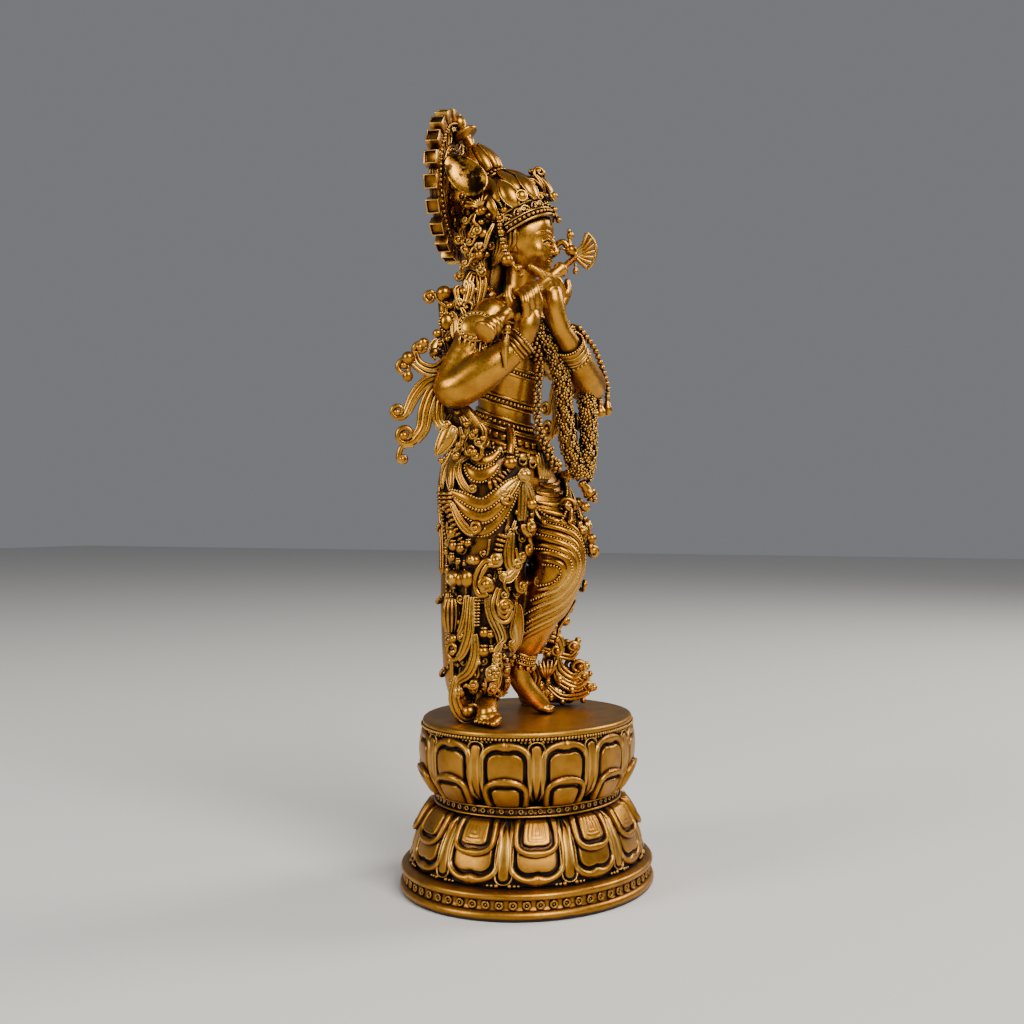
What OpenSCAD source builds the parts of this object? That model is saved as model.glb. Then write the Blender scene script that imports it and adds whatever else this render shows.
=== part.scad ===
// Standing flute player on an oval double-lotus pedestal, assembled from separate castings.
// Millimetres. +Z up, the figure faces -Y, +X is the figure's left side.
// The origin is the centre of the pedestal's flat underside.

/* [Pedestal] */
// Length of the pedestal's foot, from side to side
foot_length = 70.4; // [60:0.5:86]
// Depth of the pedestal's foot, from front to back
foot_depth = 60.8; // [52:0.5:74]
// Height of the top plate above the ground
pedestal_h = 41.2; // [34:0.2:50]
// Height of the plain and beaded plinth
plinth_h = 6.8; // [5:0.2:9]
// Height of the beaded band between the two lotus rows
waist_h = 2.8; // [2:0.1:4]
// Thickness of the top plate
plate_t = 1.8; // [1.2:0.1:3]
// Wall of the hollow castings of the pedestal
pedestal_wall = 2.4; // [1.6:0.1:3.2]
// Number of petals in each lotus row
petal_count = 12; // [8:2:16]
// Number of ring beads round the plinth
plinth_bead_count = 64; // [40:2:80]
// Thickness of the cover under the pedestal
cover_t = 1.5; // [1:0.1:2.5]
// Diameter of the rod that clamps the pedestal together
tie_rod_d = 4; // [3:0.5:6]

/* [Figure] */
// Height from the top plate to the top of the halo
figure_h = 150.6; // [120:0.5:185]
// Diameter of the pins under the feet
foot_pin_d = 2; // [1.5:0.1:3]
// Length of the pins under the feet
foot_pin_l = 1.8; // [1:0.1:3]

/* [Head] */
// Turn of the head to the figure's left, in degrees
head_turn = 11; // [0:1:15]
// Lean of the crown towards the back, in degrees
crown_lean = 30; // [22:1:33]
// Diameter of the crown's brow band
band_d = 18.4; // [16.8:0.2:20]

/* [Halo] */
// Diameter of the halo over its tiles
halo_d = 37.6; // [32:0.2:44]
// Thickness of the halo's plate
halo_t = 1.4; // [1:0.1:2.4]
// Depth of the tiles along the halo's axis
tile_depth = 3.3; // [2.4:0.1:4.4]
// Number of tiles round the rim
tile_count = 20; // [16:1:24]

/* [Flute] */
// Diameter of the flute
flute_d = 3; // [2.4:0.1:3.8]
// Length of the flute up to the bird
flute_l = 41; // [39:0.5:46]

/* [Jewellery] */
// Thickness of bracelets, anklets and armlets
band_t = 0.9; // [0.6:0.1:1.4]
// Width of bracelets, anklets and armlets
band_w = 3; // [2:0.1:4]
// Diameter of the garland's rope of flowers
garland_d = 5.6; // [4.4:0.2:7]

/* [Hidden] */

gold = "goldenrod";
dark_gold = "darkgoldenrod";
steel = "silver";

// Pedestal levels, measured from the ground, and half depths of its oval sections.
oval = foot_length / foot_depth;
foot_r = foot_depth / 2;
plate_z = pedestal_h - plate_t;
waist_z = plinth_h + (plate_z - plinth_h - waist_h) * 0.478;
waist_top = waist_z + waist_h;
waist_r = foot_r - 8.4;
lip_r = foot_r - 7.9;
plate_r = foot_r - 5.3;
petal_out = foot_r - 4.4;
lower_petal_out = foot_r - 1.6;
joint_gap = 0.05;
bead_d = 1.3;
pearl_d = 1.1;
cover_ledge = 1.2;

// The figure is drawn at its design height and scaled as a whole, standing on the top plate.
design_h = 150.6;
figure_scale = figure_h / design_h;
function own(size) = size / figure_scale;   // a size that the figure's height doesn't change

// Body landmarks in the figure's design millimetres, z from the top plate.
right_hip = [-6.5, 8, 57];
right_knee = [-9, 4.5, 33];
right_ankle = [-15, 4, 7.5];
left_hip = [6.5, 7.5, 57];
left_knee = [-2, -10.6, 38.5];
left_ankle = [-3, 1.5, 12];
waist_c = [-1, 6, 75];
neck_c = [-3, 0, 104];
right_shoulder = [-14.5, 3.5, 96.5];
right_elbow = [-24, 10, 77.5];
right_wrist = [-18, -5.8, 89.2];
left_shoulder = [12.5, 0.5, 97];
left_elbow = [14, -10.4, 82];
left_wrist = [-4, -11.2, 92.6];
head_c = [-3, -0.5, 116];
skull_r = 8.1;

flute_right = [-30, -2.5, 90.8];
flute_way = [38, -11.5, 26.2];
flute_r = own(flute_d) / 2;
flute_len = own(flute_l);
band_r = own(band_d) / 2;
halo_r = own(halo_d) / 2;
halo_back = 18.6;
halo_up = 15;
tile_h = 3;
plate_rim = halo_r - tile_h;
garland_r = own(garland_d) / 2;
bangle_t = own(band_t);
bangle_w = own(band_w);

// ---- shared shapes ----

module between(a, b) {
    way = b - a;
    translate(a)
        rotate([0, acos(way.z / norm(way)), atan2(way.y, way.x)])
            children();
}

module rod(a, b, r, r_end) {
    between(a, b)
        cylinder(h = norm(b - a), r1 = r, r2 = r_end, $fn = 48);
}

module ball(p, r, sides = 16) {
    translate(p)
        sphere(r = r, $fn = sides);
}

// A soft tube through points, where each point is [x, y, z, radius].
module chain(stations, sides = 14) {
    for (i = [0 : len(stations) - 2])
        hull() {
            ball([for (k = [0 : 2]) stations[i][k]], stations[i][3], sides);
            ball([for (k = [0 : 2]) stations[i + 1][k]], stations[i + 1][3], sides);
        }
}

module ring(outer, inner, h) {
    difference() {
        cylinder(h = h, r = outer, $fn = 72);
        translate([0, 0, -1])
            cylinder(h = h + 2, r = inner, $fn = 72);
    }
}

// A rolled ribbon end: a short drum with its axis along a direction.
module curl(p, r, w, turn = 0) {
    translate(p)
        rotate([90, 0, turn])
            cylinder(h = w, r = r, center = true, $fn = 20);
}

module on_figure() {
    translate([0, 0, pedestal_h])
        scale(figure_scale)
            children();
}

module on_head() {
    translate(head_c)
        rotate([0, 0, head_turn])
            children();
}

module on_crown() {
    on_head()
        translate([0, 1, 3])
            rotate([-crown_lean, 0, 0])
                children();
}

module on_halo() {
    on_head()
        translate([0, halo_back, halo_up])
            rotate([-90, 0, 0])
                children();
}

// ---- oval pedestal ----

// Equal steps along the oval's edge, as a table of [length, angle].
oval_steps = 180;
function oval_point(angle, r) = [oval * r * cos(angle), r * sin(angle)];
function oval_table() = [
    for (i = 0, run = 0; i <= oval_steps;
         run = run + norm(oval_point((i + 1) * 360 / oval_steps, 1) - oval_point(i * 360 / oval_steps, 1)),
         i = i + 1)
        [run, i * 360 / oval_steps]
];
edge_table = oval_table();
edge_length = edge_table[oval_steps][0];
// The angle at a share of the way round, counted from the front.
function round_oval(share) =
    let (from_front = share + 0.75)
        lookup((from_front - floor(from_front)) * edge_length, edge_table);

// Children drawn with +X outwards are put on the oval of half depth r.
module at_edge(share, r) {
    angle = round_oval(share);
    translate(oval_point(angle, r))
        rotate(atan2(oval * sin(angle), cos(angle)))
            children();
}

module oval_turn() {
    scale([oval, 1, 1])
        rotate_extrude($fn = 360)
            children();
}

module oval_slab(r, h) {
    linear_extrude(height = h)
        polygon([for (i = [0 : 71]) oval_point(i * 5, r)]);
}

module plinth_ring() {
    groove_low = plinth_h * 0.35;
    groove_top = plinth_h * 0.69;
    inner = foot_r - pedestal_wall - 1.6;
    color(gold)
        oval_turn()
            polygon([
                [inner, cover_t], [foot_r - 1.6 - pedestal_wall + cover_ledge, cover_t],
                [foot_r - 1.6 - pedestal_wall + cover_ledge, 0], [foot_r - 1.2, 0],
                [foot_r - 0.4, 0.5], [foot_r, groove_low * 0.6], [foot_r - 0.1, groove_low],
                [foot_r - 0.9, groove_low], [foot_r - 0.9, groove_top], [foot_r - 0.3, groove_top],
                [foot_r - 0.2, groove_top + 0.7], [foot_r - 0.7, plinth_h - 0.5], [foot_r - 1.3, plinth_h],
                [inner, plinth_h]
            ]);
}

module plinth_beads() {
    color(dark_gold)
        for (i = [0 : plinth_bead_count - 1])
            at_edge(i / plinth_bead_count, foot_r - 0.9 + joint_gap)
                translate([0, 0, plinth_h * 0.52])
                    rotate([0, 90, 0])
                        cylinder(h = 0.6, d = bead_d, $fn = 24);
}

module bottom_cover() {
    color(dark_gold)
        difference() {
            oval_slab(foot_r - 1.6 - pedestal_wall + cover_ledge - joint_gap, cover_t);
            translate([0, 0, -1])
                cylinder(h = cover_t + 2, d = tie_rod_d + 0.2, $fn = 48);
        }
}

nut_h = 2.2;
module tie_rod() {
    color(steel)
        translate([0, 0, 0.4])
            cylinder(h = plate_z - 0.4, d = tie_rod_d, $fn = 48);
}

module tie_nut() {
    color(steel)
        translate([0, 0, cover_t + joint_gap])
            difference() {
                cylinder(h = nut_h, d = tie_rod_d * 1.9, $fn = 6);
                translate([0, 0, -1])
                    cylinder(h = nut_h + 2, d = tie_rod_d + 0.1, $fn = 48);
            }
}

// One petal leaning along the casting, from its root to its tip, as [outwards, half width, z].
module petal(stations, thick) {
    hull()
        for (s = stations, side = [-1, 1])
            translate([s[0], side * s[1], s[2]])
                sphere(r = thick, $fn = 8);
}

module lower_lotus() {
    h = waist_z - plinth_h;
    spread = lower_petal_out - waist_r;
    color(gold)
        union() {
            scale([oval, 1, 1])
                rotate_extrude($fn = 48)
                    polygon([
                        [waist_r - 1, waist_z], [waist_r + spread * 0.45, plinth_h + h * 0.55],
                        [lower_petal_out - 1.4, plinth_h + h * 0.12], [lower_petal_out - 1.2, plinth_h],
                        [lower_petal_out - 1.4 - pedestal_wall, plinth_h], [waist_r - 1 - pedestal_wall, waist_z]
                    ]);
            for (i = [0 : petal_count - 1])
                at_edge(i / petal_count, waist_r)
                    petal([
                        [-0.9, 2.6, waist_z - 1.2], [spread * 0.5, 4.9, plinth_h + h * 0.56],
                        [spread - 1.5, 4.6, plinth_h + h * 0.22], [spread - 1.4, 2, plinth_h + 1.1]
                    ], 1);
        }
}

module upper_lotus() {
    h = plate_z - waist_top;
    spread = petal_out - waist_r;
    color(gold)
        union() {
            scale([oval, 1, 1])
                rotate_extrude($fn = 48)
                    polygon([
                        [waist_r - 1, waist_top], [waist_r + spread * 0.55, waist_top + h * 0.4],
                        [petal_out - 1.4, plate_z - 2], [plate_r - 1.4, plate_z],
                        [plate_r - 1.4 - pedestal_wall, plate_z], [waist_r - 1 - pedestal_wall, waist_top]
                    ]);
            for (i = [0 : petal_count - 1])
                at_edge((i + 0.5) / petal_count, waist_r)
                    petal([
                        [-0.9, 2.6, waist_top + 1.2], [spread * 0.6, 4.9, waist_top + h * 0.42],
                        [spread - 0.9, 4.9, waist_top + h * 0.68], [spread - 1.3, 2.4, plate_z - 1.3]
                    ], 1);
        }
}

module waist_band() {
    groove = waist_h * 0.26;
    color(gold)
        oval_turn()
            polygon([
                [waist_r - 1 - pedestal_wall, waist_z], [lip_r, waist_z], [lip_r, waist_z + groove],
                [waist_r - 0.2, waist_z + groove], [waist_r - 0.2, waist_top - groove], [lip_r, waist_top - groove],
                [lip_r, waist_top], [waist_r - 1 - pedestal_wall, waist_top]
            ]);
}

module waist_beads() {
    color(dark_gold)
        for (i = [0 : petal_count * 4 - 1])
            at_edge(i / (petal_count * 4), waist_r - 0.2 + joint_gap)
                translate([0, 0, waist_z + waist_h / 2])
                    rotate([0, 90, 0])
                        cylinder(h = 0.5, d = waist_h * 0.4, $fn = 24);
}

module top_plate() {
    color(gold)
        difference() {
            oval_turn()
                polygon([
                    [0, plate_z], [plate_r - 0.7, plate_z], [plate_r, plate_z + plate_t * 0.4],
                    [plate_r - 0.3, pedestal_h - 0.3], [plate_r - 0.9, pedestal_h], [0, pedestal_h]
                ]);
            foot_pins(0.1);
        }
}

module plate_pearls() {
    pearls = petal_count * 3;
    color(dark_gold)
        for (i = [0 : pearls - 1])
            at_edge((i + 0.5) / pearls, plate_r + pearl_d / 2 + joint_gap)
                translate([0, 0, pedestal_h - plate_t * 0.5])
                    sphere(d = pearl_d, $fn = 20);
}

// ---- body ----

// Pins under the feet, one at each foot's ball, drawn from the ground frame.
module foot_pins(gap) {
    for (toe = [right_foot_pin, left_foot_pin])
        translate([toe.x * figure_scale, toe.y * figure_scale, pedestal_h - foot_pin_l])
            cylinder(h = foot_pin_l, d = foot_pin_d + gap, $fn = 32);
}
right_foot_pin = [-19.5, 1, 0];
left_foot_pin = [0.2, -2.4, 0];

module torso_form() {
    chain([[-5.5, 8, 58, 8.2], [5.5, 7.5, 58, 8.2]], 18);
    hull() {
        ball([-4.5, 7.5, 62], 7.6, 18);
        ball([4, 7.2, 62], 7.6, 18);
        ball(waist_c, 6.3, 18);
    }
    hull() {
        ball(waist_c, 6.3, 18);
        ball([-6.5, 3.2, 90], 6.6, 18);
        ball([3.5, 2.2, 90.5], 6.6, 18);
    }
    hull() {
        ball([-6.5, 3.2, 90], 6.6, 18);
        ball([3.5, 2.2, 90.5], 6.6, 18);
        ball([-12, 3.6, 96], 4.4, 14);
        ball([9.6, 1.6, 96.6], 4.4, 14);
        ball([-2.8, 1.2, 100], 4, 14);
    }
    neck_form(0);
}

module neck_form(extra) {
    chain([[-2.8, 1.2, 99, 3.7 + extra], [neck_c.x, neck_c.y, neck_c.z + 3, 3.3 + extra]], 16);
}

module head_form() {
    on_head() {
        ball([0, 1, 2], skull_r, 28);
        hull() {
            ball([0, -0.6, 1], 7, 22);
            ball([0, -4.6, -5.4], 3.2, 18);
        }
        hull() {
            ball([0, -7.4, 2], 0.7, 10);
            ball([0, -8.9, -2], 1, 10);
        }
        for (side = [-1, 1])
            ball([side * 7.6, 1.4, -1.4], 1.8, 16);
    }
}

module right_leg_form() {
    chain([
        [right_hip.x, right_hip.y, right_hip.z - 6, 6.6], [right_knee.x, right_knee.y, right_knee.z, 5],
        [right_knee.x - 1.6, right_knee.y + 1, right_knee.z - 9, 4.6],
        [right_ankle.x, right_ankle.y, right_ankle.z, 2.7]
    ]);
    chain([
        [right_ankle.x, right_ankle.y, right_ankle.z, 2.7], [right_ankle.x + 1.2, right_ankle.y + 2, 2.5, 2.5]
    ]);
    hull() {
        ball([right_ankle.x, right_ankle.y, 4.5], 2.6, 14);
        ball([-20.4, 1.2, 1.8], 1.8, 12);
        ball([-18.8, -0.8, 1.8], 1.8, 12);
        ball([right_ankle.x + 1.2, right_ankle.y + 1.6, 2.2], 2.2, 12);
    }
    for (i = [0 : 4])
        chain([[-20.6 + i * 0.7, 1.6 - i * 0.75, 1.4, 0.95], [-23 + i * 0.75, 0.2 - i * 0.8, 1, 0.85]], 8);
}

module left_leg_form() {
    chain([
        [left_hip.x, left_hip.y, left_hip.z - 5, 6.6], [left_knee.x, left_knee.y, left_knee.z, 5.2],
        [left_knee.x + 0.2, left_knee.y + 5, left_knee.z - 9, 4.5],
        [left_ankle.x, left_ankle.y, left_ankle.z, 2.6]
    ]);
    hull() {
        ball([left_ankle.x, left_ankle.y, left_ankle.z], 2.6, 14);
        ball([left_ankle.x - 0.8, left_ankle.y + 1.6, 7.6], 2.3, 12);
        ball([-0.6, -1.2, 1.8], 1.8, 12);
        ball([1, -2.9, 1.8], 1.7, 12);
    }
    for (i = [0 : 4])
        chain([[-0.6 + i * 0.75, -2.1 - i * 0.1, 1.4, 0.95], [0.4 + i * 0.8, -4.6 + i * 0.3, 1, 0.85]], 8);
}

module right_arm_form() {
    chain([
        [right_shoulder.x, right_shoulder.y, right_shoulder.z, 4.3], [-19.5, 7, 87, 3.9],
        [right_elbow.x, right_elbow.y, right_elbow.z, 3.8]
    ]);
    chain([
        [right_elbow.x, right_elbow.y, right_elbow.z, 3.8], [-22.3, 4.6, 81, 4],
        [right_wrist.x, right_wrist.y, right_wrist.z, 2.5]
    ]);
}

module left_arm_form() {
    chain([
        [left_shoulder.x, left_shoulder.y, left_shoulder.z, 4.3], [13.6, -4.5, 90, 3.9],
        [left_elbow.x, left_elbow.y, left_elbow.z, 3.8]
    ]);
    chain([
        [left_elbow.x, left_elbow.y, left_elbow.z, 3.8], [8.4, -10.9, 85.4, 3.9],
        [left_wrist.x, left_wrist.y, left_wrist.z, 2.5]
    ]);
}

module flute_form(extra = 0) {
    between(flute_right, flute_right + flute_way)
        cylinder(h = flute_len, r = flute_r + extra, $fn = 48);
}

// A thigh as the neighbouring castings are cut for it, with a small clearance.
clearance = 0.05;
module left_thigh_cutter() {
    chain([
        [left_hip.x, left_hip.y, left_hip.z - 5, 6.6 + clearance],
        [left_knee.x, left_knee.y, left_knee.z, 5.2 + clearance]
    ]);
}

module right_thigh_cutter() {
    chain([
        [right_hip.x, right_hip.y, right_hip.z - 6, 6.6 + clearance],
        [right_knee.x, right_knee.y, right_knee.z, 5 + clearance]
    ]);
}

// Everything under the top plate's surface.
module below_plate() {
    translate([0, 0, -20])
        cube([120, 120, 40], center = true);
}

module foot_pin(spot) {
    translate([spot.x * figure_scale, spot.y * figure_scale, pedestal_h - foot_pin_l])
        cylinder(h = foot_pin_l + 1, d = foot_pin_d, $fn = 32);
}

module torso() {
    color(gold)
        on_figure()
            difference() {
                torso_form();
                head_form();
                ball(right_shoulder, 4.35, 20);
                ball(left_shoulder, 4.35, 20);
                left_thigh_cutter();
                right_thigh_cutter();
            }
}

module right_leg() {
    color(gold)
        union() {
            on_figure()
                difference() {
                    right_leg_form();
                    left_thigh_cutter();
                    below_plate();
                }
            foot_pin(right_foot_pin);
        }
}

module left_leg() {
    color(gold)
        union() {
            on_figure()
                difference() {
                    left_leg_form();
                    below_plate();
                }
            foot_pin(left_foot_pin);
        }
}

module right_arm() {
    color(gold)
        on_figure()
            difference() {
                right_arm_form();
                ball(right_wrist + [1.4, -2.2, 2.2], 2.9, 20);
                torso_cutter();
            }
}

module left_arm() {
    color(gold)
        on_figure()
            difference() {
                left_arm_form();
                ball(left_wrist + [-2.6, 0.6, 2], 2.9, 20);
                torso_cutter();
            }
}

// The chest wall beside the arms, outside the shoulder sockets.
module torso_cutter() {
    difference() {
        hull() {
            ball([-6.5, 3.2, 90], 6.65, 18);
            ball([3.5, 2.2, 90.5], 6.65, 18);
            ball([-12, 3.6, 96], 4.45, 14);
            ball([9.6, 1.6, 96.6], 4.45, 14);
        }
        ball(right_shoulder, 4.36, 20);
        ball(left_shoulder, 4.36, 20);
    }
}

module right_hand() {
    palm = right_wrist + [1.2, -1.6, 3.4];
    color(gold)
        on_figure()
            difference() {
                union() {
                    chain([
                        [right_wrist.x + 0.3, right_wrist.y - 0.5, right_wrist.z + 0.9, 2.4],
                        [palm.x, palm.y, palm.z, 2.5], [palm.x - 1, palm.y + 0.4, palm.z + 2.6, 2.1]
                    ], 14);
                    for (i = [0 : 3])
                        chain([
                            [palm.x - 2.8 + i * 1.5, palm.y + 1.4 - i * 0.6, palm.z + 2 + i * 0.7, 0.95],
                            [palm.x - 3.2 + i * 1.6, palm.y - 0.4 - i * 0.7, palm.z + 6.6 + i * 0.8, 0.85],
                            [palm.x - 2.6 + i * 1.5, palm.y - 2.6 - i * 0.5, palm.z + 7.2 + i * 0.8, 0.75]
                        ], 8);
                    chain([
                        [palm.x + 1.4, palm.y - 1.4, palm.z + 0.6, 1.1],
                        [palm.x + 2.6, palm.y - 3, palm.z + 3.4, 0.9]
                    ], 8);
                }
                flute_form(0.02);
            }
}

module left_hand() {
    palm = left_wrist + [-3, 2, 4.6];
    color(gold)
        on_figure()
            difference() {
                union() {
                    chain([
                        [left_wrist.x - 0.6, left_wrist.y + 0.3, left_wrist.z + 0.9, 2.4],
                        [palm.x, palm.y, palm.z, 2.4], [palm.x - 0.6, palm.y + 0.6, palm.z + 3, 2]
                    ], 14);
                    for (i = [0 : 3])
                        chain([
                            [palm.x - 2.4 + i * 1.2, palm.y + 0.8 - i * 0.3, palm.z + 3, 0.95],
                            [palm.x - 3.2 + i * 1.4, palm.y + 2.2 - i * 0.4, palm.z + 6.6, 0.85],
                            [palm.x - 4 + i * 1.4, palm.y + 3.4 - i * 0.5, palm.z + 9.2, 0.7]
                        ], 8);
                }
                flute_form(0.02);
                head_form();
            }
}

module head() {
    color(gold)
        on_figure()
            difference() {
                head_form();
                on_crown()
                    cylinder(h = 20, r = band_r + 0.05, $fn = 64);
                neck_form(0.05);
            }
}

module hair() {
    color(dark_gold)
        on_figure()
            difference() {
                union() {
                    chain([
                        [-4.2, 8, 117, 6.2], [-4.8, 10, 108, 6], [-4.4, 10.6, 99, 5.6], [-3.6, 11, 90, 4.6],
                        [-3, 11.4, 82, 3]
                    ], 14);
                    chain([[-10, 5.5, 112, 2], [-12.4, 7, 104, 2.4], [-13, 9.4, 100.5, 2.2]], 10);
                    chain([[-1, 9, 112, 2.6], [6.4, 7, 106, 2.4], [9, 6.6, 102, 2.2]], 10);
                }
                head_form();
                torso_form();
                on_crown()
                    translate([0, 0, -1])
                        cylinder(h = 30, r = band_r + 0.8, $fn = 48);
                halo_stem_form(0.05);
                on_halo()
                    translate([0, 0, -0.1])
                        cylinder(h = 20, r = halo_r, $fn = 48);
            }
}

// ---- crown ----

cap_low = 2.8;
cap_high = 14.6;
bulb_low = 16;
bulb_high = 24.2;

module crown_band() {
    color(dark_gold)
        on_figure()
            on_crown()
                difference() {
                    cylinder(h = cap_low, r = band_r + 0.7, $fn = 72);
                    translate([0, 0, -1])
                        cylinder(h = cap_low + 0.4, r = band_r, $fn = 72);
                }
}

// A lobed dome: a round body with lobes round it.
module lobed(low, high, r_low, r_high, lobes, lobe_r) {
    rise = high - low;
    translate([0, 0, low])
        union() {
            rotate_extrude($fn = 60)
                polygon([
                    [0, 0], [r_low, 0], [r_low + 0.7, rise * 0.25], [r_low + 0.3, rise * 0.55],
                    [(r_low + r_high) / 2, rise * 0.82], [r_high, rise], [0, rise]
                ]);
            for (i = [0 : lobes - 1])
                rotate(i * 360 / lobes)
                    translate([r_low - lobe_r * 0.5, 0, rise * 0.38])
                        sphere(r = lobe_r, $fn = 24);
        }
}

module cap_form() {
    lobed(cap_low, cap_high, band_r - 0.6, band_r - 3.4, 10, 2.5);
}

module crown_cap() {
    color(gold)
        on_figure()
            on_crown()
                cap_form();
}

module crown_bulb() {
    color(gold)
        on_figure()
            on_crown()
                union() {
                    translate([0, 0, cap_high])
                        cylinder(h = bulb_low - cap_high, r = band_r - 3.2, $fn = 60);
                    lobed(bulb_low, bulb_high, band_r - 4.2, band_r - 6.4, 8, 1.8);
                }
}

module crown_finial() {
    color(gold)
        on_figure()
            on_crown()
                translate([0, 0, bulb_high])
                    rotate_extrude($fn = 60)
                        polygon([
                            [0, 0], [2.4, 0], [2, 1], [1.2, 1.8], [1.2, 3.6], [3.2, 4.2], [3.4, 4.8], [3, 5.4],
                            [1.2, 5.8], [1.2, 6.2], [1.8, 7], [2, 8], [1.6, 9.2], [0.8, 9.9], [0, 10.1]
                        ]);
}

module crown_crest() {
    color(dark_gold)
        on_figure()
            on_crown()
                difference() {
                    union() {
                        for (i = [0 : 5])
                            ball([0, -band_r - 1.2 + i * 0.1, 1 + i * 2.2], 2.3 - i * 0.15, 24);
                        for (side = [-1, 1], i = [0 : 2])
                            ball([side * 2.2, -band_r - 0.6, 2.4 + i * 2.6], 1.6, 24);
                    }
                    cylinder(h = cap_low, r = band_r + 0.72, $fn = 72);
                    translate([0, 0, -4])
                        cylinder(h = 4.1, r = band_r + 0.72, $fn = 72);
                    cap_form();
                }
}

module crown_side_discs() {
    color(gold)
        on_figure()
            difference() {
                on_head()
                    for (side = [-1, 1])
                        translate([side * 11.2, 12.2, 14.8])
                            rotate([0, side * 90, 0])
                                union() {
                                    cylinder(h = 1.1, r = 4.6, $fn = 48);
                                    translate([1.9, -2.4, 0])
                                        cylinder(h = 1.1, r = 3.6, $fn = 48);
                                    translate([0, 0, -6])
                                        cylinder(h = 6.5, r = 1.2, $fn = 32);
                                }
                on_crown()
                    cap_form();
            }
}

module ear_pendants() {
    color(dark_gold)
        on_figure()
            on_head()
                for (side = [-1, 1])
                    translate([side * 10.65, 2.4, -8.4])
                        union() {
                            cylinder(h = 10, r = 0.6, $fn = 24);
                            for (i = [0 : 4])
                                translate([0, 0, i * 2.2])
                                    sphere(r = i == 1 ? 1.6 : 1.2, $fn = 24);
                        }
}

// ---- halo ----

module halo_plate() {
    color(gold)
        on_figure()
            on_halo()
                difference() {
                    union() {
                        cylinder(h = own(halo_t), r = plate_rim, $fn = 96);
                        ring(plate_rim, plate_rim - 1.4, own(tile_depth));
                        translate([0, 0, -0.5])
                            ring(plate_rim * 0.62, plate_rim * 0.56, 1);
                    }
                    halo_socket();
                }
}

// The round hole in the halo that its stem plugs into.
stem_r = 1.6;
module halo_socket() {
    translate([0, -2, -1])
        cylinder(h = 8, r = stem_r + 0.02, $fn = 48);
}

module halo_stem_form(extra = 0) {
    on_halo()
        translate([0, -2, -9])
            cylinder(h = 9 + own(halo_t), r = stem_r + extra, $fn = 48);
}

module halo_stem() {
    color(dark_gold)
        on_figure()
            difference() {
                halo_stem_form();
                on_crown()
                    cylinder(h = bulb_low, r = band_r - 2.2, $fn = 60);
                on_crown()
                    cylinder(h = cap_high, r = band_r + 0.3, $fn = 60);
            }
}

module halo_tiles() {
    pitch = 2 * PI * halo_r / tile_count;
    color(gold)
        on_figure()
            on_halo()
                for (i = [0 : tile_count - 1])
                    rotate((i + 0.5) * 360 / tile_count)
                        translate([plate_rim + joint_gap, -pitch * 0.36, 0])
                            cube([tile_h, pitch * 0.72, own(tile_depth)]);
}

module halo_beads() {
    beads = 60;
    color(dark_gold)
        on_figure()
            on_halo()
                for (i = [0 : beads - 1])
                    rotate(i * 360 / beads)
                        translate([plate_rim - 0.9, 0, -0.45])
                            sphere(r = 0.44, $fn = 16);
}

// ---- flute ----

module on_flute(along) {
    between(flute_right, flute_right + flute_way)
        translate([0, 0, along])
            children();
}

module flute() {
    color(gold)
        on_figure()
            on_flute(0)
                rotate_extrude($fn = 60)
                    polygon([
                        [0, 0], [flute_r + 0.9, 0], [flute_r + 0.9, 0.8], [flute_r + 0.2, 1.2], [flute_r + 0.2, 1.8],
                        [flute_r + 0.7, 2], [flute_r + 0.7, 2.6], [flute_r, 2.9], [flute_r, 4.6], [flute_r + 0.5, 4.8],
                        [flute_r + 0.5, 5.4], [flute_r, 5.6], [flute_r, flute_len], [0, flute_len]
                    ]);
}

module flute_bird() {
    color(gold)
        on_figure()
            on_flute(flute_len + joint_gap)
                union() {
                    cylinder(h = 2, r = flute_r, $fn = 40);
                    translate([0, 0, 2.4])
                        sphere(r = 2.2, $fn = 28);
                    rotate([0, -50, 0])
                        translate([2.2, -0.8, 3.4])
                            cube([3.4, 1.6, 5.6]);
                }
}

module flute_tassel() {
    top = flute_right + flute_way * (4.2 / norm(flute_way));
    color(dark_gold)
        on_figure()
            translate([top.x, top.y, top.z - flute_r - 0.9])
                translate([0, 0, -11])
                    rotate_extrude($fn = 36)
                        polygon([[0, 0], [0.8, 0.6], [1.3, 3], [1, 6], [0.7, 8], [1, 8.8], [0.7, 9.6], [0.5, 11], [0, 11]]);
}

// ---- jewellery ----

module bangle(centre, way, r) {
    between(centre - way / norm(way) * bangle_w / 2, centre + way)
        ring(r + bangle_t, r, bangle_w);
}

module right_bracelet() {
    color(dark_gold)
        on_figure()
            bangle(right_wrist + [-0.4, 1.4, -1.1], right_wrist - [-22.3, 4.6, 81], 2.75);
}

module left_bracelet() {
    color(dark_gold)
        on_figure()
            bangle(left_wrist + [1.8, 0, -1], left_wrist - [8.4, -10.9, 85.4], 2.75);
}

module right_armlet() {
    color(dark_gold)
        on_figure()
            bangle([-17.6, 5.5, 90.8], [-5, 3.5, -9.5], 4.1);
}

module left_armlet() {
    color(dark_gold)
        on_figure()
            bangle([13.1, -2.4, 92.9], [1.1, -5, -7], 4.1);
}

module right_anklet() {
    color(dark_gold)
        on_figure()
            bangle(right_ankle + [0.7, 0.1, 1.6], [5, 0.6, 18], 3.1);
}

module left_anklet() {
    color(dark_gold)
        on_figure()
            bangle(left_ankle + [0, -0.6, 1.4], [0.6, -3, 12], 3.05);
}

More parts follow.
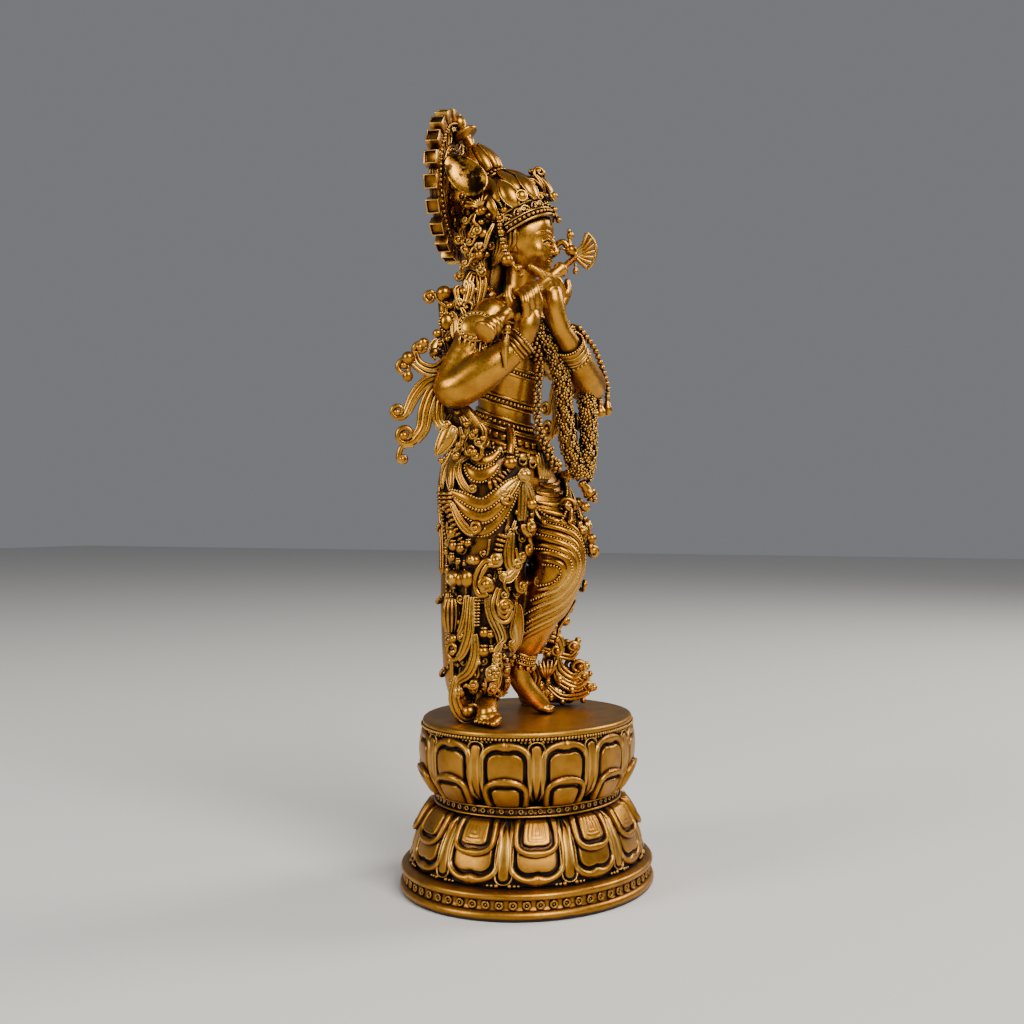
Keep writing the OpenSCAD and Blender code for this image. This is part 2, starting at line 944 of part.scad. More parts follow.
module collar() {
    color(dark_gold)
        on_figure()
            difference() {
                hull() {
                    ball([-3, -1.6, 99.5], 5.8, 16);
                    ball([-10, 1.5, 97], 4.2, 12);
                    ball([6, 0.5, 97.5], 4.2, 12);
                    ball([-2.6, -1.8, 90], 4.6, 12);
                }
                torso_form();
                head_form();
                flute_form(0.1);
                ball(right_shoulder, 4.4, 18);
                ball(left_shoulder, 4.4, 18);
                translate([-3, -5, 107])
                    cube([30, 30, 6], center = true);
                chain([
                    [left_wrist.x, left_wrist.y, left_wrist.z, 3.9], [left_wrist.x - 3.4, left_wrist.y + 1.6, 104, 3.4]
                ], 10);
                chain([[-3, 12, 110, 7], [-3, 13, 96, 6.6]], 10);
            }
}

module garland() {
    color(dark_gold)
        on_figure()
            difference() {
                union() {
                    chain([
                        [-7.5, -4.6, 88, garland_r], [-5.6, -7.8, 80, garland_r], [-4.4, -10.2, 70, garland_r],
                        [-1.4, -12, 62.5, garland_r * 1.05], [3.2, -12.8, 60.6, garland_r * 1.1],
                        [7.4, -12.6, 64.5, garland_r * 1.05], [8.6, -12.2, 71, garland_r]
                    ], 12);
                    chain([
                        [11, -7.6, 95.6, garland_r], [11.6, -4.6, 99.6, garland_r], [9.8, 0.4, 101.6, garland_r]
                    ], 12);
                }
                torso_form();
                left_arm_form();
                right_arm_form();
                chain([
                    [left_wrist.x, left_wrist.y, left_wrist.z, 3.9], [8, -11, 86, 4.2], [14, -10.4, 82, 4.2]
                ], 10);
            }
}

module garland_pendant() {
    color(dark_gold)
        on_figure()
            translate([3.2, -12.8, 60.6 - garland_r * 1.1 - 6])
                rotate_extrude($fn = 40)
                    polygon([[0, 0], [0.9, 0.4], [1.5, 2], [1.2, 3.6], [1.8, 4.6], [1.1, 5.7], [0, 5.95]]);
}

module right_shawl() {
    color(gold)
        on_figure()
            difference() {
                union() {
                    chain([
                        [-12, 12.5, 101, 2], [-17, 14.6, 94, 1.8], [-23, 16, 86, 1.7], [-25, 16.4, 77, 1.7],
                        [-24.4, 17.6, 70, 1.5]
                    ], 10);
                    chain([[-25, 16, 84, 1.4], [-22, 12, 74, 1.5], [-22, 11, 69, 1.7]], 10);
                    curl([-13, 15.4, 103.4], 2.3, 3.2, 10);
                    curl([-19.5, 16.4, 94.4], 1.8, 2.6, 10);
                    curl([-22.6, 18.8, 86.4], 2, 2.6, 10);
                    curl([-24.2, 19.4, 78], 2, 2.6, 10);
                    curl([-22.6, 20.6, 69.4], 2.1, 2.6, 10);
                    ball([-22, 10.6, 67.4], 2, 14);
                }
                right_arm_form();
                torso_form();
                on_halo()
                    translate([0, 0, -0.1])
                        cylinder(h = 6, r = halo_r + 0.1, $fn = 48);
            }
}

module left_shawl() {
    color(gold)
        on_figure()
            difference() {
                union() {
                    chain([
                        [9.5, 6.5, 102, 2], [16.6, 3.6, 101, 2], [19.4, -4, 98, 1.9], [19.8, -9.4, 91, 1.8],
                        [19.6, -11.4, 83, 1.6], [17.4, -13.4, 76, 1.4]
                    ], 10);
                    chain([[17, 6, 98, 1.6], [20.6, 7, 88, 1.6], [21.6, 9, 78, 1.6], [20.4, 11, 70, 1.5]], 10);
                    curl([22, 11, 79.4], 2, 2.6, -10);
                    curl([21, 13.4, 70], 2.1, 2.6, -10);
                    curl([19.4, -7.4, 103.4], 2, 2.6, -30);
                    ball([17, -14.4, 78.8], 1.5, 14);
                }
                left_arm_form();
                torso_form();
            }
}

// ---- dress ----

module skirt_form() {
    hull() {
        ball([-4.8, 7.6, 63], 8.3, 16);
        ball([4.6, 7.2, 63], 8.3, 16);
        ball([-9, 8.4, 52], 8.6, 16);
        ball([8.4, 8, 52], 8.6, 16);
    }
    hull() {
        ball([-9, 8.4, 52], 8.6, 16);
        ball([8.4, 8, 52], 8.6, 16);
        ball([-9.6, 3, 38], 8.2, 16);
        ball([5.4, 5, 38], 8, 16);
    }
    chain([[3, 1, 50, 7.6], [left_knee.x, left_knee.y + 0.4, left_knee.z, 6.1]], 16);
}

module legs_and_hips() {
    torso_form();
    right_leg_form();
    left_leg_form();
}

module skirt() {
    color(gold)
        on_figure()
            difference() {
                skirt_form();
                legs_and_hips();
            }
}

module waist_belt() {
    color(dark_gold)
        on_figure()
            difference() {
                hull() {
                    ball([-1.2, 5.4, 73.4], 7.5, 20);
                    ball([-3.4, 6.4, 68.4], 8.4, 20);
                    ball([1.8, 6.2, 68.4], 8.4, 20);
                }
                torso_form();
                skirt_form();
                translate([0, 0, 87.4])
                    rotate([-12, 8, 0])
                        cube([50, 50, 20], center = true);
                right_arm_form();
            }
}

module hip_sash() {
    color(gold)
        on_figure()
            difference() {
                union() {
                    for (drop = [0 : 3])
                        chain([
                            [-8, 18, 62 - drop * 3, 1.9], [-16.4, 11, 55 - drop * 4.4, 2.1],
                            [-17.2, 3, 50.4 - drop * 3.4, 2.1], [-11, -2.6, 53.4 - drop, 1.9]
                        ], 9);
                    ball([-11.4, -1.6, 57.4], 2.8, 16);
                }
                skirt_form();
                legs_and_hips();
                right_arm_form();
            }
}

module front_panel() {
    color(gold)
        on_figure()
            difference() {
                union() {
                    hull() {
                        ball([-9.4, -1.4, 60], 2, 12);
                        ball([-3.4, -3.4, 60], 2, 12);
                        ball([-12.4, -4.8, 40], 2, 12);
                        ball([-7, -9, 42], 2, 12);
                    }
                    hull() {
                        ball([-12.4, -4.8, 40], 2, 12);
                        ball([-9.2, -8.4, 40], 2, 12);
                        ball([-13.6, -4.2, 27], 1.8, 12);
                        ball([-10, -7, 27], 1.8, 12);
                    }
                    curl([-12, -6.6, 25.4], 2.6, 4, 30);
                }
                skirt_form();
                legs_and_hips();
            }
}

module knee_ornament() {
    color(dark_gold)
        on_figure()
            difference() {
                union() {
                    chain([[1, -11.4, 42, 2], [3.6, -13, 48, 1.8], [4, -14.4, 50.4, 2]], 10);
                    curl([4.2, -14.6, 50.4], 2.5, 3, 20);
                    curl([6.4, -14.2, 43.6], 2.3, 3, 20);
                    ball([6.6, -13.6, 47.2], 2, 14);
                }
                skirt_form();
                legs_and_hips();
            }
}

module right_ribbons() {
    color(gold)
        on_figure()
            difference() {
                union() {
                    hull() {
                        ball([-16.6, 15, 52], 2, 12);
                        ball([-19, 6, 50], 2, 12);
                        ball([-19.6, 13.6, 34], 2.2, 12);
                        ball([-20.4, 1.6, 34], 2.2, 12);
                    }
                    hull() {
                        ball([-19.6, 13.6, 34], 2.2, 12);
                        ball([-20.4, 1.6, 34], 2.2, 12);
                        ball([-20, 13, 15], 2.2, 12);
                        ball([-20.6, 3.6, 15], 2.2, 12);
                    }
                    hull() {
                        ball([-20, 13, 15], 2.2, 12);
                        ball([-20.4, 7.6, 15], 2.2, 12);
                        ball([-22, 9.4, 3], 2.2, 12);
                        ball([-23.4, 6, 2.8], 2.2, 12);
                    }
                    curl([-21.6, 3, 34.6], 3.2, 4, -14);
                    curl([-22, 6.4, 17.6], 2.6, 4, -14);
                    curl([-23.6, 5.4, 3.2], 2.8, 3.4, -20);
                    chain([[-17, 16, 30, 2], [-17, 16, 20, 2]], 12);
                }
                skirt_form();
                legs_and_hips();
                below_plate();
            }
}

module left_ribbons() {
    color(gold)
        on_figure()
            difference() {
                union() {
                    hull() {
                        ball([16.4, 14, 54], 2, 12);
                        ball([17, 3, 52], 2, 12);
                        ball([18.4, 12, 34], 2.2, 12);
                        ball([16.4, -1, 34], 2.2, 12);
                    }
                    hull() {
                        ball([18.4, 12, 34], 2.2, 12);
                        ball([16.4, -1, 34], 2.2, 12);
                        ball([19.4, 10, 14], 2.2, 12);
                        ball([17, -1, 16], 2.2, 12);
                    }
                    curl([18.4, 1, 34.6], 3, 4, 14);
                    curl([20, 6, 17.6], 2.6, 4, 14);
                    ball([9.6, -6, 26], 2, 12);
                    chain([[14, -1.6, 34, 1.8], [9.8, -5, 27, 1.8], [11, -5.4, 19, 1.7]], 10);
                }
                skirt_form();
                legs_and_hips();
            }
}

module back_drape() {
    color(gold)
        on_figure()
            difference() {
                union() {
                    hull() {
                        ball([-7, 17.6, 60], 2.6, 12);
                        ball([6, 17.2, 60], 2.6, 12);
                        ball([-10, 16.6, 36], 2.4, 12);
                        ball([9, 16, 36], 2.4, 12);
                    }
                    hull() {
                        ball([-10, 16.6, 36], 2.4, 12);
                        ball([9, 16, 36], 2.4, 12);
                        ball([-9, 14, 10], 2.2, 12);
                        ball([7, 13.6, 10], 2.2, 12);
                    }
                    hull() {
                        ball([-9, 14, 10], 2.2, 12);
                        ball([7, 13.6, 10], 2.2, 12);
                        ball([-8, 12.6, 2.1], 2, 12);
                        ball([6, 12.2, 2.1], 2, 12);
                    }
                }
                skirt_form();
                legs_and_hips();
                below_plate();
            }
}

module floor_scrolls() {
    color(gold)
        on_figure()
            difference() {
                union() {
                    chain([[13, -4, 2, 2], [15.4, -5, 12, 2.2], [17, -5.4, 20, 2]], 10);
                    chain([[18, -6, 2.2, 2.2], [20.6, -7.4, 9, 2.2], [20.4, -6.6, 16, 1.8]], 10);
                    chain([[22.6, -8.2, 2.4, 2.2], [18, -6, 5, 2.4], [13, -4, 6, 2.2]], 10);
                    curl([23.6, -8.8, 6.4], 2.3, 3, 20);
                    curl([21.8, -8, 12.6], 2.3, 3, 20);
                    curl([19, -6.6, 19.6], 2.2, 3, 20);
                    ball([9.6, -3.4, 3.4], 2, 12);
                }
                left_leg_form();
                below_plate();
            }
}

plinth_ring();
plinth_beads();
bottom_cover();
tie_rod();
tie_nut();
lower_lotus();
waist_band();
waist_beads();
upper_lotus();
top_plate();
plate_pearls();
torso();
right_leg();
left_leg();
right_arm();
left_arm();
right_hand();
left_hand();
head();
hair();
crown_band();
crown_cap();
crown_bulb();
crown_finial();
crown_crest();
crown_side_discs();
ear_pendants();
halo_plate();
halo_tiles();
halo_beads();
halo_stem();
flute();
flute_bird();
flute_tassel();
collar();
right_armlet();
left_armlet();
right_bracelet();
left_bracelet();
garland();
garland_pendant();
right_shawl();
left_shawl();
waist_belt();
skirt();
hip_sash();
front_panel();
knee_ornament();
right_ribbons();
left_ribbons();
back_drape();
right_anklet();
left_anklet();
floor_scrolls();
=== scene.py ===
"""Antique brass statuette of a standing flute player on an oval double-lotus pedestal.

Every piece is modelled in millimetres and brought to metres when it is finished. Pedestal pieces
use the object's own frame; figure pieces use the same axes with z counted from the top plate.
"""

import logging
import random
from dataclasses import dataclass, field
from enum import Enum
from functools import partial
from math import copysign, cos, degrees, exp, hypot, pi, radians, sin, tau
from typing import Callable, Sequence

import bmesh
import bpy
from mathutils import Matrix, Vector
from mathutils.bvhtree import BVHTree


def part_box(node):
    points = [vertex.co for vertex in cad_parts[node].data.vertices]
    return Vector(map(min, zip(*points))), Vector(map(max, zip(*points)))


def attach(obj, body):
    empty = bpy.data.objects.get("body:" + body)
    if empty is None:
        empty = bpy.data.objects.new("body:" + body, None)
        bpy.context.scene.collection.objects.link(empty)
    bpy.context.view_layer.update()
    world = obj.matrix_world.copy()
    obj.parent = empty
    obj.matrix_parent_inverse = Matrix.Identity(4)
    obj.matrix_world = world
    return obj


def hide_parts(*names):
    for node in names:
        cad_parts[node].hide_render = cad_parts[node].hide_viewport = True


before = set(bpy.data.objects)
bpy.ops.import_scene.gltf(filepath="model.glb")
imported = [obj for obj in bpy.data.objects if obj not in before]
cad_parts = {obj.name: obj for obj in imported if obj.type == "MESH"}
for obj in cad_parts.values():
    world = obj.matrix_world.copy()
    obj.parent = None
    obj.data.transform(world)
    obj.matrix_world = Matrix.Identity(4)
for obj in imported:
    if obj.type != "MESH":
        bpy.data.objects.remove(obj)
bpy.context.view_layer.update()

MM = 0.001
RING_STEPS = 120
STEEL_NODES = ("tie_rod", "tie_nut")
Point = tuple[float, float, float]
Trail = Sequence[tuple[Vector, Vector]]
Colour = str | bpy.types.NodeSocket

logging.basicConfig(level=logging.INFO, format="%(message)s")
log = logging.getLogger("statuette")


# Frame.


def box_mm(node: str) -> tuple[Vector, Vector]:
    """Gives a CAD node's lowest and highest corners."""
    low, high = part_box(node)
    return Vector(low) / MM, Vector(high) / MM


PLATE_Z = box_mm("top_plate")[1].z
DESIGN_H = 150.6
FIGURE_SCALE = (box_mm("halo_tiles")[1].z - PLATE_Z) / DESIGN_H
ON_PLATE = Matrix.Translation((0, 0, PLATE_Z * MM)) @ Matrix.Scale(FIGURE_SCALE * MM, 4)
ON_HEAD = Matrix.Translation((-3, -0.5, 116)) @ Matrix.Rotation(radians(11), 4, "Z")
ON_CROWN = ON_HEAD @ Matrix.Translation((0, 1, 3)) @ Matrix.Rotation(radians(-30), 4, "X")
ON_HALO = ON_HEAD @ Matrix.Translation((0, 18.6, 15)) @ Matrix.Rotation(radians(-90), 4, "X")


class Place(Enum):
    """The frames that pieces are modelled in."""

    PEDESTAL = Matrix.Scale(MM, 4)
    FIGURE = ON_PLATE
    HEAD = ON_PLATE @ ON_HEAD
    CROWN = ON_PLATE @ ON_CROWN
    HALO = ON_PLATE @ ON_HALO


# Finishes.


def linear(hex_colour: str) -> tuple[float, float, float, float]:
    """Turns an sRGB hex colour into a linear one.

    Args:
        hex_colour: six hex digits.

    Returns:
        Linear red, green, blue and an alpha of one.
    """
    parts = [int(hex_colour[i : i + 2], 16) / 255 for i in (0, 2, 4)]
    r, g, b = (c / 12.92 if c <= 0.04045 else ((c + 0.055) / 1.055) ** 2.4 for c in parts)
    return (r, g, b, 1.0)


def add_node(
    tree: bpy.types.NodeTree, kind: str, settings: dict | None = None, links: dict | None = None
) -> bpy.types.Node:
    """Adds a shader node with its settings and links.

    Args:
        tree: the node tree.
        kind: the node's type name without the ShaderNode prefix.
        settings: attributes to set; a name or number in a tuple key is an input's value.
        links: input name or number to the output socket that feeds it.

    Returns:
        The new node.
    """
    node = tree.nodes.new("ShaderNode" + kind)
    for name, value in (settings or {}).items():
        if isinstance(name, tuple):
            node.inputs[name[0]].default_value = value
        else:
            setattr(node, name, value)
    for name, socket in (links or {}).items():
        tree.links.new(socket, node.inputs[name])
    return node


def empty_material(name: str) -> tuple[bpy.types.Material, bpy.types.NodeTree]:
    """Starts a node material that holds nothing yet."""
    mat = bpy.data.materials.new(name)
    mat.use_nodes = True
    mat.node_tree.nodes.clear()
    return mat, mat.node_tree


def noise(tree: bpy.types.NodeTree, size_mm: float, detail: float, roughness: float = 0.5) -> bpy.types.NodeSocket:
    """Adds noise on the object's own coordinates.

    Args:
        tree: the node tree.
        size_mm: the noise's size.
        detail: its detail.
        roughness: how strong the detail is.

    Returns:
        Its value.
    """
    where = add_node(tree, "TexCoord").outputs["Object"]
    settings = {("Scale",): 1 / (size_mm * MM), ("Detail",): detail, ("Roughness",): roughness}
    return add_node(tree, "TexNoise", settings, {"Vector": where}).outputs["Fac"]


def ramp(
    tree: bpy.types.NodeTree, value: bpy.types.NodeSocket, low: float, high: float,
    to_low: float = 0.0, to_high: float = 1.0, soft: bool = True,
) -> bpy.types.NodeSocket:
    """Maps a value from one range to another and holds it at the ends.

    Args:
        tree: the node tree.
        value: the value.
        low: where the first range starts.
        high: where it ends.
        to_low: the result at its start.
        to_high: the result at its end.
        soft: whether the ramp eases in and out.

    Returns:
        The mapped value.
    """
    settings = {
        "interpolation_type": "SMOOTHSTEP" if soft else "LINEAR",
        ("From Min",): low, ("From Max",): high, ("To Min",): to_low, ("To Max",): to_high,
    }
    return add_node(tree, "MapRange", settings, {"Value": value}).outputs["Result"]


def blend(
    tree: bpy.types.NodeTree, share: bpy.types.NodeSocket, first: Colour, second: Colour
) -> bpy.types.NodeSocket:
    """Mixes two colours.

    Args:
        tree: the node tree.
        share: the second colour's share.
        first: a hex colour or a socket.
        second: a hex colour or a socket.

    Returns:
        The mixed colour.
    """
    settings, links = {"data_type": "RGBA"}, {0: share}
    for slot, colour in ((6, first), (7, second)):
        if isinstance(colour, str):
            settings[(slot,)] = linear(colour)
        else:
            links[slot] = colour
    return add_node(tree, "Mix", settings, links).outputs[2]


def surface(tree: bpy.types.NodeTree, settings: dict, links: dict | None = None) -> None:
    """Ends a material with its shader and output."""
    shader = add_node(tree, "BsdfPrincipled", settings, links)
    add_node(tree, "OutputMaterial", {}, {"Surface": shader.outputs[0]})


@dataclass(frozen=True)
class AntiqueBrass:
    """Cast brass, toned dark with liver of sulphur and rubbed back by hand, with painted shade and a painted highlight.

    The low places are painted brown-black, partly the patina that the real casting keeps there and partly painted
    shade, darker the more ambient occlusion closes them in; the broad faces are a warm satin gold; the highest,
    thinnest edges are painted a paler gold, partly where cloth and hands have polished them and partly a painted
    highlight.
    """

    name: str
    gold: str = "C58A2E"
    # The next colour is the paler gold of thin edges, partly polish wear and partly painted highlight.
    highlight_wear_gold: str = "EDBE62"
    brown: str = "6E3F14"
    # The next two colours are painted into the hollows: a brown for shallow ones and a near-black for the deepest, each
    # partly patina and partly painted shade.
    copper_and_half_shade: str = "4A2410"
    patina_and_shade: str = "080504"
    # How far the painted shade's ambient occlusion reaches, and where the painted shade fades into gold.
    patina_shade_reach_mm: float = 4.0
    patina_shade_low: float = 0.26
    patina_shade_high: float = 0.74
    edge_mm: float = 0.45
    # How strong the paler gold of polish wear and painted highlight is on the thin edges.
    wear_and_highlight: float = 0.5
    roughness: float = 0.27
    patina_roughness: float = 0.62
    mottle_mm: float = 5.0
    stain: str = "4A2410"
    patches: float = 0.0
    grain_mm: float = 0.45
    grain: float = 0.05

    def make(self) -> bpy.types.Material:
        """Builds the node material.

        Returns:
            The material.
        """
        mat, tree = empty_material(self.name)
        mottle = noise(tree, self.mottle_mm, 4.0, 0.6)
        grain = noise(tree, self.grain_mm, 3.0, 0.65)
        blotch = noise(tree, self.mottle_mm * 0.55, 5.0, 0.7)
        # Ambient occlusion darkens the hollows: painted shade, laid over the real patina colour.
        reach = {"samples": 8, ("Distance",): self.patina_shade_reach_mm * MM}
        shade_occlusion = add_node(tree, "AmbientOcclusion", reach).outputs["AO"]
        # Inside ambient occlusion finds thin edges, which get the paler gold: partly polish wear, partly painted
        # highlight.
        reach = {"samples": 6, "inside": True, "only_local": True, ("Distance",): self.edge_mm * MM}
        edge = add_node(tree, "AmbientOcclusion", reach).outputs["AO"]
        # The edge of the patina and painted shade wanders with the mottling, as hand rubbing leaves a patina's edge.
        wander = ramp(tree, mottle, 0.35, 0.65, -0.09, 0.09, soft=False)
        # The next lines measure how open a point lies; the less open, the more patina and painted shade it takes.
        bare = add_node(tree, "Math", {"operation": "ADD"}, {0: shade_occlusion, 1: wander}).outputs[0]
        out_of_patina_and_shade = ramp(tree, bare, self.patina_shade_low, self.patina_shade_low + 0.2)
        out_of_half_shade = ramp(tree, bare, self.patina_shade_low + 0.12, self.patina_shade_high)
        highlight_wear_share = ramp(tree, edge, 0.85, 0.4, to_high=self.wear_and_highlight)
        warm = ramp(tree, mottle, 0.34, 0.68, to_high=0.55, soft=False)
        patch = ramp(tree, blotch, 0.48, 0.57, to_high=self.patches)
        face = blend(tree, warm, self.gold, self.brown)
        stained = blend(tree, patch, blend(tree, highlight_wear_share, face, self.highlight_wear_gold), self.stain)
        # Deep hollows get the near-black patina and painted shade, shallow ones the brown half shade, open faces the
        # gold.
        colour = blend(tree, out_of_patina_and_shade, self.patina_and_shade, blend(tree, out_of_half_shade, self.copper_and_half_shade, stained))
        metal_rough = ramp(tree, grain, 0.3, 0.7, self.roughness - 0.05, self.roughness + 0.12, soft=False)
        settings = {"data_type": "FLOAT", (2,): self.patina_roughness}
        rough = add_node(tree, "Mix", settings, {0: out_of_patina_and_shade, 3: metal_rough}).outputs[0]
        metal = ramp(tree, out_of_patina_and_shade, 0.0, 1.0, to_low=0.35, soft=False)
        settings = {("Strength",): self.grain * 4, ("Distance",): 0.06 * MM}
        bump = add_node(tree, "Bump", settings, {"Height": grain}).outputs["Normal"]
        surface(tree, {}, {"Base Color": colour, "Roughness": rough, "Metallic": metal, "Normal": bump})
        return mat


@dataclass(frozen=True)
class ZincSteel:
    """Turned steel with a thin zinc plating, as on a plain tie rod."""

    name: str = "zinc_plated_steel"
    steel: str = "B9B9B2"

    def make(self) -> bpy.types.Material:
        """Builds the node material.

        Returns:
            The material.
        """
        mat, tree = empty_material(self.name)
        rough = ramp(tree, noise(tree, 0.4, 2.0), 0.0, 1.0, 0.28, 0.48, soft=False)
        surface(tree, {("Base Color",): linear(self.steel), ("Metallic",): 1.0}, {"Roughness": rough})
        return mat


@dataclass(frozen=True)
class StudioPaper:
    """Plain pale matt paper that the object stands on."""

    name: str = "studio_paper"
    tone: str = "D9D7D2"

    def make(self) -> bpy.types.Material:
        """Builds the node material.

        Returns:
            The material.
        """
        mat, tree = empty_material(self.name)
        surface(tree, {("Base Color",): linear(self.tone), ("Roughness",): 0.9})
        return mat


class Finish(Enum):
    """The finishes that pieces are given, each with the record's slot that it stands for."""

    # Every brass finish paints shade into its hollows and a highlight on its thin edges, as well as its patina and
    # wear.
    SKIN = ("antique_brass", AntiqueBrass("polished_skin_brass", patina_shade_reach_mm=2.6, wear_and_highlight=0.3, roughness=0.29))
    ORNAMENT = (
        "patinated_brass",
        AntiqueBrass("rubbed_ornament_brass_painted_shade", patina_shade_reach_mm=3.6, patina_shade_low=0.34, patina_shade_high=0.82),
    )
    CLOTH = (
        "antique_brass",
        AntiqueBrass("rubbed_drapery_brass_painted_shade", gold="BC8029", patina_shade_low=0.31, patina_shade_high=0.78),
    )
    PEDESTAL = (
        "antique_brass",
        AntiqueBrass(
            "rubbed_pedestal_brass_painted_shade", gold="B9822E", patina_shade_reach_mm=2.4, patina_shade_low=0.42, patina_shade_high=0.84, roughness=0.36
        ),
    )
    PLATE = (
        "antique_brass",
        AntiqueBrass("worn_plate_brass_painted_shade", gold="B88430", brown="7C5220", highlight_wear_gold="CB9844", patina_shade_reach_mm=3.5, roughness=0.36),
    )
    PATCHED = ("antique_brass", AntiqueBrass("stained_disc_brass", stain="0C0708", patches=0.95, mottle_mm=9.0))
    STEEL = ("zinc_plated_steel", ZincSteel())
    PAPER = ("", StudioPaper())

    @property
    def slot(self) -> str:
        """Gives the record's slot."""
        return self.value[0]

    def material(self) -> bpy.types.Material:
        """Gives the finish's material, made on first use."""
        made = bpy.data.materials.get(self.value[1].name)
        return made or self.value[1].make()


# Modelling helpers.


def lerp(a: float, b: float, t: float) -> float:
    """Mixes two numbers."""
    return a + (b - a) * t


def smooth_path(points: Sequence[Sequence[float]], steps: int = 8, closed: bool = False) -> list[Vector]:
    """Runs a smooth curve through points.

    Args:
        points: three or four numbers each; a fourth is carried along as a radius.
        steps: samples between neighbouring points.
        closed: whether the curve returns to its start.

    Returns:
        The samples, with as many numbers as the points.
    """
    pts = [Vector(p) for p in points]
    count = len(pts)

    def at(i: int) -> Vector:
        """Gives a control point, repeated past an open end."""
        return pts[i % count] if closed else pts[max(0, min(count - 1, i))]

    out: list[Vector] = []
    for i in range(count if closed else count - 1):
        a, b, c, d = at(i - 1), at(i), at(i + 1), at(i + 2)
        for k in range(steps):
            t = k / steps
            out.append(
                0.5 * (2 * b + (c - a) * t + (2 * a - 5 * b + 4 * c - d) * t * t + (3 * b - a - 3 * c + d) * t**3)
            )
    if not closed:
        out.append(pts[-1].copy())
    return out


def walk(path: Sequence[Vector], gap: float, closed: bool = False) -> Trail:
    """Steps along a path at an even gap.

    Args:
        path: the path's points.
        gap: distance wanted between steps.
        closed: whether the path returns to its start.

    Returns:
        Each step's place and the path's direction there.
    """
    pts = [Vector(p[:3]) for p in path]
    if closed:
        pts.append(pts[0])
    lengths = [0.0]
    for a, b in zip(pts, pts[1:]):
        lengths.append(lengths[-1] + (b - a).length)
    total = lengths[-1]
    count = max(1, round(total / gap))
    out, i = [], 0
    for k in range(count if closed else count + 1):
        want = total * k / count
        while i < len(pts) - 2 and lengths[i + 1] < want:
            i += 1
        span = max(lengths[i + 1] - lengths[i], 1e-9)
        t = min(1.0, (want - lengths[i]) / span)
        out.append((pts[i].lerp(pts[i + 1], t), (pts[i + 1] - pts[i]).normalized()))
    return out


def facing(at: Sequence[float], forward: Sequence[float], up: Sequence[float] = (0, 0, 1)) -> Matrix:
    """Makes a placing whose +Z looks along a direction.

    Args:
        at: the origin.
        forward: where +Z goes.
        up: roughly where +Y goes.

    Returns:
        The 4 by 4 matrix.
    """
    z = Vector(forward).normalized()
    x = Vector(up).cross(z)
    if x.length < 1e-5:
        x = Vector((1, 0, 0)).cross(z)
        if x.length < 1e-5:
            x = Vector((0, 1, 0)).cross(z)
    x.normalize()
    y = z.cross(x)
    turn = Matrix((x, y, z)).transposed().to_4x4()
    return Matrix.Translation(Vector(at)) @ turn


def around(count: int, r: float, z: float = 0.0, start: float = 0.0, squash: float = 1.0) -> list[Vector]:
    """Gives even points round a level circle or oval."""
    turns = (radians(start) + tau * k / count for k in range(count))
    return [Vector((r * cos(a), r * squash * sin(a), z)) for a in turns]


def weld(small: bmesh.types.BMesh, gap: float = 1e-4) -> None:
    """Joins points that meet and turns every face outwards."""
    bmesh.ops.remove_doubles(small, verts=small.verts, dist=gap)
    bmesh.ops.recalc_face_normals(small, faces=small.faces)


def lathe(small: bmesh.types.BMesh, geom: list, sides: int) -> None:
    """Turns an outline a full turn about Z.

    Args:
        small: the mesh.
        geom: the outline's points and edges.
        sides: steps round the axis.
    """
    bmesh.ops.spin(
        small, geom=geom, cent=(0, 0, 0), axis=(0, 0, 1), dvec=(0, 0, 0), angle=tau, steps=sides,
        use_merge=True, use_duplicate=False,
    )
    weld(small)


def show(name: str, data: bpy.types.ID) -> bpy.types.Object:
    """Puts a new object with this data in the scene."""
    obj = bpy.data.objects.new(name, data)
    bpy.context.scene.collection.objects.link(obj)
    return obj


def heading(path: Trail, i: int) -> Vector:
    """Gives a path's direction at one of its places."""
    return (path[min(i + 1, len(path) - 1)][0] - path[max(i - 1, 0)][0]).normalized()


def above(z: float) -> Vector:
    """Gives a step straight up."""
    return Vector((0, 0, z))


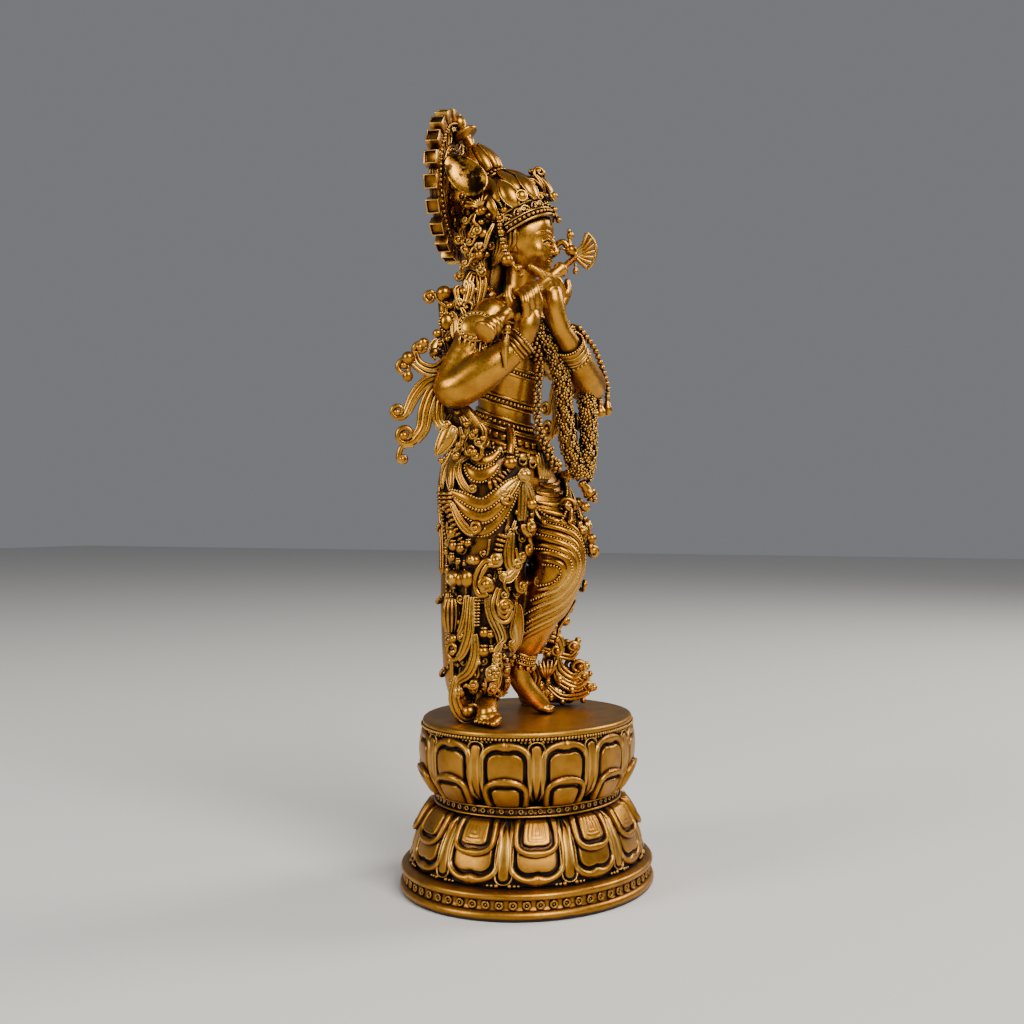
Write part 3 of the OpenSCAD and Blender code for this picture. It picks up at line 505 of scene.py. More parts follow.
class Form:
    """A mesh in the making, with the shapes that this object is built of."""

    def __init__(self) -> None:
        """Starts an empty form."""
        self.bm = bmesh.new()
        self.strands: list[tuple[list[Vector], bool]] = []

    def take(self, small: bmesh.types.BMesh) -> None:
        """Adds a small mesh to the form and frees it.

        Args:
            small: the mesh to add.
        """
        mesh = bpy.data.meshes.new("part")
        small.to_mesh(mesh)
        small.free()
        self.bm.from_mesh(mesh)
        bpy.data.meshes.remove(mesh)

    def add(self, other: "Form", turn: Matrix | None = None) -> None:
        """Adds another form, placed by a matrix.

        Args:
            other: the form to add; it stays as it is.
            turn: where it goes.
        """
        other.settle()
        small = other.bm.copy()
        if turn is not None:
            bmesh.ops.transform(small, matrix=turn, verts=small.verts)
            if turn.determinant() < 0:
                bmesh.ops.reverse_faces(small, faces=small.faces)
        self.take(small)

    def ball(
        self,
        at: Sequence[float],
        r: float,
        stretch: Sequence[float] = (1, 1, 1),
        turn: Matrix | None = None,
        fine: int = 3,
    ) -> None:
        """Adds an egg-shaped ball.

        Args:
            at: the centre.
            r: the radius.
            stretch: factors along its own axes.
            turn: a rotation for those axes.
            fine: the icosphere's level.
        """
        small = bmesh.new()
        place = Matrix.Translation(Vector(at)) @ (turn.to_4x4() if turn else Matrix()) @ Matrix.Diagonal((*stretch, 1))
        bmesh.ops.create_icosphere(small, subdivisions=fine, radius=r, matrix=place)
        self.take(small)

    def beads(
        self, path: Sequence[Vector], r: float, gap: float | None = None, closed: bool = False, fine: int = 2
    ) -> None:
        """Threads beads along a path.

        Args:
            path: the path's points.
            r: the bead's radius.
            gap: distance between beads' centres; touching beads without it.
            closed: whether the path returns to its start.
            fine: the icosphere's level.
        """
        small = bmesh.new()
        for at, _ in walk(path, gap or 2 * r, closed):
            bmesh.ops.create_icosphere(small, subdivisions=fine, radius=r, matrix=Matrix.Translation(at))
        self.take(small)

    def strand(self, points: Sequence[Sequence[float]], steps: int = 8, closed: bool = False) -> None:
        """Adds a round strand through points of x, y, z and radius."""
        self.strands.append((smooth_path(points, steps, closed), closed))

    def settle(self) -> None:
        """Turns the waiting strands into mesh."""
        if not self.strands:
            return
        data = bpy.data.curves.new("strands", "CURVE")
        data.dimensions = "3D"
        data.bevel_depth = 1.0
        data.bevel_resolution = 2
        data.use_fill_caps = True
        for path, closed in self.strands:
            spline = data.splines.new("POLY")
            spline.points.add(len(path) - 1)
            spline.use_cyclic_u = closed
            for point, place in zip(spline.points, path):
                point.co = (place[0], place[1], place[2], 1)
                point.radius = max(0.02, place[3])
        self.strands = []
        obj = bpy.data.objects.new("strands", data)
        mesh = bpy.data.meshes.new_from_object(obj)
        small = bmesh.new()
        small.from_mesh(mesh)
        weld(small)
        self.take(small)
        bpy.data.meshes.remove(mesh)
        bpy.data.objects.remove(obj)
        bpy.data.curves.remove(data)

    def limb(self, stations: Sequence[Sequence[float]], steps: int = 5, squash: float = 1.0) -> None:
        """Adds a closed run of balls and cones through points of x, y, z and radius.

        Args:
            stations: the limb's points.
            steps: samples between neighbouring points.
            squash: factor on the balls' depth along y.
        """
        small = bmesh.new()
        for p in smooth_path(stations, steps):
            place = Matrix.Translation(p[:3]) @ Matrix.Diagonal((1, squash, 1, 1))
            bmesh.ops.create_icosphere(small, subdivisions=3, radius=max(p[3], 0.05), matrix=place)
        self.take(small)

    def turned(self, profile: Sequence[tuple[float, float]], place: Matrix, sides: int = 32) -> None:
        """Adds a turned shape from a profile of radius and height.

        Args:
            profile: the outline from the lower axis end to the upper.
            place: where the axis +Z goes.
            sides: steps round the axis.
        """
        small = bmesh.new()
        verts = [small.verts.new((max(r, 0.0), 0, z)) for r, z in profile]
        edges = [small.edges.new(pair) for pair in zip(verts, verts[1:])]
        lathe(small, verts + edges, sides)
        bmesh.ops.transform(small, matrix=place, verts=small.verts)
        self.take(small)

    def cube(self, place: Matrix, size: Sequence[float], bevel: float) -> None:
        """Adds a block with rounded edges.

        Args:
            place: the block's centre and turn.
            size: its three sizes.
            bevel: the width of its rounded edges.
        """
        small = bmesh.new()
        bmesh.ops.create_cube(small, size=1.0, matrix=Matrix.Diagonal((*size, 1)))
        bmesh.ops.bevel(
            small, geom=list(small.edges), offset=bevel, offset_type="OFFSET", affect="EDGES",
            segments=2, profile=0.5, material=-1,
        )
        bmesh.ops.transform(small, matrix=place, verts=small.verts)
        self.take(small)

    def hoop_bead(self, place: Matrix, r: float, thick: float, sides: int = 14) -> None:
        """Adds a small ring lying across its place's +Z.

        Args:
            place: the ring's centre and turn.
            r: the radius of its middle line.
            thick: the radius of its wire.
            sides: steps round the ring.
        """
        small = bmesh.new()
        section = Matrix.Translation((r, 0, 0)) @ Matrix.Rotation(pi / 2, 4, "X")
        wire = bmesh.ops.create_circle(small, segments=6, radius=thick, matrix=section)["verts"]
        lathe(small, wire + list({edge for vert in wire for edge in vert.link_edges}), sides)
        bmesh.ops.transform(small, matrix=place, verts=small.verts)
        self.take(small)

    def fuse(self, voxel: float, smooth: int) -> None:
        """Fuses everything in the form into one smooth skin.

        Args:
            voxel: the size of the fused skin's cells.
            smooth: smoothing passes.
        """
        self.settle()
        mesh = bpy.data.meshes.new("fusing")
        self.bm.to_mesh(mesh)
        obj = show("fusing", mesh)
        remesh = obj.modifiers.new("skin", "REMESH")
        remesh.mode = "VOXEL"
        remesh.voxel_size = voxel
        soften = obj.modifiers.new("soften", "SMOOTH")
        soften.iterations = smooth
        soften.factor = 0.5
        graph = bpy.context.evaluated_depsgraph_get()
        done = bpy.data.meshes.new_from_object(obj.evaluated_get(graph))
        self.bm.free()
        self.bm = bmesh.new()
        self.bm.from_mesh(done)
        bpy.data.objects.remove(obj)
        bpy.data.meshes.remove(mesh)
        bpy.data.meshes.remove(done)

    def shape(self, rule: Callable[[Vector, Vector], Vector]) -> None:
        """Moves every vertex by a rule of its place and normal.

        Args:
            rule: gives the new place.
        """
        self.bm.normal_update()
        moved = [rule(v.co.copy(), v.normal.copy()) for v in self.bm.verts]
        for vert, place in zip(self.bm.verts, moved):
            vert.co = place
        self.bm.normal_update()

    def finish(
        self, name: str, node: str, finish: Finish = Finish.ORNAMENT, place: Place = Place.FIGURE
    ) -> None:
        """Makes the form a finished piece that rides on the object's body.

        Args:
            name: the piece's name.
            node: the CAD node that it stands for.
            finish: its finish.
            place: the frame that it was modelled in.
        """
        self.settle()
        bmesh.ops.transform(self.bm, matrix=place.value, verts=self.bm.verts)
        for face in self.bm.faces:
            face.smooth = True
        mesh = bpy.data.meshes.new(name)
        self.bm.to_mesh(mesh)
        self.bm.free()
        obj = show(name, mesh)
        mesh.materials.append(finish.material())
        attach(obj, "root")
        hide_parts(node)
        log.info("%s: %d faces", name, len(mesh.polygons))


# Pedestal.


@dataclass
class Oval:
    """The family of ovals that the pedestal's sections follow, stepped by length of edge."""

    ratio: float
    steps: int = 720
    table: list[float] = field(default_factory=list)

    def __post_init__(self) -> None:
        """Measures the unit oval's edge."""
        run = 0.0
        self.table = [0.0]
        for i in range(self.steps):
            a, b = (Vector(self.corner(tau * k / self.steps, 1.0)) for k in (i, i + 1))
            run += (b - a).length
            self.table.append(run)

    def corner(self, angle: float, r: float) -> tuple[float, float]:
        """Gives a point of the oval of half depth r."""
        return (self.ratio * r * cos(angle), r * sin(angle))

    @property
    def edge(self) -> float:
        """Gives the length of the unit oval's edge."""
        return self.table[-1]

    def angle(self, share: float) -> float:
        """Gives the angle at a share of the way round, counted from the front.

        Args:
            share: 0 to 1 round the oval.

        Returns:
            The angle in radians.
        """
        want = ((share + 0.75) % 1.0) * self.edge
        low, high = 0, self.steps
        while high - low > 1:
            mid = (low + high) // 2
            if self.table[mid] <= want:
                low = mid
            else:
                high = mid
        t = (want - self.table[low]) / (self.table[high] - self.table[low])
        return tau * (low + t) / self.steps

    def at(self, share: float, r: float) -> tuple[Vector, Vector]:
        """Gives a point on the oval and the way out of it.

        Args:
            share: 0 to 1 round the oval.
            r: the oval's half depth.

        Returns:
            The point and the outward direction, both level.
        """
        angle = self.angle(share)
        x, y = self.corner(angle, r)
        out = Vector((cos(angle), self.ratio * sin(angle), 0)).normalized()
        return Vector((x, y, 0)), out


@dataclass(frozen=True)
class Petal:
    """One petal's sizes, in millimetres along and across the casting."""

    length: float
    root: float
    width: float
    tip: float
    rim: float
    groove: float
    stand: float
    lift: float
    cusp: float = 0.0
    rows: int = 44
    columns: int = 30
    lines: float = 0.0

    def half(self, s: float) -> float:
        """Gives the half width at a distance from the root.

        Args:
            s: the distance from the root.

        Returns:
            The half width.
        """
        grow = min(1.0, s / (self.length * 0.62))
        wide = lerp(self.root, self.width, sin(grow * pi / 2))
        past = (s - (self.length - self.tip)) / self.tip
        if past > 0:
            wide *= max(0.0, 1 - min(1.0, past) ** 2.3) ** (1 / 2.3)
        return wide

    def outline(self) -> list[tuple[float, float]]:
        """Gives points along the petal's free edge."""
        steps = [self.length * (1 - (1 - k / 130) ** 2) for k in range(131)]
        side = [(self.half(s), s) for s in steps]
        return side + [(-x, s) for x, s in side]

    def relief(self, x: float, s: float, edge: list[tuple[float, float]]) -> float:
        """Gives the height of the petal's face.

        Args:
            x: place across.
            s: place along.
            edge: the outline.

        Returns:
            The height over the petal's foot.
        """
        d = min(hypot(x - ex, s - es) for ex, es in edge)
        near_tip = max(0.0, min(1.0, (s - self.length + 4.5) / 2.5))
        rim = self.rim + self.cusp * near_tip * exp(-((x / 1.5) ** 2))
        if d < rim:
            crease = 0.12 * near_tip * exp(-((x / 0.35) ** 2)) * min(1.0, self.cusp)
            return self.stand * (0.3 + 0.7 * sin(pi * min(1.0, 0.06 + 0.94 * d / rim)) ** 0.5) - crease
        if d < rim + self.groove:
            return self.stand * -0.3
        rise = min(1.0, (d - rim - self.groove) / 0.3)
        nested = self.lines * cos(tau * d / 0.8) if d > rim + self.groove + 0.5 else 0.0
        return self.stand * lerp(-0.3, 0.82, sin(rise * pi / 2)) + 0.04 * min(d, 3.0) + nested


@dataclass
class Pedestal:
    """The oval pedestal: plinth, two lotus rows, beaded waist and top plate."""

    petals: int = 12
    waist_rings: int = 66
    plinth_rings: int = 64

    def __post_init__(self) -> None:
        """Reads the levels from the frame."""
        low, high = box_mm("plinth_ring")
        self.oval = Oval((high.x - low.x) / (high.y - low.y))
        self.foot_r = high.y
        self.plinth_h = high.z
        self.waist_z = box_mm("waist_band")[0].z
        self.waist_top = box_mm("waist_band")[1].z
        self.lip_r = box_mm("waist_band")[1].y
        self.plate_low = box_mm("top_plate")[0].z
        self.plate_r = box_mm("top_plate")[1].y
        self.waist_r = self.lip_r - 0.5

    def moulding(self, profile: Sequence[tuple[float, float]], sides: int = 144) -> Form:
        """Turns a profile of half depth and height and stretches it into the oval.

        Args:
            profile: the outline, closed on itself.
            sides: steps round.

        Returns:
            The form.
        """
        form = Form()
        small = bmesh.new()
        verts = [small.verts.new((r, 0, z)) for r, z in profile]
        edges = [small.edges.new(pair) for pair in zip(verts, verts[1:] + verts[:1])]
        lathe(small, verts + edges, sides)
        bmesh.ops.scale(small, vec=(self.oval.ratio, 1, 1), verts=small.verts)
        form.take(small)
        return form

    def rounded(self, r: float, low: float, high: float, bulge: float) -> list[tuple[float, float]]:
        """Gives a rounded band's outer points from low to high.

        Args:
            r: half depth of the band's edges.
            low: its lower height.
            high: its upper height.
            bulge: how far its middle stands out.

        Returns:
            Half depth and height of each point.
        """
        steps = 8
        out = []
        for k in range(steps + 1):
            a = pi * (k / steps - 0.5)
            out.append((r + bulge * cos(a), lerp(low, high, 0.5 + 0.5 * sin(a))))
        return out

    def plinth(self) -> None:
        """Makes the plinth with its rounded foot, groove and lip."""
        groove_low, groove_top = self.plinth_h * 0.35, self.plinth_h * 0.69
        inner = self.foot_r - 5.0
        profile = (
            [(inner, 0.0)]
            + self.rounded(self.foot_r - 0.9, 0.0, groove_low, 0.9)
            + [(self.foot_r - 1.25, groove_low + 0.1), (self.foot_r - 1.25, groove_top - 0.1)]
            + self.rounded(self.foot_r - 1.1, groove_top, self.plinth_h - 0.35, 0.8)
            + [(self.foot_r - 2.2, self.plinth_h), (inner, self.plinth_h)]
        )
        form = self.moulding(profile)
        form.finish("plinth", "plinth_ring", Finish.PEDESTAL, Place.PEDESTAL)

    def ring_row(self, name: str, node: str, count: int, r: float, z: float, size: float) -> None:
        """Makes a row of small rings round the oval.

        Args:
            name: the piece's name.
            node: the CAD node that it stands for.
            count: how many rings.
            r: half depth of the oval that they lie on.
            z: their height.
            size: a ring's outer radius.
        """
        form = Form()
        for k in range(count):
            at, out = self.oval.at((k + 0.5) / count, r)
            place = facing(at + above(z), out)
            form.hoop_bead(place, size * 0.68, size * 0.32)
            form.ball(place @ above(-0.05), size * 0.26, fine=1)
        form.finish(name, node, Finish.PEDESTAL, Place.PEDESTAL)

    def wrap(self, form: Form, petal: Petal, share: float, line: list[Vector], up: bool) -> None:
        """Bends a petal onto the casting.

        Args:
            form: the form that takes it.
            petal: the petal's sizes.
            share: the petal's place round the oval.
            line: the casting's outline as points of half depth and height, from the waist outwards.
            up: whether outside normals come from an upward row.
        """
        small = bmesh.new()
        bmesh.ops.create_grid(small, x_segments=petal.columns, y_segments=petal.rows, size=1.0)
        edge = petal.outline()
        foot = -0.6
        steps = [0.0]
        for a, b in zip(line, line[1:]):
            steps.append(steps[-1] + (b - a).length)

        def lay(x: float, s: float, h: float) -> Vector:
            """Places a point of the flat petal on the casting.

            Args:
                x: place across.
                s: place along.
                h: height over the casting.

            Returns:
                The point.
            """
            s = max(0.0, min(s, steps[-1]))
            i = max(k for k in range(len(steps) - 1) if steps[k] <= s)
            t = (s - steps[i]) / (steps[i + 1] - steps[i])
            spot = line[i].lerp(line[i + 1], t)
            slope = (line[i + 1] - line[i]).normalized()
            normal = Vector((slope.y, -slope.x)) if up else Vector((-slope.y, slope.x))
            r, z = spot.x + h * normal.x, spot.y + h * normal.y
            at, _ = self.oval.at(share + x / (self.oval.edge * spot.x), r)
            return at + above(z)

        cache: dict[tuple[float, float], float] = {}
        for vert in small.verts:
            a, b = vert.co.x, (vert.co.y + 1) / 2
            s = petal.length * (1 - (1 - b) ** 1.8)
            x = a * petal.half(s)
            key = (round(abs(a), 4), round(b, 4))
            if key not in cache:
                cache[key] = petal.relief(abs(x), s, edge)
            h = (cache[key] + petal.lift) * min(1.0, 0.12 + s / (0.28 * petal.length))
            point = 0.35 * petal.cusp * exp(-((x / 1.4) ** 2)) * b**3
            vert.co = lay(x, s + point, h)
        rim = [e for e in small.edges if e.is_boundary]
        grown = bmesh.ops.extrude_edge_only(small, edges=rim)
        skirt = [g for g in grown["geom"] if isinstance(g, bmesh.types.BMVert)]
        for vert in skirt:
            inward = Vector((vert.co.x, vert.co.y, 0)).normalized()
            vert.co -= inward * (petal.stand + petal.lift - foot)
        bottom = [e for e in small.edges if e.is_boundary]
        bmesh.ops.holes_fill(small, edges=bottom)
        weld(small, 0.004)
        form.take(small)

    def lotus(self, up: bool) -> None:
        """Makes one lotus row with its core, petals, stems and pearls.

        Args:
            up: the upper row, whose petals point up, or else the lower.
        """
        if up:
            root_z, tip_z = self.waist_top, self.plate_low
            shape = [(0.0, 0.0), (1.6, 0.12), (3.1, 0.27), (4.0, 0.42), (4.35, 0.58), (4.25, 0.76), (3.6, 1.0)]
        else:
            root_z, tip_z = self.waist_z, self.plinth_h
            shape = [(0.0, 0.0), (1.2, 0.1), (3.2, 0.28), (5.0, 0.5), (6.2, 0.74), (6.9, 1.0)]
        core = [(self.waist_r - 1.5 + out * 0.92, lerp(root_z, tip_z, rise), 0) for out, rise in shape]
        line = [Vector((p.x, p.y)) for p in smooth_path(core, 6)]
        inner = self.waist_r - 4.5
        form = self.moulding([(inner, root_z)] + [(p.x, p.y) for p in line] + [(inner, tip_z)], 96)
        run = sum((b - a).length for a, b in zip(line, line[1:]))
        shift = 0.5 if up else 0.0
        length, root, width = (run - 0.6, 4.2, 6.35) if up else (run - 0.5, 4.6, 6.8)
        big = Petal(
            length, root, width, tip=5.0, rim=1.7, groove=0.5, stand=1.4, lift=0.0, cusp=0.9, rows=48, columns=56
        )
        small = Petal(
            run * (0.5 if up else 0.6), 3.9, 4.9, tip=3.0, rim=1.3, groove=0.5, stand=1.25, lift=1.15, cusp=0.3,
            rows=44, columns=44, lines=0.0 if up else 0.06,
        )
        stem = Petal(run * 0.97, 0.5, 2.1, tip=2.2, rim=0.5, groove=0.3, stand=0.9, lift=0.45, rows=40, columns=16)
        for k in range(self.petals):
            self.wrap(form, stem, (k + shift + 0.5) / self.petals, line, up)
            self.wrap(form, big, (k + shift) / self.petals, line, up)
            self.wrap(form, small, (k + shift) / self.petals, line, up)
        self.gap_pearls(form, line, up, shift)
        node = "upper_lotus" if up else "lower_lotus"
        form.finish(node + "_casting", node, Finish.PEDESTAL, Place.PEDESTAL)

    def gap_pearls(self, form: Form, line: list[Vector], up: bool, shift: float) -> None:
        """Adds the small pearls between the petals' tips.

        Args:
            form: the form that takes them.
            line: the casting's outline.
            up: the upper row or the lower.
            shift: the petals' offset in steps.
        """
        end = line[-1]
        z = end.y - 0.5 if up else end.y + 0.6
        r = end.x + (0.9 if up else 1.0)
        for k in range(self.petals):
            for side, size in ((-1.9, 0.42), (-1.1, 0.55), (1.1, 0.55), (1.9, 0.42), (2.6, 0.34), (-2.6, 0.34)):
                share = (k + shift + 0.5) / self.petals + side * 1.35 / (self.oval.edge * r)
                at, _ = self.oval.at(share, r)
                form.ball(at + above(z), size, fine=2)

    def waist(self) -> None:
        """Makes the waist band between the lotus rows."""
        high = self.waist_top - self.waist_z
        lip = high * 0.24
        inner = self.waist_r - 4.5
        profile = (
            [(inner, self.waist_z)]
            + self.rounded(self.lip_r - 0.45, self.waist_z, self.waist_z + lip, 0.45)
            + [(self.lip_r - 0.95, self.waist_z + lip), (self.lip_r - 0.95, self.waist_top - lip)]
            + self.rounded(self.lip_r - 0.45, self.waist_top - lip, self.waist_top, 0.45)
            + [(inner, self.waist_top)]
        )
        self.moulding(profile).finish("waist_moulding", "waist_band", Finish.PEDESTAL, Place.PEDESTAL)
        mid = (self.waist_z + self.waist_top) / 2
        self.ring_row("waist_rings", "waist_beads", self.waist_rings, self.lip_r - 0.75, mid, high * 0.25)

    def plate(self) -> None:
        """Makes the smooth top plate."""
        top = PLATE_Z
        edge = self.rounded(self.plate_r - 0.7, self.plate_low, top, 0.7)
        profile = [(0.0, self.plate_low)] + edge + [(self.plate_r - 1.6, top), (self.plate_r - 8, top), (0.0, top)]
        form = Form()
        form.turned(profile, Matrix.Diagonal((self.oval.ratio, 1, 1, 1)), 144)
        form.finish("plate_top", "top_plate", Finish.PLATE, Place.PEDESTAL)

    def edge_pearls(self) -> None:
        """Makes the fine line of pearls under the plate's edge."""
        form = Form()
        r = self.plate_r + 0.1
        path = [self.oval.at(k / 240, r)[0] + above(self.plate_low + 0.15) for k in range(240)]
        form.beads(path, 0.36, 0.86, closed=True)
        form.finish("plate_edge_pearls", "plate_pearls", Finish.PEDESTAL, Place.PEDESTAL)

    def build(self) -> None:
        """Makes every piece of the pedestal."""
        self.plinth()
        self.ring_row(
            "plinth_rings", "plinth_beads", self.plinth_rings, self.foot_r - 1.15, self.plinth_h * 0.52, 1.1
        )
        self.lotus(False)
        self.waist()
        self.lotus(True)
        self.plate()
        self.edge_pearls()


# Carving on the body.


def clock(turn: float) -> Vector:
    """Gives the level direction at a turn."""
    a = radians(turn)
    return Vector((-sin(a), -cos(a), 0))


@dataclass
class Skin:
    """The clothed body that ornaments are laid on, found by turn and height."""

    forms: Sequence[Form]
    leap: float = 3.2
    axis: Sequence[Point] = (
        (-9, 8, 0), (-8, 8, 28), (-5, 6.5, 45), (-1, 7.5, 60), (-1, 6, 75), (-1.5, 4, 90), (-3, 1, 104), (-3, 1, 120)
    )

    def __post_init__(self) -> None:
        """Joins the forms into one search tree."""
        joined = Form()
        for form in self.forms:
            joined.add(form)
        self.tree = BVHTree.FromBMesh(joined.bm)
        joined.bm.free()

    def middle(self, z: float) -> Vector:
        """Gives the body's middle at a height."""
        for a, b in zip(self.axis, self.axis[1:]):
            if z <= b[2]:
                t = max(0.0, (z - a[2]) / (b[2] - a[2]))
                return Vector((lerp(a[0], b[0], t), lerp(a[1], b[1], t), z))
        return Vector((*self.axis[-1][:2], z))

    def at(self, turn: float, z: float, out: float = 0.0) -> tuple[Vector, Vector]:
        """Finds a point of the surface.

        Args:
            turn: degrees from the front towards the figure's right.
            z: height.
            out: how far outside the surface the point lies.

        Returns:
            The point and the way out.
        """
        way = clock(turn)
        mid = self.middle(z)
        hit, normal, _, _ = self.tree.ray_cast(mid + way * 60, -way)
        if hit is None or (hit - mid).dot(way) < 1:
            hit, normal = mid + way * 6, way
        normal = (normal + way * 1.2).normalized()
        return hit + normal * out, normal

    def run(self, points: Sequence[Sequence[float]], out: float, steps: int = 7, hand: int = 1) -> Trail:
        """Lays a smooth path on the surface.

        Args:
            points: turn, height and, if wanted, a lift of its own.
            out: the path's distance outside the surface.
            steps: samples between neighbouring points.
            hand: 1 for the figure's right side, -1 for its left.

        Returns:
            Each sample's place and the way out there, for the longest part without a leap.
        """
        full = [(hand * p[0], p[1], p[2] if len(p) > 2 else 0.0) for p in points]
        found = [self.at(p.x, p.y, out + p.z) for p in smooth_path(full, steps)]
        parts = [[found[0]]]
        for a, b in zip(found, found[1:]):
            if (b[0] - a[0]).length > self.leap:
                parts.append([])
            parts[-1].append(b)
        spots = max(parts, key=len)
        eased = []
        for i, (place, way) in enumerate(spots):
            near = spots[max(0, i - 2) : i + 3]
            mean = sum((s[0] for s in near), Vector()) / len(near)
            push = max(0.0, (place - mean).dot(way)) if 0 < i < len(spots) - 1 else 0.0
            eased.append((mean + way * push, sum((s[1] for s in near), Vector()).normalized()))
        return eased

    def ring(self, z: float, slope: float, out: float) -> Trail:
        """Lays a ring on the body in a plane that dips towards the front.

        Args:
            z: the plane's height at the body's middle.
            slope: rise per millimetre towards the back.
            out: distance outside the surface.

        Returns:
            Each sample's place and the way out there.
        """
        mid = self.middle(z)
        spots = []
        for k in range(RING_STEPS):
            turn, high = 360 * k / RING_STEPS, z
            for _ in range(4):
                place, way = self.at(turn, high, out)
                high = z + slope * (place.y - mid.y)
            spots.append((place, way))
        eased = []
        for k, (_, way) in enumerate(spots):
            near = [spots[(k + j) % RING_STEPS][0] for j in range(-3, 4)]
            eased.append((sum(near, Vector()) / len(near), way))
        return eased


def straight(points: Sequence[Sequence[float]], way: Sequence[float], steps: int = 7) -> Trail:
    """Makes a free path with one way out."""
    out = Vector(way).normalized()
    return [(p, out) for p in smooth_path([p[:3] for p in points], steps)]


def moves(start: Vector, *steps: Sequence[float], hand: int = 1) -> list[Vector]:
    """Gives points from their steps away from a start; the hand -1 mirrors them."""
    return [start + Vector((hand * x, y, z)) for x, y, z in steps]


class Carving(Form):
    """A form with the cast ornaments that cover the figure."""

    def sweep(
        self, path: Trail, width: Callable[[float], float], thick: Callable[[float], float], sides: int = 8
    ) -> None:
        """Sweeps a lens-shaped section along a path and closes its ends.

        Args:
            path: places and ways out.
            width: half width at a share of the way along.
            thick: half thickness at a share of the way along.
            sides: steps round the section.
        """
        small = bmesh.new()
        ring = bmesh.ops.create_circle(small, segments=sides, radius=1.0)["verts"]
        home = [v.co.copy() for v in ring]
        first = list(ring)
        last = len(path) - 1
        for i, (place, way) in enumerate(path):
            if i:
                edges = [e for e in {e for v in ring for e in v.link_edges} if all(v in ring for v in e.verts)]
                source = {v: k for k, v in enumerate(ring)}
                made = bmesh.ops.extrude_edge_only(small, edges=edges)
                fresh = [g for g in made["geom"] if isinstance(g, bmesh.types.BMVert)]
                order: list = [None] * len(ring)
                for vert in fresh:
                    for edge in vert.link_edges:
                        other = edge.other_vert(vert)
                        if other in source:
                            order[source[other]] = vert
                ring = order
            along = heading(path, i)
            side = way.cross(along).normalized()
            up = along.cross(side).normalized()
            t = i / last
            for vert, co in zip(ring, home):
                vert.co = place + side * co.x * width(t) + up * co.y * thick(t)
        bmesh.ops.contextual_create(small, geom=first)
        bmesh.ops.contextual_create(small, geom=ring)
        weld(small)
        self.take(small)

    def leaf(
        self, path: Trail, width: float, thick: float, rib: float = 0.0, rim: float = 0.0
    ) -> None:
        """Adds a leaf along a path.

        Args:
            path: places and ways out.
            width: its greatest half width.
            thick: its greatest half thickness.
            rib: radius of a raised middle line.
            rim: radius of a raised rim.
        """

        def wide(t: float) -> float:
            """Gives the half width along the leaf."""
            return max(0.04, width * sin(pi * min(1, max(0, t * 0.94 + 0.05)) ** 0.85) ** 0.75)

        self.sweep(path, wide, lambda t: max(0.04, thick * sin(pi * (0.05 + 0.9 * t)) ** 0.5), 12)
        count = len(path) - 1
        if rib:
            self.strand([(*(p + n * thick * 0.8), rib * (1.2 - t / count)) for t, (p, n) in enumerate(path)][::2], 2)
        if rim:
            for hand in (-1, 1):
                line = []
                for i in range(0, count + 1, 2):
                    p, n = path[i]
                    edge = n.cross(heading(path, i)) * hand * wide(i / count)
                    line.append((*(p + edge + n * thick * 0.3), rim))
                self.strand(line, 3)

    def curl(
        self, end: tuple[Vector, Vector], along: Vector, size: float, hand: int, turns: float
    ) -> list[Vector]:
        """Gives the points of a volute that goes on from a path's end.

        Args:
            end: the place and the way out at the path's end.
            along: the path's direction there.
            size: the volute's size.
            hand: which way it curls.
            turns: how many turns it makes.

        Returns:
            The points.
        """
        place, way = end
        size *= 1.22
        side = way.cross(along).normalized() * hand
        centre = place + side * size
        out = []
        count = int(14 * turns)
        for k in range(1, count + 1):
            t = k / count
            a = tau * turns * t
            r = size * (1 - 0.74 * t)
            out.append(centre + (-side * cos(a) + along * sin(a)) * r + way * size * 0.16 * t)
        return out

    def tendril(
        self,
        path: Trail,
        wire: float,
        curl: float = 0.0,
        hand: int = 1,
        first: float = 0.0,
        first_hand: int = 1,
        lines: int = 1,
        ball: float = 1.5,
        turns: float = 1.15,
    ) -> None:
        """Adds a strand that may curl into a volute at either end.

        Args:
            path: places and ways out.
            wire: the strand's radius.
            curl: radius of the volute at the path's end.
            hand: which way that volute curls.
            first: radius of a volute at the path's start.
            first_hand: which way that volute curls.
            lines: how many strands run side by side.
            ball: radius of the ball in a volute, in wire radii.
            turns: how far a volute turns.
        """
        last = len(path) - 1
        tail = head = []
        if curl:
            tail = self.curl(path[-1], heading(path, last), curl, hand, turns)
            self.ball(tail[-1], wire * ball * 0.82, fine=2)
        if first:
            head = self.curl(path[0], -heading(path, 0), first, first_hand, turns)[::-1]
            self.ball(head[0], wire * ball * 0.82, fine=2)
        for line in range(lines):
            shift = (line - (lines - 1) / 2) * wire * 1.3
            thick = wire * (0.95 if abs(shift) < 0.01 else 0.66)
            pts = []
            for i, (p, n) in enumerate(path):
                spread = sin(pi * (0.18 + 0.64 * i / last))
                size = thick if first else thick * lerp(0.7, 1, min(1, 2.5 * i / last))
                pts.append((*(p + n.cross(heading(path, i)) * shift * spread), size))
            inner = line == lines // 2
            if tail and inner:
                pts += [(*p, wire * lerp(0.9, 0.46, k / len(tail))) for k, p in enumerate(tail)]
            elif not inner or not tail:
                pts[-1] = (*pts[-1][:3], thick * 0.4)
            if head and inner:
                pts = [(*p, wire * lerp(0.46, 0.9, k / len(head))) for k, p in enumerate(head)] + pts
            self.strand(pts, 2)

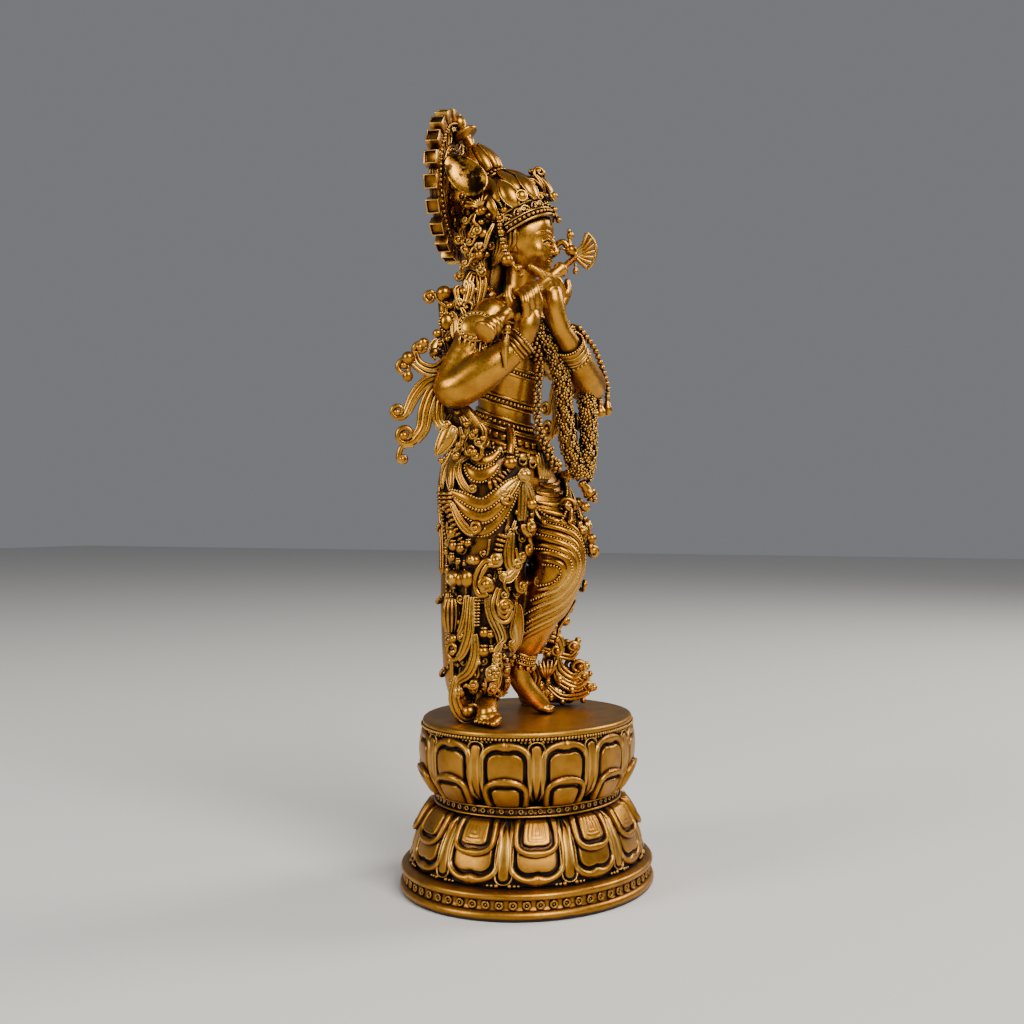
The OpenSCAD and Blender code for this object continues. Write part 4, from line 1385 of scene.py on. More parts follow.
    def drop(self, place: Matrix, r: float, long: float) -> None:
        """Adds a hanging drop with a collar; it hangs along its place's -Z.

        Args:
            place: the upper end.
            r: the drop's greatest radius.
            long: its length.
        """
        profile = [(0, 0), (0.45, 0), (0.5, -0.06), (0.4, -0.12), (0.62, -0.16), (0.66, -0.2), (0.5, -0.25)]
        profile += [(0.42, -0.32), (0.62, -0.45), (0.9, -0.6), (1.0, -0.74), (0.86, -0.88), (0.5, -0.97), (0, -1)]
        self.turned([(a * r, b * long) for a, b in profile[::-1]], place, 14)

    def barrel(self, place: Matrix, r: float, long: float) -> None:
        """Adds a ribbed barrel along its place's Z with fine rings round it.

        Args:
            place: its middle.
            r: its greatest radius.
            long: its length.
        """
        self.ball(place.translation, r * 0.86, (1, 1, long / r / 2), place.to_3x3())
        for way in around(12, r):
            line = []
            for t in (j / 6 for j in range(7)):
                out = way * (0.45 + 0.5 * sin(pi * (0.08 + 0.84 * t)))
                line.append((*(place @ (out + above((t - 0.5) * long * 0.96))), r * 0.19))
            self.strand(line, 3)
        for end in (-1, 1):
            self.hoop_bead(place @ Matrix.Translation((0, 0, end * long * 0.47)), r * 0.5, r * 0.17)
            self.ball(place @ above(end * long * 0.53), r * 0.32, fine=2)

    def horn(self, path: Trail, big: float, small: float) -> None:
        """Adds a horn of stacked rings along a path.

        Args:
            path: places and ways out.
            big: radius at the start.
            small: radius at the end.
        """
        spots = walk([p for p, _ in path], (big + small) * 0.44)
        for k, (place, along) in enumerate(spots):
            r = lerp(big, small, k / max(1, len(spots) - 1))
            self.ball(place, r, (1, 1, 0.42), facing(place, along).to_3x3(), 2)
        self.ball(spots[-1][0] + spots[-1][1] * small, small * 0.8, fine=2)

    def rosette(self, place: Matrix, r: float, petals: int = 8) -> None:
        """Adds a flat flower with a rim, petals and a centre.

        Args:
            place: its middle; +Z is outwards.
            r: its radius.
            petals: how many petals.
        """
        self.ball(place.translation, r * 0.92, (1, 1, 0.25), place.to_3x3(), 2)
        self.hoop_bead(place, r * 0.9, r * 0.13, 24)
        for k in range(petals):
            a = tau * k / petals
            spot = place @ Vector((r * 0.52 * cos(a), r * 0.52 * sin(a), r * 0.2))
            turn = place.to_3x3() @ Matrix.Rotation(a, 3, "Z")
            self.ball(spot, r * 0.24, (1.25, 0.72, 0.6), turn, 2)
        self.ball(place @ above(r * 0.28), r * 0.22, fine=2)

    def hoop(self, path: Sequence[Vector], r: float) -> None:
        """Adds a closed wire."""
        self.strands.append(([Vector((*p[:3], r)) for p in path], True))

    def chain(self, path: Trail, r: float, gap: float | None = None, closed: bool = False) -> None:
        """Threads beads along a path of places and ways out."""
        self.beads([p for p, _ in path], r, gap, closed)


# Body.

RIGHT_ARM = [
    (-13.5, 3.5, 97.0, 4.6), (-18.6, 6.3, 89.5, 4.5), (-22.6, 9.2, 80.4, 4.5), (-23.3, 7.2, 79.2, 4.7),
    (-21.6, 1.6, 83.0, 4.6), (-19.2, -3.2, 86.8, 3.6), (-18.0, -5.8, 89.4, 2.7), (-17.4, -6.6, 91.2, 2.5),
]
LEFT_ARM = [
    (12.0, 1.0, 97.5, 4.6), (14.2, -3.2, 90.5, 4.4), (14.6, -8.8, 83.0, 4.5), (12.8, -10.8, 82.2, 4.7),
    (6.4, -11.2, 85.6, 4.3), (0.4, -11.4, 90.0, 3.1), (-3.4, -11.2, 92.8, 2.5), (-4.8, -10.8, 94.2, 2.4),
]
FLUTE_NEAR = Vector((-30, -2.5, 90.8))
FLUTE_WAY = Vector((38, -11.5, 26.2)).normalized()
FLUTE_LONG = 41.0


@dataclass
class Body:
    """The figure itself: torso, legs, arms and hands."""

    def torso(self) -> Form:
        """Shapes the torso, with the neck and shoulders."""
        form = Form()
        form.ball((-1, 8, 60), 11, (1.12, 0.95, 0.9))
        form.limb([(-1, 7.6, 62, 10), (-1, 6.2, 73, 7.6), (-1.2, 5.4, 80, 8.0), (-1.4, 4.2, 88, 8.6)], 5, 0.88)
        form.ball((-1.5, 3.2, 92.5), 8.6, (1.34, 0.88, 0.82))
        form.ball((-5.6, -0.6, 91.6), 4.2, (1.1, 0.8, 0.8))
        form.ball((3.0, -1.2, 91.6), 4.2, (1.1, 0.8, 0.8))
        for side, x, y in ((-1, -12.6, 3.6), (1, 10.4, 1.6)):
            form.ball((x, y, 96.0), 5.0)
            form.limb([(x, y, 97.0, 4.0), (-3 + side * 3.5, 2.0, 101.0, 3.2)], 5)
        form.limb([(-3, 2.0, 98, 4.6), (-3, 1.0, 104, 3.9), (-3, 0.6, 111, 3.9)], 5)
        form.fuse(0.55, 10)
        return form

    def limbs(self, stations: Sequence[Sequence[float]]) -> Form:
        """Shapes a bare limb."""
        form = Form()
        form.limb(stations, 7)
        form.fuse(0.4, 8)
        return form

    def finger(self, form: Form, points: Sequence[Sequence[float]], r: float) -> None:
        """Adds a finger with swelling joints."""
        shares = [1.0, 0.92, 0.86, 0.66]
        form.limb([(*p, r * shares[min(i, 3)]) for i, p in enumerate(points)], 6)

    def right_hand(self) -> Form:
        """Shapes the right hand, closed on the flute with its last finger raised."""
        form = Form()
        form.limb([(-17.6, -6.4, 90.6, 2.5), (-17.2, -7.2, 93.2, 2.9), (-16.6, -7.6, 95.2, 2.8)], 5)
        for k in range(3):
            pipe = FLUTE_NEAR + FLUTE_WAY * (14.2 + 2.3 * k)
            base = Vector((-18.2, -7.6, 95.2)) + Vector((1.4, -0.5, 0.5)) * k
            mid = pipe + Vector((-1.6, -2.5, -0.2))
            top = pipe + Vector((-0.9, -1.4, 2.2))
            tip = pipe + Vector((0.2, 0.7, 2.3))
            self.finger(form, [base, mid, top, tip], 1.15)
        self.finger(form, [(-18.6, -6.2, 94.6), (-19.8, -5.2, 97.4), (-20.4, -4.2, 100.2), (-19.8, -4.0, 102.6)], 1.1)
        self.finger(form, [(-15.2, -7.2, 94.0), (-13.6, -8.2, 96.6), (-13.2, -8.8, 99.4), (-13.8, -8.6, 101.8)], 1.25)
        form.fuse(0.28, 4)
        return form

    def left_hand(self) -> Form:
        """Shapes the left hand, raised to the flute below the mouth."""
        form = Form()
        form.limb(
            [(-4.6, -10.9, 94.0, 2.4), (-6.2, -10.2, 97.0, 2.6), (-7.0, -9.6, 100.0, 2.9), (-7.0, -9.4, 102.0, 2.7)], 5,
        )
        for k in range(4):
            base = Vector((-8.2, -9.0, 102.0)) + Vector((1.25, -0.7, 0.25)) * k
            mid = base + Vector((-1.7, 0.0, 2.9 - 0.15 * k))
            top = base + Vector((-3.2, 1.2, 5.2 - 0.45 * k))
            tip = base + Vector((-4.3, 2.9, 6.5 - 0.7 * k))
            self.finger(form, [base, mid, top, tip], 0.98)
        self.finger(form, [(-6.0, -10.0, 98.2), (-4.0, -11.2, 100.8), (-2.8, -11.8, 103.6), (-2.6, -11.6, 106.0)], 1.2)
        form.fuse(0.28, 4)
        return form

    def right_leg(self) -> Form:
        """Shapes the standing leg and its turned-out foot."""
        form = Form()
        form.limb([
            (-6.5, 8, 57, 8), (-9, 4.5, 33, 5), (-13.6, 4.2, 16, 3.9), (-15, 4.2, 7.5, 2.8), (-14.4, 4.6, 3.4, 2.9),
        ], 9)
        form.limb([(-14.0, 4.8, 3.0, 2.9), (-17.4, 2.9, 3.7, 2.7), (-20.2, 1.3, 2.7, 2.4)], 5)
        form.ball((-20.6, 0.9, 2.0), 2.5, (1.0, 1.25, 0.7))
        for k in range(5):
            y = -2.0 + 1.36 * k
            r = (1.05, 0.74, 0.7, 0.66, 0.6)[k]
            form.limb([
                (-21.2 + 0.1 * k, y, 1.6, r), (-23.3 + 0.32 * k, y - 0.15, 1.25, r),
                (-24.4 + 0.4 * k, y - 0.2, 1.0, r * 0.82),
            ], 5)
        form.fuse(0.22, 4)
        return form

    def left_leg(self) -> Form:
        """Shapes the crossed leg, standing on its toes."""
        form = Form()
        form.limb([
            (6.5, 7.5, 57, 8), (2.4, -1.2, 47.5, 6.6), (-2, -9.4, 38.6, 5.2), (-2.2, -6.6, 30, 4.4),
            (-2.8, -1.6, 20, 3.9), (-3, 1.2, 12.5, 2.8),
        ], 8)
        form.limb([(-3, 1.4, 12, 2.8), (-2.6, 0.8, 8.4, 2.7), (-0.9, -1.3, 4.8, 2.5), (1.2, -3.0, 2.4, 2.1)], 6)
        form.ball((-3.4, 2.9, 9.8), 2.3)
        for k in range(5):
            x = -0.1 + 1.25 * k
            r = (1.0, 0.72, 0.68, 0.64, 0.58)[k]
            form.limb([
                (x, -2.7 + 0.25 * k, 1.7, r), (x + 0.7, -4.6 + 0.3 * k, 1.1, r),
                (x + 1.0, -5.4 + 0.3 * k, 0.95, r * 0.8),
            ], 5)
        form.fuse(0.22, 4)
        return form

    def build(self) -> Form:
        """Makes the body's pieces and keeps a copy of the torso for laying ornaments on."""
        torso = self.torso()
        kept = Form()
        kept.add(torso)
        torso.finish("figure_torso", "torso", Finish.SKIN)
        self.limbs(RIGHT_ARM).finish("figure_right_arm", "right_arm", Finish.SKIN)
        self.limbs(LEFT_ARM).finish("figure_left_arm", "left_arm", Finish.SKIN)
        self.right_hand().finish("figure_right_hand", "right_hand", Finish.SKIN)
        self.left_hand().finish("figure_left_hand", "left_hand", Finish.SKIN)
        self.right_leg().finish("figure_right_leg", "right_leg", Finish.SKIN)
        self.left_leg().finish("figure_left_leg", "left_leg", Finish.SKIN)
        return kept


# Head.


@dataclass
class Head:
    """A calm, plain face in the usual sculptor's proportions, with ears and hair."""

    half: float = 6.0
    third: float = 4.35
    brow: float = 1.3

    def relief(self, v: Vector) -> float:
        """Gives how far the face's small features stand out of its smooth mass.

        Args:
            v: a point of the face.

        Returns:
            The height, outwards.
        """

        def ridge(d: float, wide: float) -> float:
            """Gives a soft ridge's height at a distance from its middle."""
            return exp(-((d / wide) ** 2))

        def within(t: float, reach: float) -> float:
            """Fades to nothing where t passes its reach."""
            return max(0.0, min(1.0, (reach - abs(t)) / 0.3))

        x, z = abs(v.x), v.z
        base = self.brow - self.third
        mouth, eye_z = base - self.third / 3, self.brow - 1.9
        t = (x - self.half * 0.42) / (self.half * 0.25)
        arch = max(0.0, 1 - t * t) ** 0.8
        upper, lower = eye_z + 0.1 * t + 0.66 * arch, eye_z + 0.1 * t - 0.5 * arch
        high = within(t, 1.25) * (
            0.40 * ridge(z - upper - 0.16, 0.2) - 0.50 * ridge(
                z - upper + 0.22, 0.17,
            ) + 0.26 * ridge(z - lower + 0.14, 0.17)
            - 0.30 * ridge(z - upper - 0.66, 0.18) - 0.20 * ridge(z - lower - 0.16, 0.13)
        )
        high += 0.26 * ridge(z - eye_z, 0.4) * ridge(t, 0.5)
        bend = (x - 2.7) / 2.3
        high += 0.36 * ridge(z - self.brow - 0.75 + 0.75 * bend * bend, 0.26) * within(bend, 1.2)
        side = x / 1.75
        line = mouth + 0.16 * side * side
        high += 0.50 * ridge(z - line - 0.42 + 0.3 * side * side + 0.12 * ridge(x, 0.3), 0.27) * within(side, 1.15)
        high += 0.62 * ridge(z - line + 0.5 - 0.35 * side * side, 0.32) * within(side * 1.2, 1.15)
        high -= 0.52 * ridge(z - line, 0.13) * within(side, 1.25)
        high -= 0.14 * ridge(x, 0.25) * within((z - mouth - 1.05) / 0.5, 1.2)
        return high

    def face(self) -> None:
        """Makes the head and its features."""
        base, chin = self.brow - self.third, self.brow - 2 * self.third
        mouth = base - self.third / 3
        form = Form()
        form.ball((0, 1.0, 1.6), 7.9, (0.88, 1.02, 1.0), fine=4)
        form.ball((0, -1.2, -0.6), 6.4, (self.half / 6.4, 0.95, 1.16), fine=4)
        form.ball((0, -2.3, base - 1.3), 4.4, (0.95, 0.93, 0.95))
        form.ball((0, -5.2, chin + 1.3), 1.7, (1.15, 0.9, 0.85))
        form.ball((0, -3.8, self.brow + 2.2), 4.0, (1.25, 0.86, 0.9))
        form.ball((0, -5.2, mouth + 0.1), 2.0, (1.0, 0.72, 0.8))
        for s in (-1, 1):
            form.ball((s * 2.5, -3.6, base + 0.6), 3.0, (1, 0.86, 1.0))
            form.ball((s * self.half * 0.42, -4.7, self.brow - 1.9), 1.55, (1.1, 0.9, 0.8))
            form.limb([
                (s * 1.2, -5.6, self.brow + 0.2, 0.8), (s * 3.0, -5.3, self.brow + 0.7, 0.8),
                (s * 4.6, -4.0, self.brow + 0.1, 0.7),
            ], 8)
        form.fuse(0.4, 9)
        form.limb([
            (0, -6.2, self.brow + 0.3, 0.75), (0, -7.0, self.brow - 1.6, 0.72), (0, -7.85, base + 0.9, 0.82),
            (0, -8.0, base + 0.45, 0.8),
        ], 8)
        for s in (-1, 1):
            form.ball((s * 0.82, -7.15, base + 0.42), 0.66, (1, 1.1, 0.85))
            form.limb([
                (s * 5.9, 0.9, 0.6, 0.9), (s * 6.5, 1.7, 0.9, 1.0), (s * 6.6, 1.6, -0.9, 0.8),
                (s * 6.2, 1.0, -2.6, 0.85),
            ], 6)
        form.fuse(0.15, 7)
        form.shape(lambda v, n: v + n * self.relief(v) if v.y < -2.0 else v)
        form.finish("figure_head", "head", Finish.SKIN, Place.HEAD)

    def hair(self) -> None:
        """Makes the hair: a cap, a ringed bun behind the neck and loose locks."""
        form = Carving()
        form.ball((0, 2.6, 1.0), 7.6, (0.98, 0.95, 1.0))
        for k in range(26):
            a = radians(-100 + 200 * k / 25)
            x, y = 7.5 * sin(a), 2.2 + 7.2 * cos(a)
            form.strand(
                [
                    (x * 0.55, 2 + (y - 2) * 0.6, 7.6, 0.5), (x, y, 3.2, 0.62), (x * 0.98, y + 0.4, -2.0, 0.6),
                    (x * 0.55, 7.6, -6.2, 0.5),
                ], 5
            )
        out = Carving()
        out.add(form, ON_HEAD)
        out.limb([(-3, 7.6, 114, 4.6), (-3.2, 9.2, 107, 4.2), (-3.4, 9.6, 99, 3.6)], 12)
        for k in range(13):
            turn = radians(-96 + 16 * k)
            lock = []
            for z, r in ((115, 1.1), (110, 1.15), (105, 1.05), (100, 0.9), (96.5 + 1.4 * (k % 3), 0.45)):
                down = 114 - z
                wide = 4.9 - 0.08 * down
                lock.append((-3 + wide * sin(turn), 7.6 + 0.14 * down + wide * cos(turn), z, r))
            out.strand(lock, 6)
        for side in (-1, 1):
            start = Vector((-3 + side * 5.5, 9.0, 112.5))
            for k in range(7):
                r = 2.5 - 0.06 * k * k / 3
                at = start + Vector((side * 0.35 * k, 0.25 * k, -1.05 * k))
                tilt = Matrix(((r, 0, 0), (0, r * 0.9, 0), (0, 0.12, 1)))
                out.hoop([at + tilt @ p for p in around(20, 1.0)], 0.62)
                out.ball(at, r * 0.95, (1, 1, 0.4), fine=2)
            for k in range(7):
                a = radians(-60 + 38 * k)
                root = start + Vector((side * 2.2 + 1.7 * cos(a), 1.6 + 1.7 * sin(a), -6.6))
                sway = 1.2 * sin(k * 1.9)
                way = Vector((side * 0.9, 0.5, 0))
                steps = (
                    (0, 0, 0), (0.5, 1.0, -3), (1.0 + 0.4 * k, 2.4 - sway, -6.5),
                    (0.6 + 0.5 * k, 2.6 + sway, -10.5 - 0.5 * k),
                )
                path = straight([root + Vector((side * x, y, z)) for x, y, z in steps], way)
                out.tendril(path, 0.52, 1.0, 1 if k % 2 else -1, lines=2, turns=0.9)
            self.column(out, side)
        out.finish("figure_hair", "hair")

    def column(self, out: Carving, side: int) -> None:
        """Adds the column of curls and balls that hangs between the halo and the ear.

        Args:
            out: the form that takes it.
            side: which side of the head.
        """
        way = (ON_HEAD.to_3x3() @ Vector((side, -0.15, 0))).normalized()

        def at(back: float, z: float, lift: float = 0.0) -> Vector:
            """Gives a point beside the head from a distance back and a height."""
            return ON_HEAD @ Vector((side * 7.4, 7.0 + back, z)) + way * lift

        curls = (
            (0, 7.4, 1.1), (2.6, 8.0, 0.9), (5.0, 6.6, 1.0), (0.6, 4.6, 1.3), (3.4, 4.4, 1.1), (6.2, 3.4, 0.9),
            (1.4, 1.6, 1.2), (4.4, 1.0, 1.35), (6.6, -0.4, 0.8), (2.4, -1.4, 1.0), (5.2, -2.6, 1.1), (0.8, -3.8, 0.9),
            (3.4, -4.8, 1.2), (6.0, -5.6, 0.8),
        )
        for k, (back, z, r) in enumerate(curls):
            spot = at(back, z, 0.9)
            out.ball(spot, r)
            hand = 1 if k % 2 else -1
            path = straight([spot, at(back + 0.9 * hand, z - 1.3, 1.0), at(back + 0.6 * hand, z - 2.8, 0.8)], way)
            out.tendril(path, 0.5, 0.95, hand * side, lines=1 + k % 2)
        out.limb([(*at(2.0, 9.0, -2.2), 2.4), (*at(3.2, 2.0, -2.4), 3.2), (*at(3.4, -6.0, -2.6), 2.8)], 5)

    def build(self) -> None:
        """Makes the head and the hair."""
        self.face()
        self.hair()


# Crown and halo.


@dataclass
class Crown:
    """The tall crown, leaning back, with its jewels."""

    band_r: float = 9.2
    cap_low: float = 2.8
    cap_high: float = 14.6
    bulb_low: float = 16.0
    bulb_high: float = 24.2

    def cap_r(self, z: float) -> float:
        """Gives the cap's radius at a height."""
        t = (z - self.cap_low) / (self.cap_high - self.cap_low)
        return lerp(self.band_r - 0.5, 4.6, max(0.0, t) ** 2.0) + 0.7 * sin(pi * min(1, max(0, t)))

    def cap_path(self, turn: float, low: float, high: float, out: float) -> Trail:
        """Lays a rising path on the cap.

        Args:
            turn: degrees from the front towards the right.
            low: its lower height.
            high: its upper height.
            out: distance outside the cap.

        Returns:
            Places and ways out.
        """
        path = []
        for k in range(11):
            z = lerp(low, high, k / 10)
            slope = (self.cap_r(z + 0.3) - self.cap_r(z - 0.3)) / 0.6
            way = (clock(turn) - above(slope)).normalized()
            path.append((clock(turn) * self.cap_r(z) + above(z) + way * out, way))
        return path

    def band(self) -> None:
        """Makes the brow band: a line, a bead row and a small scroll frieze."""
        form = Carving()
        r = self.band_r
        form.turned([(r - 1.3, -0.9), (r - 0.35, -0.9), (r - 0.25, 3.4), (r - 1.4, 3.4)], Matrix(), 64)
        form.beads(around(96, r, start=-90), 0.46, 1.22, True)
        for inset, z, wire in ((0.15, -0.9, 0.26), (0.05, 0.85, 0.22), (0.1, 3.3, 0.3)):
            form.hoop(around(96, r - inset, z, -90), wire)
        for k in range(24):
            turn = 15 * k
            place = facing(clock(turn) * (r - 0.05) + above(2.0), clock(turn))
            hand = 1 if k % 2 else -1
            path = [
                (place @ Vector((x * hand, y, 0.15)), place.to_3x3() @ above(1)) for x,
                y in ((-0.9, -0.5), (-0.3, 0.5), (0.5, 0.6))
            ]
            form.tendril(path, 0.24, 0.5, -hand, ball=1.7)
            form.ball(place @ Vector((0, -0.7, 0.3)), 0.36, fine=2)
        form.finish("crown_brow_band", "crown_band", Finish.ORNAMENT, Place.CROWN)

    def cap(self) -> None:
        """Makes the cap: two rows of smooth leaves with filigree between."""
        form = Carving()
        form.turned(
            [(0, self.cap_high + 0.6)] + [(self.cap_r(z) - 0.8, z) for z in (14.6, 13, 11, 9, 7, 5, 3.2)] + [(0, 3.0)],
            Matrix(), 40,
        )
        for k in range(10):
            form.leaf(self.cap_path(36 * k + 18, 6.4, 14.9, 0.2), 1.75, 0.85)
            form.leaf(self.cap_path(36 * k, 3.2, 11.2, 0.5), 2.05, 1.0, rim=0.16)
            path = self.cap_path(36 * k + 18, 3.4, 6.4, 0.2)
            form.ball(path[2][0], 1.05, (1, 1, 0.8), fine=2)
            form.chain(self.cap_path(36 * k + 18, 5.0, 6.6, 0.35), 0.3)
            for hand in (-1, 1):
                side = [(p + n.cross(above(1)) * hand * (0.5 + 0.25 * i), n) for i, (p, n) in enumerate(path[3:8])]
                form.tendril(side, 0.22, 0.45, hand, ball=1.8)
        for turn in (58, -58):
            place = facing(*self.cap_path(turn, 4.4, 5.4, 1.2)[5])
            form.ball(place.translation, 1.25, (1, 1, 0.62), place.to_3x3())
            form.hoop_bead(place, 1.35, 0.2, 20)
        form.finish("crown_leaf_cap", "crown_cap", Finish.ORNAMENT, Place.CROWN)

    def bulb(self) -> None:
        """Makes the ribbed bulb on its bead ring."""
        form = Carving()
        mid = (self.bulb_low + self.bulb_high) / 2
        form.turned([
            (0, self.bulb_high), (2.2, self.bulb_high - 0.4), (3.4, mid), (3.6, self.bulb_low),
            (4.3, self.bulb_low - 0.8), (4.4, self.bulb_low - 1.6), (0, self.bulb_low - 1.8),
        ], Matrix(), 40)
        form.beads(around(60, 4.35, self.bulb_low - 0.5), 0.42, 1.0, True)
        for way in around(9, 1.0):
            path = []
            for j in range(9):
                t = j / 8
                r = 0.9 + 2.9 * sin(pi * (0.30 + 0.62 * t)) ** 0.9
                path.append((way * r + above(lerp(self.bulb_low + 0.2, self.bulb_high + 0.1, t)), way))
            form.sweep(path, lambda t: 0.5 + 0.85 * sin(pi * (0.25 + 0.68 * t)), lambda t: 0.75, 10)
        form.finish("crown_ribbed_bulb", "crown_bulb", Finish.ORNAMENT, Place.CROWN)

    def finial(self) -> None:
        """Makes the finial: neck, thin disc and ball."""
        z = self.bulb_high
        profile = [
            (0, z - 0.6), (
                1.9, z - 0.2,
            ), (1.3, z + 0.5), (1.1, z + 1.6), (1.5, z + 2.3), (1.2, z + 3.1), (1.3, z + 4.1),
        ]
        profile += [
            (3.2, z + 4.3), (3.45, z + 4.8), (3.2, z + 5.2), (1.2, z + 5.4), (1.0, z + 6.0), (1.7, z + 6.7),
            (2.05, z + 7.9), (1.75, z + 9.1), (0.9, z + 9.8), (0, z + 10.0),
        ]
        form = Carving()
        form.turned(profile[::-1], Matrix(), 36)
        form.finish("crown_top_finial", "crown_finial", Finish.SKIN, Place.CROWN)

    def crest(self) -> None:
        """Makes the cluster of scrolls and the jewels at the crown's front."""
        form = Carving()
        for s in (-1, 1):
            out = Vector((s * 0.75, -0.65, 0.1)).normalized()
            base = Vector((s * 0.7, -9.6, 4.0))
            form.tendril(straight(
                moves(base, (0, 0, 0), (1.0, -0.9, 2.6), (1.3, -0.6, 5.6), hand=s), out,
            ), 0.5, 1.25, s, lines=2)
            form.tendril(
                straight(moves(base, (0.6, 0, 1), (1.9, -0.5, 2.2), (2.2, 0.2, 4.2), hand=s), out), 0.42, 1.0, -s,
            )
            form.tendril(
                straight(moves(base, (0, 0, 0), (1.6, -0.4, -0.4), (2.8, 0.6, 0.6), hand=s), out), 0.42, 0.9, -s,
            )
            form.leaf(
                straight(moves(base, (2.2, 0.8, 1.6), (3.0, 1.4, 4.0), (2.7, 2.2, 6.2), hand=s), out), 0.9, 0.45, 0.15,
            )
        centre = -9.4
        form.leaf(straight([
            (0, centre - 0.8, 2.4), (0, centre - 1.8, 5.0), (0, centre - 1.4, 8.4), (0, centre + 0.6, 10.6),
        ], (0, -1, 0.1)), 1.5, 0.8, 0.2, 0.2)
        form.ball((0, centre - 1.9, 3.2), 1.0)
        form.hoop_bead(facing((0, centre - 1.5, 3.2), (0, -1, 0)), 1.2, 0.24, 18)
        form.ball((0, centre - 0.2, 11.4), 0.8)
        form.drop(Matrix.Translation((0, centre, -0.6)), 0.75, 2.8)
        form.ball((0, centre - 0.3, 0.2), 0.8)
        for s in (-1, 1):
            form.ball((s * 1.5, centre + 0.35, -1.2), 0.42)
        form.finish("crown_front_crest", "crown_crest", Finish.ORNAMENT, Place.CROWN)

    def side_discs(self) -> None:
        """Makes the two dished, egg-shaped discs with a shell leaf under each."""
        form = Carving()
        for s in (-1, 1):
            way = Vector((s * 0.93, -0.28, 0.22)).normalized()
            place = facing((s * 11.2, 12.2, 14.8), way, (0, 0.72, 0.7))
            dish = Carving()
            profile = [
                (0, -0.7), (2.6, -0.7), (3.9, 0.1), (4.3, 0.75), (4.2, 1.0), (3.9, 0.95), (3.3, 0.45), (2.0, 0.1),
                (0, 0.0),
            ]
            dish.turned(profile, Matrix(), 48)
            dish.shape(lambda v, n: Vector((v.x * (1 - 0.035 * v.y), v.y * 1.47, v.z)))
            form.add(dish, place)
            dish.bm.free()
            shell = facing((s * 9.9, 9.4, 8.2), way, (0, 0.5, 0.85))
            normal = shell.to_3x3() @ above(1)
            for k in range(7):
                a = radians(-54 + 18 * k)
                tip = Vector((4.2 * sin(a), 4.4 * cos(a) - 1.6, 0.2))
                path = [
                    (shell @ (tip * t + Vector((0, -1.6 * (1 - t), 0.9 * sin(pi * t)))), normal)
                    for t in (0.05, 0.3, 0.55, 0.8, 1.0)
                ]
                form.sweep(path, lambda t: 0.2 + 0.42 * t, lambda t: 0.42, 8)
            form.ball(shell @ Vector((0, -2.4, 0.4)), 1.15)
            form.ball(shell @ Vector((-s * 0.6, -4.2, 0.3)), 0.95)
            form.tendril(straight([
                shell @ Vector((-1.8, -2.2, 0)), shell @ Vector((-3.0, -3.6, 0)), shell @ Vector((-2.6, -5.6, 0)),
            ], normal), 0.42, 0.9, s)
            form.tendril(straight([
                shell @ Vector((1.8, -2.2, 0)), shell @ Vector((3.2, -3.4, 0)), shell @ Vector((3.0, -5.2, 0)),
            ], normal), 0.42, 0.9, -s)
        form.finish("crown_egg_discs", "crown_side_discs", Finish.PATCHED, Place.HEAD)

    def pendants(self) -> None:
        """Makes the bead strings and drops that hang by the ears."""
        form = Carving()
        for s in (-1, 1):
            top = Vector((s * 9.2, 4.2, 4.6))
            path = smooth_path([
                top, top + Vector((s * 0.8, -0.6, -3)), top + Vector((s * 1.0, -1.2, -6)),
                top + Vector((s * 1.1, -2.2, -9)),
            ], 6)
            for k, (at, _) in enumerate(walk(path, 1.75)):
                form.ball(at, 0.78 if k % 2 else 0.95, (1, 1, 0.85), fine=2)
                form.hoop_bead(Matrix.Translation(at - above(0.86)), 0.5, 0.22, 10)
            end = path[-1]
            form.ball(end + Vector((0, -0.1, -1.4)), 1.5)
            form.drop(facing(end + Vector((s * 0.1, -0.9, -1.9)), Vector((0, 0.75, 0.65)), (0, 1, 0)), 1.0, 3.4)
            form.ball(end + Vector((s * 0.2, -3.6, -5.2)), 0.6, fine=2)
            side = Vector((s, 0, 0))
            form.tendril(
                straight(moves(top, (0.6, 1.2, -1.4), (1.4, 2.2, -4), (1.0, 3.4, -7.2), hand=s), side), 0.45, 1.1, s,
                lines=2,
            )
            for k in range(5):
                at = top + Vector((s * (0.9 + 0.3 * sin(k * 2.0)), 4.2 + 0.5 * cos(k * 1.7), 1.5 - 2.6 * k))
                form.ball(at, (1.2, 0.85, 1.3, 0.9, 1.15)[k], fine=2)
                form.tendril(
                    straight(moves(at, (0, 0.4, 0), (0.4, 1.7, -0.8), (0.2, 2.6, -2.2), hand=s), side), 0.36, 0.75,
                    -s if k % 2 else s
                )
        form.finish("ear_bead_pendants", "ear_pendants", place=Place.HEAD)

    def build(self) -> None:
        """Makes every piece of the crown."""
        self.band()
        self.cap()
        self.bulb()
        self.finial()
        self.crest()
        self.side_discs()
        self.pendants()


